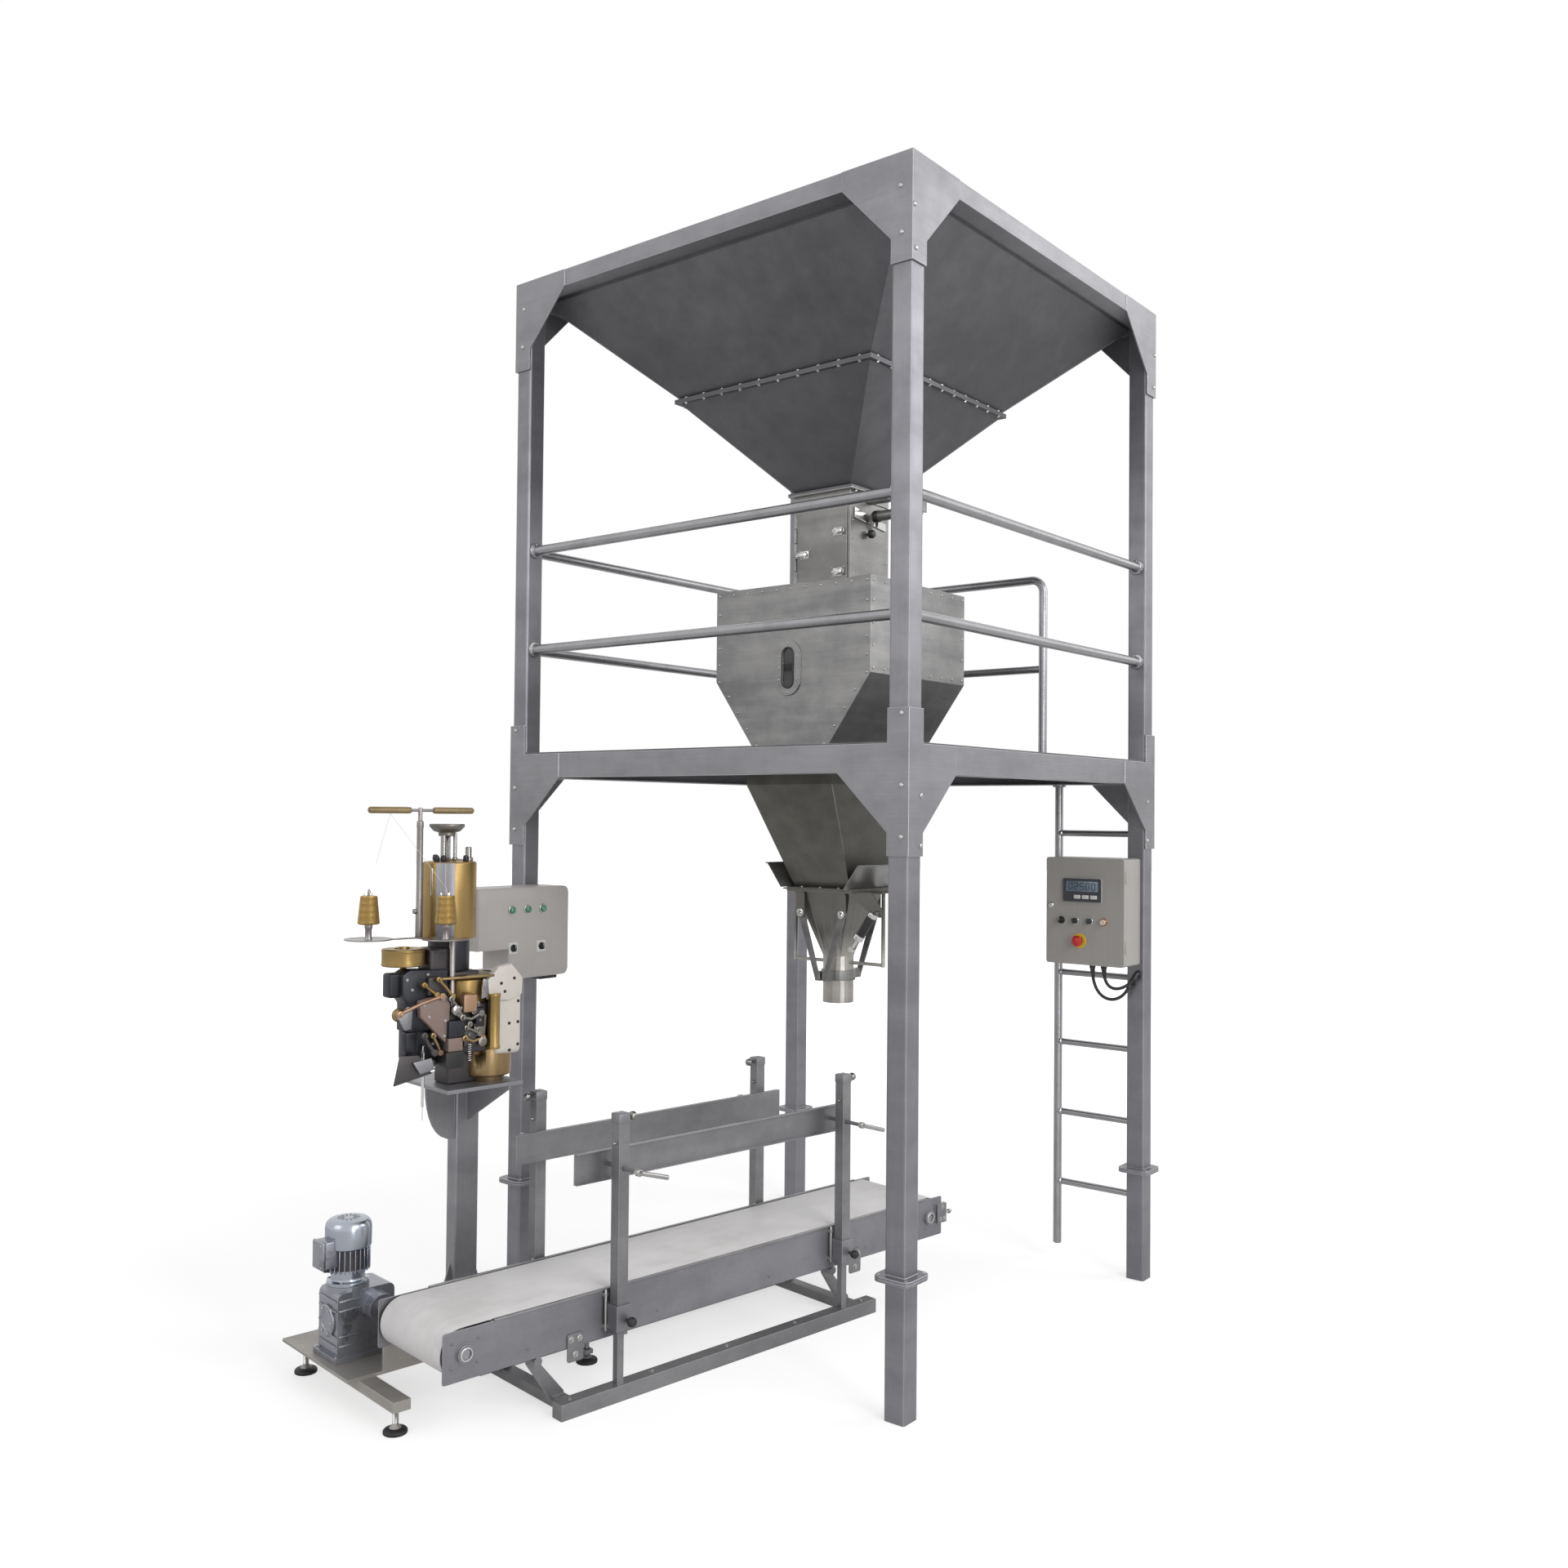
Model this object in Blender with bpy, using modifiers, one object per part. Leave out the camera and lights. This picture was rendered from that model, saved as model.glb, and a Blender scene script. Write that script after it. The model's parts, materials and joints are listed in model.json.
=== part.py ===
"""Bag filling, weighing and sewing station, built as separate named pieces in metres with Z up."""
import math

import bmesh
import bpy
from mathutils import Matrix, Vector

# Fits used wherever two pieces meet
GAP = 0.0003
EMBED = 0.002
TURN_CLEARANCE = 0.0004
SMOOTH_ANGLE = math.radians(50.0)

# Frame of four square posts
FRAME_X = 1.72
FRAME_Y = 1.765
FRAME_HEIGHT = 3.92
POST = 0.075
POST_WALL = 0.005
POST_RADIUS = 0.007
COLLAR_Z = 0.4365
COLLAR_MARGIN = 0.0285
COLLAR_RADIUS = 0.024
COLLAR_PLATE = 0.008
COLLAR_SEAM = 0.0012
DRAIN_RADIUS = 0.008

# Ring beams, corner plates and deck
TOP_BEAM_HEIGHT = 0.062
PLATFORM_SHARE = 0.5306
PLATFORM_TOP = PLATFORM_SHARE * FRAME_HEIGHT
PLATFORM_BEAM_HEIGHT = 0.09
CHANNEL_WALL = 0.005
GUSSET_PLATE = 0.006
GUSSET_WING = 0.275
GUSSET_TAPER = 0.72
TOP_GUSSET_DROP = 0.345
PLATFORM_GUSSET_RISE = 0.11
PLATFORM_GUSSET_DROP = 0.35
BEARER_WIDTH = 0.012
BEARER_HEIGHT = 0.06
DECK_PLATE = 0.005
DECK_NOTCH = 0.003

# Handrails, gate rail and ladder
RAIL_RADIUS = 0.018
RAIL_FLANGE_RADIUS = 0.030
RAIL_FLANGE = 0.006
RAIL_UPPER_Z = PLATFORM_TOP + 0.792
RAIL_LOWER_Z = PLATFORM_TOP + 0.407
GATE_WIDTH = 1.285
GATE_BEND = 0.055
GATE_LOWER_RADIUS = 0.0162
GATE_SHOE_RADIUS = 0.0345
STILE_RADIUS = 0.017
STILE_BOTTOM = 0.07
LADDER_WIDTH = 0.325
RUNG_RADIUS = 0.013
RUNG_COLLAR_RADIUS = 0.022
RUNG_FIRST_Z = 0.33
RUNG_COUNT = 6
RUNG_STEP = (PLATFORM_TOP - RUNG_FIRST_Z) / RUNG_COUNT

# Weigh housing, its bucket and the discharge hopper
SHEET = 0.004
LIP = 0.020
LIP_PLATE = 0.008
HOUSING_X = 0.325
HOUSING_Y = 0.373
HOUSING_TOP = PLATFORM_TOP + 0.655
HOUSING_KNEE_Z = PLATFORM_TOP + 0.298
HOUSING_FOOT_Y = 0.166
HOUSING_FLANGE = 0.036
HOUSING_FLANGE_PLATE = 0.006
SIGHT_Y = 0.007
SIGHT_Z = PLATFORM_TOP + 0.335
SIGHT_WIDTH = 0.115
SIGHT_HEIGHT = 0.212
SIGHT_SLOT_WIDTH = 0.046
SIGHT_SLOT_HEIGHT = 0.146
SIGHT_FRAME_PLATE = 0.006
SIGHT_PANE = 0.006
SIGHT_STEPS = 10
BUCKET_X = HOUSING_X - 0.110
BUCKET_Y = HOUSING_FOOT_Y - 0.016
BUCKET_TOP = PLATFORM_TOP + 0.540
BUCKET_BOTTOM = PLATFORM_TOP + 0.170
BUCKET_ARM_RADIUS = 0.020
BUCKET_ARM_Z = PLATFORM_TOP + 0.440
FLAP_PLATE = 0.004
FLAP_PIN_RADIUS = 0.005
FLAP_BARREL_RADIUS = 0.009
LUG_PLATE = 0.006
LUG_INSET = 0.030
LUG_RISE = 0.040
DECK_HOLE_X = HOUSING_X + 0.002
DECK_HOLE_Y = HOUSING_FOOT_Y + 0.006
DISCHARGE_X = HOUSING_X + 0.005
DISCHARGE_Y = HOUSING_FOOT_Y + 0.041
DISCHARGE_KNEE_Z = PLATFORM_TOP - 0.110
BEARER_X = DISCHARGE_X + 0.100
BEARER_Y = DISCHARGE_Y + 0.093
OUTLET_X = 0.111
OUTLET_Y = 0.134
OUTLET_LIP = 0.024
OUTLET_Z = PLATFORM_TOP - 0.510

# Supply hopper in two bolted halves above the housing
HEADROOM = FRAME_HEIGHT - HOUSING_TOP
CHUTE_SHARE = 0.3275
WAIST_SHARE = 0.6287
HOPPER_RIM_HEIGHT = 0.075
HOPPER_WAIST_X = 0.457
HOPPER_WAIST_Y = 0.453
HOPPER_WAIST_Z = HOUSING_TOP + WAIST_SHARE * HEADROOM
CHUTE_X = 0.130
CHUTE_Y = 0.136
CHUTE_TOP = HOUSING_TOP + CHUTE_SHARE * HEADROOM

# Feed gate and chute door
GATE_Z = CHUTE_TOP - 0.040
GATE_PLATE = 0.004
GATE_TONGUE = 0.040
GATE_TONGUE_PLATE = 0.0032
GATE_TAB = 0.008
GATE_TAB_REACH = 0.020
ACTUATOR_RADIUS = 0.020
ACTUATOR_BORE = 0.007
ACTUATOR_LENGTH = 0.215
ACTUATOR_DROP = 0.055
ACTUATOR_END = 0.010
BRACKET_PLATE = 0.012
BRACKET_DEPTH = 0.070
BRACKET_SHARE = 0.62
ROD_RADIUS = 0.005
ROD_BEARING = 0.030
DOOR_PLATE = 0.004
DOOR_HALF_WIDTH = CHUTE_Y - 0.014
DOOR_BOTTOM = HOUSING_TOP + 0.030
DOOR_TOP = CHUTE_TOP - 0.078
DOOR_LAP = 0.018
DOOR_BARREL_RADIUS = 0.006
DOOR_KNUCKLES = 5

# Bag spout with its two clamp jaws
SPOUT_RADIUS = 0.061
SPOUT_WALL = 0.003
SPOUT_TUBE_TOP = OUTLET_Z - 0.270
SPOUT_BOTTOM = OUTLET_Z - 0.453
SPOUT_SIDES = 24
EAR_Y = OUTLET_Y + 0.111
EAR_HALF_X = 0.050
HANGER_Y = OUTLET_Y + 0.081
HANGER_RADIUS = 0.008
CROSSBAR_RADIUS = 0.0068
CROSSBAR_Z = OUTLET_Z - 0.295
JAW_PIVOT_Y = 0.100
JAW_PIVOT_Z = OUTLET_Z - 0.100
JAW_PLANE_X = OUTLET_X + 0.001
JAW_PLATE = 0.006
JAW_BAR = 0.030
JAW_BOSS_RADIUS = 0.0186
JAW_PIN_RADIUS = 0.008
JAW_LUG_REACH = 0.0192
JAW_LUG_RADIUS = 0.0105
JAW_BAND_TOP = OUTLET_Z - 0.325
JAW_BAND_BOTTOM = OUTLET_Z - 0.365
JAW_BAND_PLATE = 0.006
JAW_BAND_CLEARANCE = 0.0012
JAW_BAND_STEPS = 14
JAW_MEETING_GAP = 0.003
JAW_TOE_RISE = 0.012
CYLINDER_RADIUS = 0.016
CYLINDER_ROD_RADIUS = 0.005
CYLINDER_X = JAW_PLANE_X + 0.034
CYLINDER_TOP_Y = -EAR_Y - 0.027
CYLINDER_TOP_Z = OUTLET_Z - 0.085
CYLINDER_ANGLE = math.radians(36.0)
CYLINDER_LENGTH = 0.125
CYLINDER_HEAD = 0.020
CYLINDER_STROKE = 0.045
CYLINDER_ROD_OUT = 0.050
CYLINDER_EYE_RADIUS = 0.011
CYLINDER_EYE_HALF = 0.008
CYLINDER_PIVOT_RADIUS = 0.010
CYLINDER_EAR = 0.016

# Control enclosure on the front right post
PANEL_WIDTH = 0.340
PANEL_HEIGHT = 0.430
PANEL_DEPTH = 0.135
PANEL_BOTTOM = PLATFORM_TOP - 0.818
PANEL_WALL = 0.003
PANEL_RADIUS = 0.010
PANEL_OVERHANG = 0.020
PANEL_DOOR = 0.016
PANEL_RAIL = 0.030
PANEL_RAIL_INSET = 0.070
DISPLAY_WIDTH = 0.165
DISPLAY_HEIGHT = 0.094
DISPLAY_DEPTH = 0.008
DISPLAY_RADIUS = 0.005
DISPLAY_SCREEN_DEPTH = 0.0015
DISPLAY_RISE = 0.300
DISPLAY_SHIFT = 0.008
BUTTON_RADIUS = 0.0125
BUTTON_LENGTH = 0.012
BUTTON_TRAVEL = 0.005
BUTTON_STEM = 0.006
BUTTON_ROW = 0.176
BUTTON_FIRST = 0.068
BUTTON_STEP = 0.062
GRIP_HEIGHT = 0.012
ESTOP_RADIUS = 0.022
ESTOP_HEIGHT = 0.034
ESTOP_TRAVEL = 0.008
ESTOP_RISE = 0.096
ESTOP_SHIFT = 0.148
GLAND_RADIUS = 0.011
GLAND_LENGTH = 0.020
GLAND_FIRST = 0.165
GLAND_STEP = 0.050
CABLE_RADIUS = 0.0065
CABLE_STEPS = 18
CABLE_LEAD = 0.022
CABLE_DROP = 0.150
CABLE_NEST = 0.035

# Bag conveyor, set askew to the frame
LINE_YAW = math.radians(-8.0)
LINE_Y = -0.0525
LINE_HALF = 0.1975
LINE_LEFT = -1.888
LINE_RIGHT = 0.336
LINE_PANEL = 0.004
LINE_BOTTOM = 0.190
LINE_TOP = 0.339
LINE_CORNER = 0.006
ROLLER_RADIUS = 0.0695
ROLLER_Z = 0.267
ROLLER_MARGIN = 0.004
DRIVE_X = LINE_LEFT + 0.073
TAIL_X = LINE_RIGHT - 0.074
SHAFT_RADIUS = 0.015
SHAFT_END = 0.006
BEARING_RADIUS = 0.0285
BEARING_PLATE = 0.009
TAKE_UP_LEFT = 0.035
TAKE_UP_RIGHT = 0.018
TAKE_UP_PLATE = 0.012
TAKE_UP_LOW = 0.030
TAKE_UP_HIGH = 0.045
BELT = 0.004
BELT_HALF = LINE_HALF - LINE_PANEL - 0.0135
ARC_STEPS = 12
BED_PLATE = 0.003
BED_END = 0.020
MEMBER_COUNT = 4
MEMBER_HALF = 0.020
MEMBER_LOW = 0.030
BASE_LEFT = -1.515
BASE_RIGHT = -0.111
BASE_RAIL = 0.050
BASE_Y = LINE_HALF + 0.0375
CROSS_BAR_HALF = 0.022
CROSS_BAR_SHARE = 0.72
ARM_FOOT_INSET = 0.060
ARM_FOOT_HALF = 0.018
ARM_FOOT_LOW = 0.012
ARM_FOOT_HIGH = 0.045
ARM_HEAD_HALF = 0.012
ARM_RUN = 0.105
ARM_TUBE_RADIUS = 0.0145
ARM_Y = LINE_HALF - 0.0475
ARM_PLATE = 0.012
SLEEVE_WALL = 0.008
SLEEVE_BOTTOM = 0.222
SLEEVE_TOP = 0.300
GUIDE_POST = 0.040
GUIDE_STUB = 0.024
GUIDE_POST_BOTTOM = 0.205
GUIDE_POST_TOP = 0.895
GUIDE_POST_XA = -1.285
GUIDE_POST_XB = -0.270
GUIDE_LEFT = GUIDE_POST_XA - 0.130
GUIDE_RIGHT = GUIDE_POST_XB + 0.055
GUIDE_Y = LINE_HALF - 0.0325
GUIDE_PLATE = 0.004
GUIDE_BOTTOM = 0.680
GUIDE_TOP = 0.778
GUIDE_LIP = 0.012
GUIDE_ROD_RADIUS = 0.007
GUIDE_ROD_Z = 0.730
GUIDE_ROD_END = BASE_Y + 0.105
FOOT_PAD_RADIUS = 0.036
FOOT_PAD = 0.016
FOOT_NECK = 0.012
FOOT_STEM_RADIUS = 0.008
INNER_FOOT_SHIFT = 0.100
INNER_FOOT_Y = 0.075
INNER_FOOT_TOP = 0.085
INNER_FOOT_ARM = 0.015

# Drive unit beside the conveyor
DRIVE_BASE_LEFT = DRIVE_X - 0.170
DRIVE_BASE_RIGHT = DRIVE_X + 0.115
DRIVE_BASE_FAR = LINE_HALF + 0.4675
DRIVE_BASE_TOP = 0.115
DRIVE_BASE_PLATE = 0.010
DRIVE_BAR_LEFT = DRIVE_X - 0.135
DRIVE_BAR_RIGHT = DRIVE_X - 0.078
DRIVE_BAR_HEIGHT = 0.030
DRIVE_BAR_NEAR = -0.025
DRIVE_FOOT_INSET = 0.040
DRIVE_EAR_PLATE = 0.008
GEARBOX_NEAR = LINE_HALF + 0.1475
GEARBOX_FAR = GEARBOX_NEAR + 0.130
GEARBOX_LEFT = DRIVE_X - 0.135
GEARBOX_RIGHT = DRIVE_X + 0.060
GEARBOX_TOP = 0.330
GEARBOX_RADIUS = 0.020
GEARBOX_HUB_RADIUS = 0.046
GEARBOX_HUB = 0.040
GEARBOX_SOLE = 0.018
GEARBOX_SOLE_MARGIN = 0.012
GEARBOX_SEAT = 0.012
SHAFT_DEPTH = 0.050
WORM_RADIUS = 0.045
WORM_Z = 0.200
WORM_REACH = 0.030
MOTOR_X = DRIVE_X - 0.070
MOTOR_Y = (GEARBOX_NEAR + GEARBOX_FAR) / 2
MOTOR_RADIUS = 0.060
MOTOR_TOP = 0.548
TERMINAL_REACH = 0.045
TERMINAL_HALF = 0.035
TERMINAL_RADIUS = 0.006

# Sewing unit behind the conveyor
COLUMN_X = -1.422
COLUMN_Y = LINE_HALF + 0.2985
COLUMN_SIZE_X = 0.090
COLUMN_SIZE_Y = 0.060
COLUMN_RADIUS = 0.005
COLUMN_WALL = 0.004
COLUMN_BASE_X = 0.320
COLUMN_BASE_Y = 0.280
COLUMN_BASE = 0.012
COLUMN_WEB = 0.006
COLUMN_WEB_REACH = 0.085
COLUMN_WEB_FOOT = 0.030
COLUMN_WEB_RISE = 0.300
COLUMN_BRACKET_REACH = 0.115
COLUMN_BRACKET_RIM = 0.030
COLUMN_BRACKET_DROP = 0.190
COLUMN_ARM = 0.008
COLUMN_ARM_DROP = 0.160
HEAD_Y = COLUMN_Y - 0.196
HEAD_TABLE_TOP = 0.955
HEAD_TABLE = 0.012
HEAD_TABLE_LEFT = COLUMN_X - 0.238
HEAD_TABLE_REACH = 0.110
HEAD_BASE_HEIGHT = 0.060
HEAD_BASE_LEFT = COLUMN_X - 0.213
HEAD_BASE_RIGHT = COLUMN_X + 0.087
HEAD_BASE_HALF = 0.100
HEAD_BASE_RADIUS = 0.028
HEAD_BODY_LEFT = COLUMN_X - 0.233
HEAD_BODY_RIGHT = COLUMN_X + 0.007
HEAD_BODY_NEAR = 0.075
HEAD_BODY_FAR = 0.085
HEAD_BODY_TOP = HEAD_TABLE_TOP + 0.260
HEAD_BODY_RADIUS = 0.020
HEAD_COVER_RIGHT = COLUMN_X + 0.092
HEAD_COVER_TOP = HEAD_BODY_TOP + 0.010
HEAD_COVER_HALF = 0.0875
HEAD_COVER_RADIUS = 0.022
HEAD_NOSE_REACH = 0.155
HEAD_NOSE_WIDTH = 0.140
HEAD_NOSE_TOP = HEAD_BODY_TOP + 0.035
HEAD_NOSE_LOW = HEAD_TABLE_TOP - 0.015
HEAD_FACE_PLATE = 0.024
HEAD_FACE_Y = HEAD_Y - 0.085
HEAD_FACE_X = COLUMN_X - 0.138
HEAD_FACE_Z = HEAD_TABLE_TOP + 0.155
HEAD_FACE_WIDTH = 0.200
HEAD_FACE_HEIGHT = 0.180
BELT_GUARD_X = COLUMN_X - 0.123
BELT_GUARD_RADIUS = 0.078
BELT_GUARD_TOP = HEAD_BODY_TOP + 0.050
SADDLE_LEFT = COLUMN_X - 0.248
SADDLE_RIGHT = COLUMN_X - 0.088
SADDLE_NEAR = 0.050
SADDLE_FAR = 0.080
SADDLE_RADIUS = 0.012
SEW_MOTOR_X = COLUMN_X - 0.168
SEW_MOTOR_Y = HEAD_Y + 0.020
SEW_MOTOR_RADIUS = 0.090
SEW_MOTOR_BOTTOM = HEAD_BODY_TOP + 0.115
SEW_MOTOR_TOP = SEW_MOTOR_BOTTOM + 0.360
SEW_MOTOR_NECK = 0.130
SEW_DISH_RADIUS = 0.058
SEW_DISH_RISE = 0.125
SEW_SPINDLE_RADIUS = 0.009
PULLEY_X = COLUMN_X - 0.343
PULLEY_RADIUS = 0.070
PULLEY_GROOVE = 0.010
PULLEY_SHAFT_RADIUS = 0.010
PULLEY_SHAFT_DEPTH = 0.050
PULLEY_BOTTOM = HEAD_NOSE_TOP + 0.106
PULLEY_TOP = PULLEY_BOTTOM + 0.056
NEEDLE_X = COLUMN_X - 0.298
NEEDLE_Y = HEAD_Y - 0.055
NEEDLE_RADIUS = 0.005
NEEDLE_TOP = HEAD_TABLE_TOP + 0.145
NEEDLE_LENGTH = 0.242
NEEDLE_BLADE = 0.047
NEEDLE_STROKE = 0.020
STAND_X = COLUMN_X - 0.290
STAND_TOP = PULLEY_TOP + 0.458
STAND_RADIUS = 0.007
STAND_ARM_RADIUS = 0.005
STAND_BAR_RADIUS = 0.011
STAND_ARM_LEFT = COLUMN_X - 0.473
STAND_ARM_RIGHT = COLUMN_X - 0.093
STAND_BAR = 0.148
STAND_LINK_HALF = 0.012
TRAY_Z = PULLEY_TOP + 0.038
TRAY_RADIUS = 0.076
TRAY_PLATE = 0.005
PROP_X = COLUMN_X - 0.203
PROP_Y = HEAD_Y - 0.064
PROP_RADIUS = 0.010
CONE_A_X = COLUMN_X - 0.466
CONE_B_X = COLUMN_X - 0.268
CONE_B_Y = HEAD_Y - 0.135
CONE_RADIUS = 0.035
CONE_TOP_RADIUS = 0.026
CONE_HEIGHT = 0.092
CONE_EDGE = 0.004
SPINDLE_RADIUS = 0.005
SPINDLE_HEIGHT = 0.160
SPINDLE_SEAT = 0.045
SPINDLE_SEAT_RADIUS = 0.010

# Sewing control box on the rear left post
SEWBOX_WIDTH = 0.437
SEWBOX_HEIGHT = 0.337
SEWBOX_DEPTH = 0.145
SEWBOX_BOTTOM = PLATFORM_TOP - 0.840
SEWBOX_OVERHANG = 0.022
SEWBOX_NOTCH_X = 0.144
SEWBOX_NOTCH_Z = 0.112
SEWBOX_WALL = 0.003
SEWBOX_RADIUS = 0.024
SEWBOX_CORNER_STEPS = 3
SEWBOX_GLAND_RADIUS = 0.012
SEWBOX_GLAND_X = 0.100
SEWBOX_GLAND_Y = 0.050
KNOB_RADIUS = 0.014
KNOB_LENGTH = 0.018
KNOB_DISC = 0.008
KNOB_STEM = 0.012
KNOB_DROP = 0.222
KNOB_FIRST = 0.137
KNOB_STEP = 0.135
LAMP_RADIUS = 0.013
LAMP_LENGTH = 0.010
LAMP_COUNT = 3
LAMP_FIRST = 0.132
LAMP_STEP = 0.0745
LAMP_DROP = 0.082

HALF_X = FRAME_X / 2
HALF_Y = FRAME_Y / 2
INNER_X = HALF_X - POST / 2
INNER_Y = HALF_Y - POST / 2
OUTER_X = HALF_X + POST / 2
OUTER_Y = HALF_Y + POST / 2
DECK_TOP = PLATFORM_TOP + GAP + DECK_PLATE
BELT_INNER = ROLLER_RADIUS / math.cos(math.pi / (2 * ARC_STEPS)) + GAP
BELT_OUTER = BELT_INNER + BELT

STEEL = ((0.46, 0.46, 0.47), 0.42, 1.0)
BRIGHT = ((0.62, 0.61, 0.60), 0.30, 1.0)
DULL = ((0.36, 0.35, 0.33), 0.45, 1.0)
DARK = ((0.05, 0.05, 0.05), 0.5, 0.0)
BEIGE = ((0.62, 0.60, 0.56), 0.45, 0.0)
IVORY = ((0.80, 0.78, 0.72), 0.55, 0.0)
BRASS = ((0.60, 0.45, 0.16), 0.35, 1.0)
RED = ((0.65, 0.04, 0.03), 0.35, 0.0)
GLASS = ((0.05, 0.05, 0.06), 0.1, 0.0)
THREAD = ((0.66, 0.50, 0.18), 0.7, 0.0)


def reset():
    """Remove what the scene starts with and make the two collections."""
    for old in list(bpy.data.objects):
        bpy.data.objects.remove(old, do_unlink=True)
    made = []
    for label in ("bag_filling_station", "cutters"):
        group = bpy.data.collections.new(label)
        bpy.context.scene.collection.children.link(group)
        made.append(group)
    return made


PARTS, CUTTERS = reset()


def empty(name, parent=None, location=(0, 0, 0), yaw=0.0):
    """Add an empty that carries other pieces."""
    obj = bpy.data.objects.new(name, None)
    obj.location = location
    obj.rotation_euler = (0, 0, yaw)
    obj.parent = parent
    PARTS.objects.link(obj)
    return obj


ROOT = empty("station_origin")
LINE = empty("line_origin", ROOT, (0, LINE_Y, 0), LINE_YAW)


def wrap(name, bm, parent):
    """Turn a bmesh into an object among the cutters, where every shape starts."""
    bmesh.ops.recalc_face_normals(bm, faces=bm.faces)
    mesh = bpy.data.meshes.new(name)
    bm.to_mesh(mesh)
    bm.free()
    obj = bpy.data.objects.new(name, mesh)
    obj.parent = parent
    obj.hide_render = True
    obj.display_type = "WIRE"
    CUTTERS.objects.link(obj)
    return obj


def smooth(obj):
    """Shade a round shape smooth and keep its rims sharp."""
    obj.data.shade_smooth()
    obj.data.set_sharp_from_angle(angle=SMOOTH_ANGLE)
    return obj


def finish(obj, look, origin=None):
    """Make a shape a piece of the part, with its own finish and its origin at a joint."""
    CUTTERS.objects.unlink(obj)
    PARTS.objects.link(obj)
    obj.hide_render = False
    obj.display_type = "TEXTURED"
    colour, rough, metal = look
    material = bpy.data.materials.new(obj.name)
    material.use_nodes = True
    shader = material.node_tree.nodes["Principled BSDF"]
    shader.inputs["Base Color"].default_value = (*colour, 1.0)
    shader.inputs["Roughness"].default_value = rough
    shader.inputs["Metallic"].default_value = metal
    obj.data.materials.clear()
    obj.data.materials.append(material)
    if origin is not None:
        shift = Vector(origin) - obj.location
        turn = obj.rotation_euler.to_matrix().inverted()
        obj.data.transform(Matrix.Translation(turn @ -shift))
        obj.location = Vector(origin)
    return obj


def boolean(obj, tool, operation):
    """Add one exact Boolean with a tool that shares the piece's parent."""
    step = obj.modifiers.new(tool.name, "BOOLEAN")
    step.operation = operation
    step.solver = "EXACT"
    step.object = tool
    return obj


def fuse(obj, *tools):
    """Join tools to a piece."""
    for tool in tools:
        boolean(obj, tool, "UNION")
    return obj


def cut(obj, *tools):
    """Cut tools from a piece."""
    for tool in tools:
        boolean(obj, tool, "DIFFERENCE")
    return obj


def box(name, xs, ys, zs, parent=ROOT, radius=0.0, along=2, segments=3):
    """Make a block from its limits, with the edges along one axis rounded if asked."""
    bm = bmesh.new()
    bmesh.ops.create_cube(bm, size=1.0)
    size = Vector((xs[1] - xs[0], ys[1] - ys[0], zs[1] - zs[0]))
    middle = Vector((xs[1] + xs[0], ys[1] + ys[0], zs[1] + zs[0])) / 2
    bmesh.ops.scale(bm, vec=size, verts=bm.verts)
    bmesh.ops.translate(bm, vec=middle, verts=bm.verts)
    if radius > 0:
        edges = []
        for edge in bm.edges:
            run = edge.verts[0].co - edge.verts[1].co
            if abs(run[along]) > run.length * 0.99:
                edges.append(edge)
        bmesh.ops.bevel(bm, geom=edges, offset=radius, segments=segments, profile=0.5, affect="EDGES")
    return wrap(name, bm, parent)


def rod(name, start, end, radius, parent=ROOT, segments=12, end_radius=None):
    """Make a round bar or a cone frustum between two points."""
    start = Vector(start)
    end = Vector(end)
    run = end - start
    bm = bmesh.new()
    tip = radius if end_radius is None else end_radius
    turn = run.to_track_quat("Z", "Y").to_matrix().to_4x4()
    place = Matrix.Translation((start + end) / 2) @ turn
    bmesh.ops.create_cone(
        bm, cap_ends=True, segments=segments, radius1=radius, radius2=tip, depth=run.length, matrix=place
    )
    return smooth(wrap(name, bm, parent))


def bore_tool(name, start, end, radius, parent=ROOT, segments=12):
    """Make a cutter for a round hole whose flats, not its corners, have the radius asked for."""
    return rod(name, start, end, radius / math.cos(math.pi / segments), parent, segments)


def lathe(name, profile, start, direction, parent=ROOT, steps=16, closed=False):
    """Turn a profile of radius and height, listed from the top down, about an axis."""
    bm = bmesh.new()
    points = [bm.verts.new((radius, 0, height)) for radius, height in profile]
    for first, second in zip(points, points[1:]):
        bm.edges.new((first, second))
    if closed:
        bm.edges.new((points[-1], points[0]))
    mesh = bpy.data.meshes.new(name)
    bm.to_mesh(mesh)
    bm.free()
    obj = bpy.data.objects.new(name, mesh)
    obj.parent = parent
    obj.location = start
    obj.rotation_euler = Vector(direction).to_track_quat("Z", "Y").to_euler()
    obj.hide_render = True
    obj.display_type = "WIRE"
    CUTTERS.objects.link(obj)
    screw = obj.modifiers.new("turning", "SCREW")
    screw.angle = math.tau
    screw.steps = steps
    screw.render_steps = steps
    screw.use_merge_vertices = True
    screw.merge_threshold = 0.00005
    return obj


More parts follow.
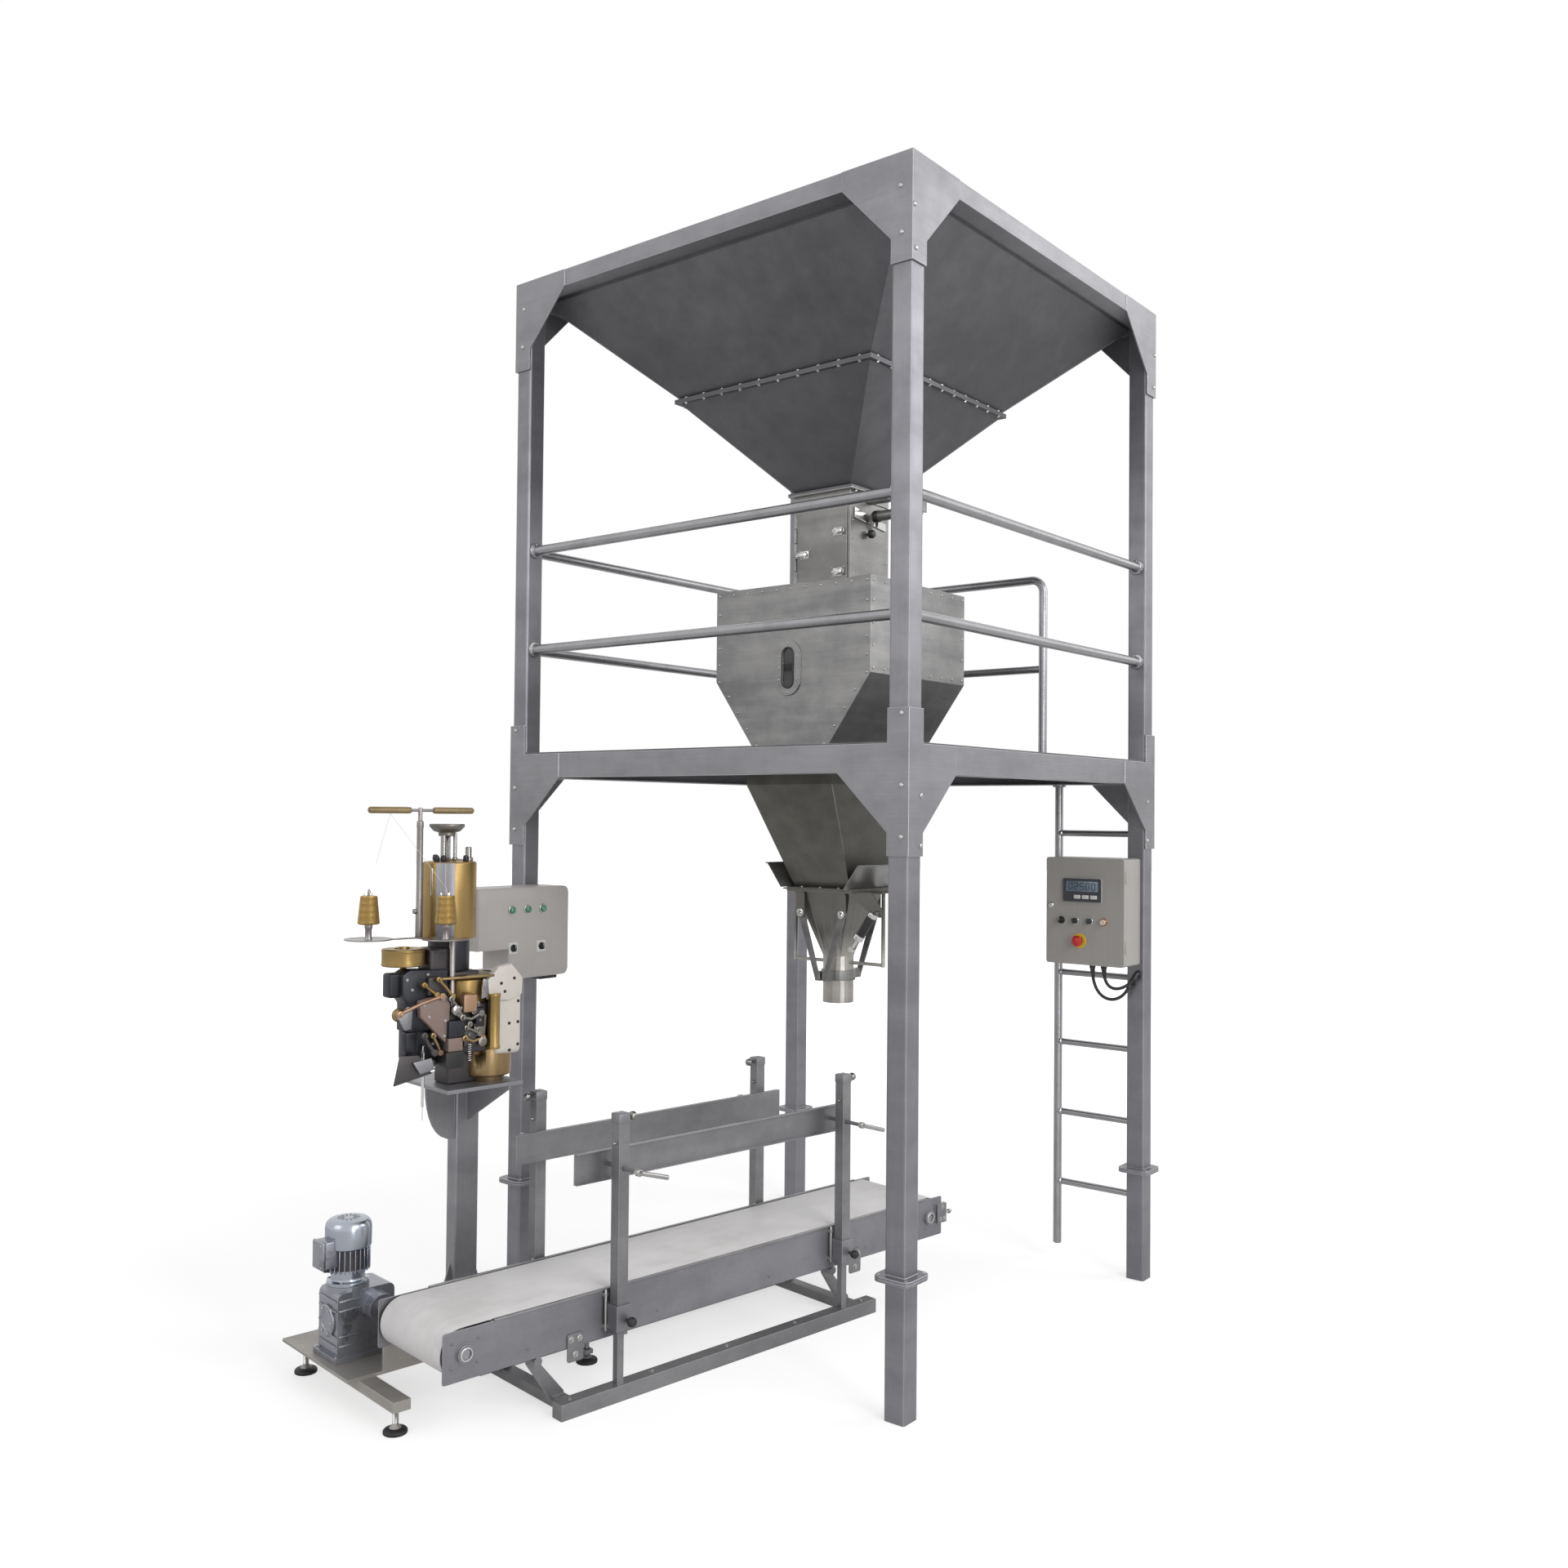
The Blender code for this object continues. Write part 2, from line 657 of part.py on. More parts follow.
def plate(name, outline, plane, at, thickness, parent=ROOT, holes=()):
    """Make a flat plate from an outline in one plane, centred on a distance along its normal."""
    curve = bpy.data.curves.new(name, "CURVE")
    curve.dimensions = "2D"
    curve.fill_mode = "BOTH"
    curve.extrude = thickness / 2
    for loop in (outline, *holes):
        spline = curve.splines.new("POLY")
        spline.points.add(len(loop) - 1)
        for point, (u, v) in zip(spline.points, loop):
            point.co = (u, v, 0, 1)
        spline.use_cyclic_u = True
    holder = bpy.data.objects.new(name + "_outline", curve)
    bpy.context.scene.collection.objects.link(holder)
    graph = bpy.context.evaluated_depsgraph_get()
    mesh = bpy.data.meshes.new_from_object(holder.evaluated_get(graph))
    bpy.data.objects.remove(holder, do_unlink=True)
    bm = bmesh.new()
    bm.from_mesh(mesh)
    bpy.data.meshes.remove(mesh)
    bmesh.ops.remove_doubles(bm, verts=bm.verts, dist=0.00001)
    frames = {
        "XY": Matrix(((1, 0, 0, 0), (0, 1, 0, 0), (0, 0, 1, at), (0, 0, 0, 1))),
        "XZ": Matrix(((1, 0, 0, 0), (0, 0, -1, at), (0, 1, 0, 0), (0, 0, 0, 1))),
        "YZ": Matrix(((0, 0, 1, at), (1, 0, 0, 0), (0, 1, 0, 0), (0, 0, 0, 1))),
    }
    bmesh.ops.transform(bm, matrix=frames[plane], verts=bm.verts)
    return wrap(name, bm, parent)


def sweep(name, points, radius, parent=ROOT, resolution=2):
    """Draw a round tube along points, with both ends closed."""
    curve = bpy.data.curves.new(name, "CURVE")
    curve.dimensions = "3D"
    curve.bevel_depth = radius
    curve.bevel_resolution = resolution
    curve.use_fill_caps = True
    spline = curve.splines.new("POLY")
    spline.points.add(len(points) - 1)
    for point, place in zip(spline.points, points):
        point.co = (*place, 1)
    holder = bpy.data.objects.new(name + "_path", curve)
    bpy.context.scene.collection.objects.link(holder)
    graph = bpy.context.evaluated_depsgraph_get()
    mesh = bpy.data.meshes.new_from_object(holder.evaluated_get(graph))
    bpy.data.objects.remove(holder, do_unlink=True)
    bm = bmesh.new()
    bm.from_mesh(mesh)
    bpy.data.meshes.remove(mesh)
    bmesh.ops.remove_doubles(bm, verts=bm.verts, dist=0.00001)
    return smooth(wrap(name, bm, parent))


def square_ring(half_x, half_y, z, count=4):
    """List the points of a rectangular section, with its corners always among them."""
    points = []
    for index in range(count):
        angle = math.tau * index / count + math.pi / 4
        reach = max(abs(math.cos(angle)), abs(math.sin(angle)))
        points.append((half_x * math.cos(angle) / reach, half_y * math.sin(angle) / reach, z))
    return points


def round_ring(radius, z, count):
    """List the points of a round section that pair with a rectangular one."""
    points = []
    for index in range(count):
        angle = math.tau * index / count + math.pi / 4
        points.append((radius * math.cos(angle), radius * math.sin(angle), z))
    return points


def loft(name, sections, parent=ROOT):
    """Skin a closed run of sections, out one side of a wall and back along the other."""
    bm = bmesh.new()
    rings = [[bm.verts.new(point) for point in section] for section in sections]
    for index, ring in enumerate(rings):
        after = rings[(index + 1) % len(rings)]
        for spot in range(len(ring)):
            then = (spot + 1) % len(ring)
            bm.faces.new((ring[spot], ring[then], after[then], after[spot]))
    return wrap(name, bm, parent)


def stadium(width, height, centre, steps):
    """List an upright oblong outline with round ends."""
    radius = width / 2
    reach = height / 2 - radius
    points = []
    for index in range(steps + 1):
        angle = math.pi * index / steps
        points.append((centre[0] + radius * math.cos(angle), centre[1] + reach + radius * math.sin(angle)))
    for index in range(steps + 1):
        angle = math.pi + math.pi * index / steps
        points.append((centre[0] + radius * math.cos(angle), centre[1] - reach + radius * math.sin(angle)))
    return points


def build_posts():
    """Make the four posts, each a capped tube with a bolted collar low down."""
    for name, side_x, side_y in (
        ("post_front_left", -1, -1),
        ("post_front_right", 1, -1),
        ("post_rear_left", -1, 1),
        ("post_rear_right", 1, 1),
    ):
        x = side_x * HALF_X
        y = side_y * HALF_Y
        half = POST / 2
        post = box(
            name,
            (x - half, x + half),
            (y - half, y + half),
            (0, FRAME_HEIGHT),
            ROOT,
            POST_RADIUS,
            2,
            2,
        )
        reach = half + COLLAR_MARGIN
        under = COLLAR_Z - COLLAR_SEAM / 2 - COLLAR_PLATE
        over = COLLAR_Z + COLLAR_SEAM / 2
        for label, low in (("lower", under), ("upper", over)):
            collar = box(
                f"{name}_{label}_collar",
                (x - reach, x + reach),
                (y - reach, y + reach),
                (low, low + COLLAR_PLATE),
                ROOT,
                COLLAR_RADIUS,
                2,
                2,
            )
            fuse(post, collar)
        inner = half - POST_WALL
        hollow = box(
            f"{name}_hollow",
            (x - inner, x + inner),
            (y - inner, y + inner),
            (POST_WALL, FRAME_HEIGHT - POST_WALL),
        )
        drain = rod(f"{name}_drain", (x, y, -POST_WALL), (x, y, 2 * POST_WALL), DRAIN_RADIUS, segments=12)
        cut(post, hollow, drain)
        finish(post, STEEL)


def ring_frame(name, top, height, rise, drop):
    """Make a ring of four channels with corner plates that wrap the posts."""
    low = top - height
    web_x = OUTER_X + GAP + GUSSET_PLATE / 2
    web_y = OUTER_Y + GAP + GUSSET_PLATE / 2
    end_x = INNER_X - GAP
    end_y = INNER_Y - GAP
    ring = None
    for side in (-1, 1):
        ys = sorted((side * INNER_Y, side * web_y))
        along = box(f"{name}_beam_x{side}", (-end_x, end_x), ys, (low, top))
        xs = sorted((side * INNER_X, side * web_x))
        across = box(f"{name}_beam_y{side}", xs, (-end_y, end_y), (low, top))
        if ring is None:
            ring = along
            ring.name = name
            fuse(ring, across)
        else:
            fuse(ring, along, across)
    upper = top + rise
    for side_x in (-1, 1):
        for side_y in (-1, 1):
            edge_x = OUTER_X + GAP + GUSSET_PLATE
            edge_y = OUTER_Y + GAP + GUSSET_PLATE
            for plane, outer, near, middle in (
                ("XZ", edge_x - EMBED, INNER_X, side_y * (edge_y - GUSSET_PLATE / 2)),
                ("YZ", edge_y, INNER_Y, side_x * (edge_x - GUSSET_PLATE / 2)),
            ):
                side = side_x if plane == "XZ" else side_y
                wing = outer - GUSSET_WING
                outline = [
                    (side * outer, upper),
                    (side * near, upper),
                    (side * near, top),
                    (side * wing, top),
                    (side * wing, low),
                    (side * near, low - drop * GUSSET_TAPER),
                    (side * near, low - drop),
                    (side * outer, low - drop),
                ]
                if rise <= 0:
                    outline = [(side * outer, top), (side * wing, top)] + outline[4:]
                gusset = plate(f"{name}_{plane}_{side_x}_{side_y}", outline, plane, middle, GUSSET_PLATE)
                fuse(ring, gusset)
    inside_x = OUTER_X + GAP - CHANNEL_WALL
    inside_y = OUTER_Y + GAP - CHANNEL_WALL
    for side in (-1, 1):
        ys = sorted((side * (INNER_Y - EMBED), side * inside_y))
        xs = sorted((side * (INNER_X - EMBED), side * inside_x))
        span = (low + CHANNEL_WALL, top - CHANNEL_WALL)
        reach_x = end_x - 2 * CHANNEL_WALL
        reach_y = end_y - 2 * CHANNEL_WALL
        cut(
            ring,
            box(f"{name}_channel_x{side}", (-reach_x, reach_x), ys, span),
            box(f"{name}_channel_y{side}", xs, (-reach_y, reach_y), span),
        )
    return ring


def build_frame():
    """Make the top ring, the platform ring with its bearers, and the deck."""
    top = ring_frame("top_frame", FRAME_HEIGHT, TOP_BEAM_HEIGHT, 0.0, TOP_GUSSET_DROP - TOP_BEAM_HEIGHT)
    finish(top, STEEL)
    ring = ring_frame(
        "platform_frame",
        PLATFORM_TOP,
        PLATFORM_BEAM_HEIGHT,
        PLATFORM_GUSSET_RISE,
        PLATFORM_GUSSET_DROP - PLATFORM_BEAM_HEIGHT,
    )
    high = PLATFORM_TOP - CHANNEL_WALL / 2
    zs = (high - BEARER_HEIGHT, high)
    half = BEARER_WIDTH / 2
    reach = OUTER_X + GAP - CHANNEL_WALL / 2
    for side in (-1, 1):
        y = side * BEARER_Y
        fuse(ring, box(f"long_bearer{side}", (-reach, reach), (y - half, y + half), zs))
    for side in (-1, 1):
        x = side * BEARER_X
        zs_short = (zs[0] + EMBED, zs[1] - EMBED)
        fuse(ring, box(f"short_bearer{side}", (x - half, x + half), (-BEARER_Y, BEARER_Y), zs_short))
    finish(ring, STEEL)
    notch_x = INNER_X - DECK_NOTCH
    notch_y = INNER_Y - DECK_NOTCH
    outline = [
        (-notch_x, -OUTER_Y), (notch_x, -OUTER_Y), (notch_x, -notch_y), (OUTER_X, -notch_y),
        (OUTER_X, notch_y), (notch_x, notch_y), (notch_x, OUTER_Y), (-notch_x, OUTER_Y),
        (-notch_x, notch_y), (-OUTER_X, notch_y), (-OUTER_X, -notch_y), (-notch_x, -notch_y),
    ]
    hole = [
        (-DECK_HOLE_X, -DECK_HOLE_Y), (DECK_HOLE_X, -DECK_HOLE_Y),
        (DECK_HOLE_X, DECK_HOLE_Y), (-DECK_HOLE_X, DECK_HOLE_Y),
    ]
    deck = plate("platform_deck", outline, "XY", DECK_TOP - DECK_PLATE / 2, DECK_PLATE, ROOT, [hole])
    finish(deck, DULL)


def rail(name, start, end):
    """Make one straight handrail with a flange at each end."""
    start = Vector(start)
    end = Vector(end)
    half = (end - start).length / 2
    profile = [
        (0, half), (RAIL_FLANGE_RADIUS, half), (RAIL_FLANGE_RADIUS, half - RAIL_FLANGE),
        (RAIL_RADIUS, half - RAIL_FLANGE), (RAIL_RADIUS, RAIL_FLANGE - half),
        (RAIL_FLANGE_RADIUS, RAIL_FLANGE - half), (RAIL_FLANGE_RADIUS, -half), (0, -half),
    ]
    finish(lathe(name, profile, (start + end) / 2, end - start, steps=12), BRIGHT)


def build_rails():
    """Make the handrails, the rail beside the ladder and the ladder."""
    run_x = INNER_X - GAP
    run_y = INNER_Y - GAP
    for label, z in (("upper", RAIL_UPPER_Z), ("lower", RAIL_LOWER_Z)):
        rail(f"handrail_left_{label}", (-HALF_X, -run_y, z), (-HALF_X, run_y, z))
        rail(f"handrail_front_{label}", (-run_x, -HALF_Y, z), (run_x, -HALF_Y, z))
        rail(f"handrail_rear_{label}", (-run_x, HALF_Y, z), (run_x, HALF_Y, z))
    foot = DECK_TOP + GAP
    stanchion_y = INNER_Y - GATE_WIDTH
    path = [(HALF_X, run_y, RAIL_UPPER_Z)]
    for index in range(7):
        angle = math.pi / 2 * index / 6
        y = stanchion_y + GATE_BEND - GATE_BEND * math.sin(angle)
        z = RAIL_UPPER_Z - GATE_BEND + GATE_BEND * math.cos(angle)
        path.append((HALF_X, y, z))
    path.append((HALF_X, stanchion_y, foot))
    gate = sweep("gate_rail", path, RAIL_RADIUS, ROOT, 3)
    lower = rod(
        "gate_lower",
        (HALF_X, run_y, RAIL_LOWER_Z),
        (HALF_X, stanchion_y, RAIL_LOWER_Z),
        GATE_LOWER_RADIUS,
    )
    fuse(gate, lower)
    for label, z in (("a", RAIL_UPPER_Z), ("b", RAIL_LOWER_Z)):
        disc = rod(
            f"gate_flange_{label}",
            (HALF_X, run_y, z),
            (HALF_X, run_y - RAIL_FLANGE, z),
            RAIL_FLANGE_RADIUS,
        )
        fuse(gate, disc)
    shoe = rod(
        "gate_shoe",
        (HALF_X, stanchion_y, foot),
        (HALF_X, stanchion_y, foot + RAIL_FLANGE),
        GATE_SHOE_RADIUS,
    )
    finish(fuse(gate, shoe), BRIGHT)
    stile_y = -INNER_Y + LADDER_WIDTH
    stile_top = PLATFORM_TOP - PLATFORM_BEAM_HEIGHT - GAP
    ladder = rod("ladder", (HALF_X, stile_y, STILE_BOTTOM), (HALF_X, stile_y, stile_top), STILE_RADIUS)
    fuse(
        ladder,
        rod(
            "ladder_cap",
            (HALF_X, stile_y, stile_top - RAIL_FLANGE),
            (HALF_X, stile_y, stile_top),
            RAIL_FLANGE_RADIUS,
        ),
    )
    near = -INNER_Y + GAP
    for index in range(RUNG_COUNT):
        z = RUNG_FIRST_Z + RUNG_STEP * index
        length = stile_y - near + EMBED
        profile = [
            (0, length), (RUNG_RADIUS, length), (RUNG_RADIUS, RAIL_FLANGE),
            (RUNG_COLLAR_RADIUS, RAIL_FLANGE), (RUNG_COLLAR_RADIUS, 0), (0, 0),
        ]
        fuse(ladder, lathe(f"rung_{index}", profile, (HALF_X, near, z), (0, 1, 0), steps=10))
    finish(ladder, BRIGHT)


def funnel(name, walls, inner):
    """Skin a rectangular shell from outer sections down and inner sections back up."""
    return loft(name, [square_ring(*section) for section in walls + inner])


def build_hopper():
    """Make the two hopper halves, bolted lip to lip."""
    top_x = INNER_X - GAP
    top_y = INNER_Y - GAP
    knee = FRAME_HEIGHT - HOPPER_RIM_HEIGHT
    lip_top = HOPPER_WAIST_Z + LIP_PLATE
    wx = HOPPER_WAIST_X
    wy = HOPPER_WAIST_Y
    upper = funnel(
        "hopper_upper",
        [
            (top_x, top_y, FRAME_HEIGHT), (top_x, top_y, knee), (wx, wy, lip_top),
            (wx + LIP, wy + LIP, lip_top), (wx + LIP, wy + LIP, HOPPER_WAIST_Z),
        ],
        [
            (wx - SHEET, wy - SHEET, HOPPER_WAIST_Z), (wx - SHEET, wy - SHEET, lip_top + EMBED),
            (top_x - SHEET, top_y - SHEET, knee + SHEET / 2),
            (top_x - SHEET, top_y - SHEET, FRAME_HEIGHT),
        ],
    )
    finish(upper, STEEL)
    joint = HOPPER_WAIST_Z - GAP
    low = CHUTE_TOP + LIP_PLATE
    lower = funnel(
        "hopper_lower",
        [
            (wx + LIP, wy + LIP, joint), (wx + LIP, wy + LIP, joint - LIP_PLATE),
            (wx, wy, joint - LIP_PLATE), (CHUTE_X, CHUTE_Y, low),
            (CHUTE_X + LIP, CHUTE_Y + LIP, low), (CHUTE_X + LIP, CHUTE_Y + LIP, CHUTE_TOP),
        ],
        [
            (CHUTE_X - SHEET, CHUTE_Y - SHEET, CHUTE_TOP), (CHUTE_X - SHEET, CHUTE_Y - SHEET, low + EMBED),
            (wx - SHEET, wy - SHEET, joint - LIP_PLATE + SHEET / 2), (wx - SHEET, wy - SHEET, joint),
        ],
    )
    finish(lower, STEEL)


def build_chute():
    """Make the feed chute with its gate actuator, the sliding gate and the hinged door."""
    top = CHUTE_TOP - GAP
    low = HOUSING_TOP + GAP
    cx = CHUTE_X
    cy = CHUTE_Y
    rim = HOUSING_FLANGE_PLATE
    inner_x = cx - SHEET
    inner_y = cy - SHEET
    chute = funnel(
        "feed_chute",
        [
            (cx + LIP, cy + LIP, top), (cx + LIP, cy + LIP, top - rim), (cx, cy, top - rim),
            (cx, cy, low + rim), (cx + LIP, cy + LIP, low + rim), (cx + LIP, cy + LIP, low),
        ],
        [(inner_x, inner_y, low), (inner_x, inner_y, top)],
    )
    opening = DOOR_HALF_WIDTH - DOOR_LAP
    hinge_x = -cx - DOOR_BARREL_RADIUS - GAP
    hinge_y = DOOR_HALF_WIDTH + DOOR_BARREL_RADIUS
    knuckle = (DOOR_TOP - DOOR_BOTTOM) / DOOR_KNUCKLES
    for label, start in (("low", DOOR_BOTTOM + knuckle), ("high", DOOR_BOTTOM + 3 * knuckle)):
        ear = box(
            f"chute_ear_{label}",
            (hinge_x, -cx + EMBED / 2),
            (hinge_y - DOOR_BARREL_RADIUS / 2, hinge_y + DOOR_BARREL_RADIUS / 2),
            (start + GAP, start + knuckle - GAP),
        )
        barrel = rod(
            f"chute_knuckle_{label}",
            (hinge_x, hinge_y, start + GAP),
            (hinge_x, hinge_y, start + knuckle - GAP),
            DOOR_BARREL_RADIUS,
        )
        fuse(chute, ear, barrel)
    axle_z = GATE_Z - ACTUATOR_DROP
    near = -cy - LIP
    far = near - ACTUATOR_LENGTH
    fuse(chute, rod("actuator", (0, near, axle_z), (0, far, axle_z), ACTUATOR_RADIUS, segments=18))
    wall = [
        (-cy + EMBED, axle_z - BRACKET_DEPTH), (-cy + EMBED, axle_z + ACTUATOR_RADIUS / 2),
        (far * BRACKET_SHARE, axle_z), (near, axle_z - ACTUATOR_RADIUS),
    ]
    fuse(chute, plate("actuator_bracket", wall, "YZ", 0.0, BRACKET_PLATE))
    tight = GATE_PLATE / 2 + GAP
    cut(
        chute,
        box(
            "door_opening",
            (-cx - SHEET, -inner_x + SHEET),
            (-opening, opening),
            (DOOR_BOTTOM + DOOR_LAP, DOOR_TOP - DOOR_LAP),
        ),
        box(
            "gate_slot",
            (-inner_x + SHEET, inner_x - SHEET),
            (-cy - SHEET, -inner_y + SHEET),
            (GATE_Z - tight, GATE_Z + tight),
        ),
        bore_tool("actuator_bore", (0, far - EMBED, axle_z), (0, near - ACTUATOR_END, axle_z), ACTUATOR_BORE),
    )
    finish(chute, BRIGHT)

    door_x = -cx - GAP - DOOR_PLATE / 2
    panel = [
        (-DOOR_HALF_WIDTH, DOOR_BOTTOM), (hinge_y, DOOR_BOTTOM),
        (hinge_y, DOOR_TOP), (-DOOR_HALF_WIDTH, DOOR_TOP),
    ]
    door = plate("chute_door", panel, "YZ", door_x, DOOR_PLATE)
    for index in range(0, DOOR_KNUCKLES, 2):
        start = DOOR_BOTTOM + index * knuckle
        fuse(
            door,
            rod(
                f"door_knuckle_{index}",
                (hinge_x, hinge_y, start + EMBED),
                (hinge_x, hinge_y, start + knuckle - EMBED),
                DOOR_BARREL_RADIUS,
            ),
        )
    clear = DOOR_BARREL_RADIUS + 2 * GAP
    for label, start in (("low", DOOR_BOTTOM + knuckle), ("high", DOOR_BOTTOM + 3 * knuckle)):
        notch = box(
            f"door_notch_{label}",
            (hinge_x - 2 * clear, -cx),
            (hinge_y - clear, hinge_y + clear),
            (start - GAP, start + knuckle + GAP),
        )
        cut(door, notch)
    finish(door, BRIGHT, (hinge_x, hinge_y, (DOOR_BOTTOM + DOOR_TOP) / 2))

    side = inner_x - SHEET - TURN_CLEARANCE
    blade_end = inner_y - SHEET
    thick = GATE_PLATE / 2
    blade = box("feed_gate", (-side, side), (-inner_y, blade_end), (GATE_Z - thick, GATE_Z + thick))
    tab = far - GATE_TAB_REACH
    half = GATE_TONGUE / 2
    thin = GATE_TONGUE_PLATE / 2
    tongue = box("gate_tongue", (-half, half), (tab, -inner_y + EMBED), (GATE_Z - thin, GATE_Z + thin))
    drop = box(
        "gate_tab",
        (-half + EMBED, half - EMBED),
        (tab + EMBED / 2, tab + GATE_TAB),
        (axle_z - 2 * ROD_RADIUS, GATE_Z),
    )
    shaft = rod("gate_rod", (0, tab + GATE_TAB / 2, axle_z), (0, near - ROD_BEARING, axle_z), ROD_RADIUS)
    finish(fuse(blade, tongue, drop, shaft), BRIGHT, (0, 0, GATE_Z))


def build_weigher():
    """Make the weigh housing, its sight glass, the bucket inside with its flap, and the discharge hopper."""
    foot = DECK_TOP + GAP
    rim = foot + HOUSING_FLANGE_PLATE
    hx = HOUSING_X
    hy = HOUSING_Y
    fy = HOUSING_FOOT_Y
    mouth_x = CHUTE_X - SHEET
    mouth_y = CHUTE_Y - SHEET
    ceiling = HOUSING_TOP - SHEET
    housing = funnel(
        "weigh_housing",
        [
            (mouth_x, mouth_y, HOUSING_TOP), (hx, hy, HOUSING_TOP), (hx, hy, HOUSING_KNEE_Z), (hx, fy, rim),
            (hx + HOUSING_FLANGE, fy + HOUSING_FLANGE, rim), (hx + HOUSING_FLANGE, fy + HOUSING_FLANGE, foot),
        ],
        [
            (hx - SHEET, fy - SHEET, foot), (hx - SHEET, fy - SHEET, rim),
            (hx - SHEET, hy - SHEET, HOUSING_KNEE_Z + SHEET / 2), (hx - SHEET, hy - SHEET, ceiling),
            (mouth_x, mouth_y, ceiling),
        ],
    )
    centre = (SIGHT_Y, SIGHT_Z)
    face = -hx - SIGHT_FRAME_PLATE / 2 + EMBED / 2
    oblong = stadium(SIGHT_WIDTH, SIGHT_HEIGHT, centre, SIGHT_STEPS)
    rim_plate = plate("sight_frame", oblong, "YZ", face, SIGHT_FRAME_PLATE + EMBED)
    narrow = stadium(SIGHT_SLOT_WIDTH, SIGHT_SLOT_HEIGHT, centre, SIGHT_STEPS)
    slot = plate("sight_slot", narrow, "YZ", -hx, 8 * SIGHT_FRAME_PLATE)
    finish(cut(fuse(housing, rim_plate), slot), BRIGHT)
    shrink = 2 * GAP
    pane = stadium(SIGHT_SLOT_WIDTH - shrink, SIGHT_SLOT_HEIGHT - shrink, centre, SIGHT_STEPS)
    finish(plate("sight_glass", pane, "YZ", -hx, SIGHT_PANE), GLASS)

    bx = BUCKET_X
    by = BUCKET_Y
    bucket = funnel(
        "weigh_bucket",
        [(bx, by, BUCKET_TOP), (bx, by, BUCKET_BOTTOM)],
        [(bx - SHEET, by - SHEET, BUCKET_BOTTOM), (bx - SHEET, by - SHEET, BUCKET_TOP)],
    )
    for side in (-1, 1):
        start = side * (bx - SHEET / 2)
        end = side * (hx - SHEET - GAP)
        fuse(
            bucket,
            rod(f"load_arm{side}", (start, 0, BUCKET_ARM_Z), (end, 0, BUCKET_ARM_Z), BUCKET_ARM_RADIUS),
        )
    flap_z = BUCKET_BOTTOM - GAP - FLAP_PLATE / 2
    pin_y = by + FLAP_BARREL_RADIUS + EMBED
    lug_x = bx - LUG_INSET
    for side in (-1, 1):
        lug_low = flap_z - FLAP_BARREL_RADIUS * 1.6
        lug_far = pin_y + FLAP_BARREL_RADIUS
        tab = [
            (by - EMBED / 2, BUCKET_BOTTOM + LUG_RISE), (by - EMBED / 2, BUCKET_BOTTOM + GAP),
            (by + EMBED, lug_low), (lug_far, lug_low), (lug_far, flap_z + FLAP_BARREL_RADIUS),
        ]
        fuse(bucket, plate(f"flap_lug{side}", tab, "YZ", side * lug_x, LUG_PLATE))
    reach = lug_x + LUG_PLATE
    cut(
        bucket,
        bore_tool(
            "flap_bore",
            (-reach - EMBED, pin_y, flap_z),
            (reach + EMBED, pin_y, flap_z),
            FLAP_PIN_RADIUS + TURN_CLEARANCE,
            segments=12,
        ),
    )
    finish(bucket, BRIGHT)
    inside = lug_x - LUG_PLATE / 2 - 2 * GAP
    thick = FLAP_PLATE / 2
    flap = box("bucket_flap", (-inside, inside), (-by, pin_y), (flap_z - thick, flap_z + thick))
    barrel = inside - EMBED
    profile = [
        (0, reach), (FLAP_PIN_RADIUS, reach), (FLAP_PIN_RADIUS, barrel), (FLAP_BARREL_RADIUS, barrel),
        (FLAP_BARREL_RADIUS, -barrel), (FLAP_PIN_RADIUS, -barrel), (FLAP_PIN_RADIUS, -reach), (0, -reach),
    ]
    fuse(flap, lathe("flap_pin", profile, (0, pin_y, flap_z), (1, 0, 0), steps=14))
    finish(flap, BRIGHT, (0, pin_y, flap_z))

    top = PLATFORM_TOP
    ledge = top - HOUSING_FLANGE_PLATE
    dx = DISCHARGE_X
    dy = DISCHARGE_Y
    lip = OUTLET_LIP
    discharge = funnel(
        "discharge_hopper",
        [
            (dx + LIP, dy + LIP, top), (dx + LIP, dy + LIP, ledge),
            (dx, dy, ledge), (dx, dy, DISCHARGE_KNEE_Z),
            (OUTLET_X, OUTLET_Y, OUTLET_Z), (OUTLET_X + lip, OUTLET_Y + lip, OUTLET_Z),
            (OUTLET_X + lip, OUTLET_Y + lip, OUTLET_Z - LIP_PLATE),
        ],
        [
            (OUTLET_X - SHEET, OUTLET_Y - SHEET, OUTLET_Z - LIP_PLATE),
            (OUTLET_X - SHEET, OUTLET_Y - SHEET, OUTLET_Z),
            (dx - SHEET, dy - SHEET, DISCHARGE_KNEE_Z + SHEET / 2), (dx - SHEET, dy - SHEET, top),
        ],
    )
    finish(discharge, DULL)


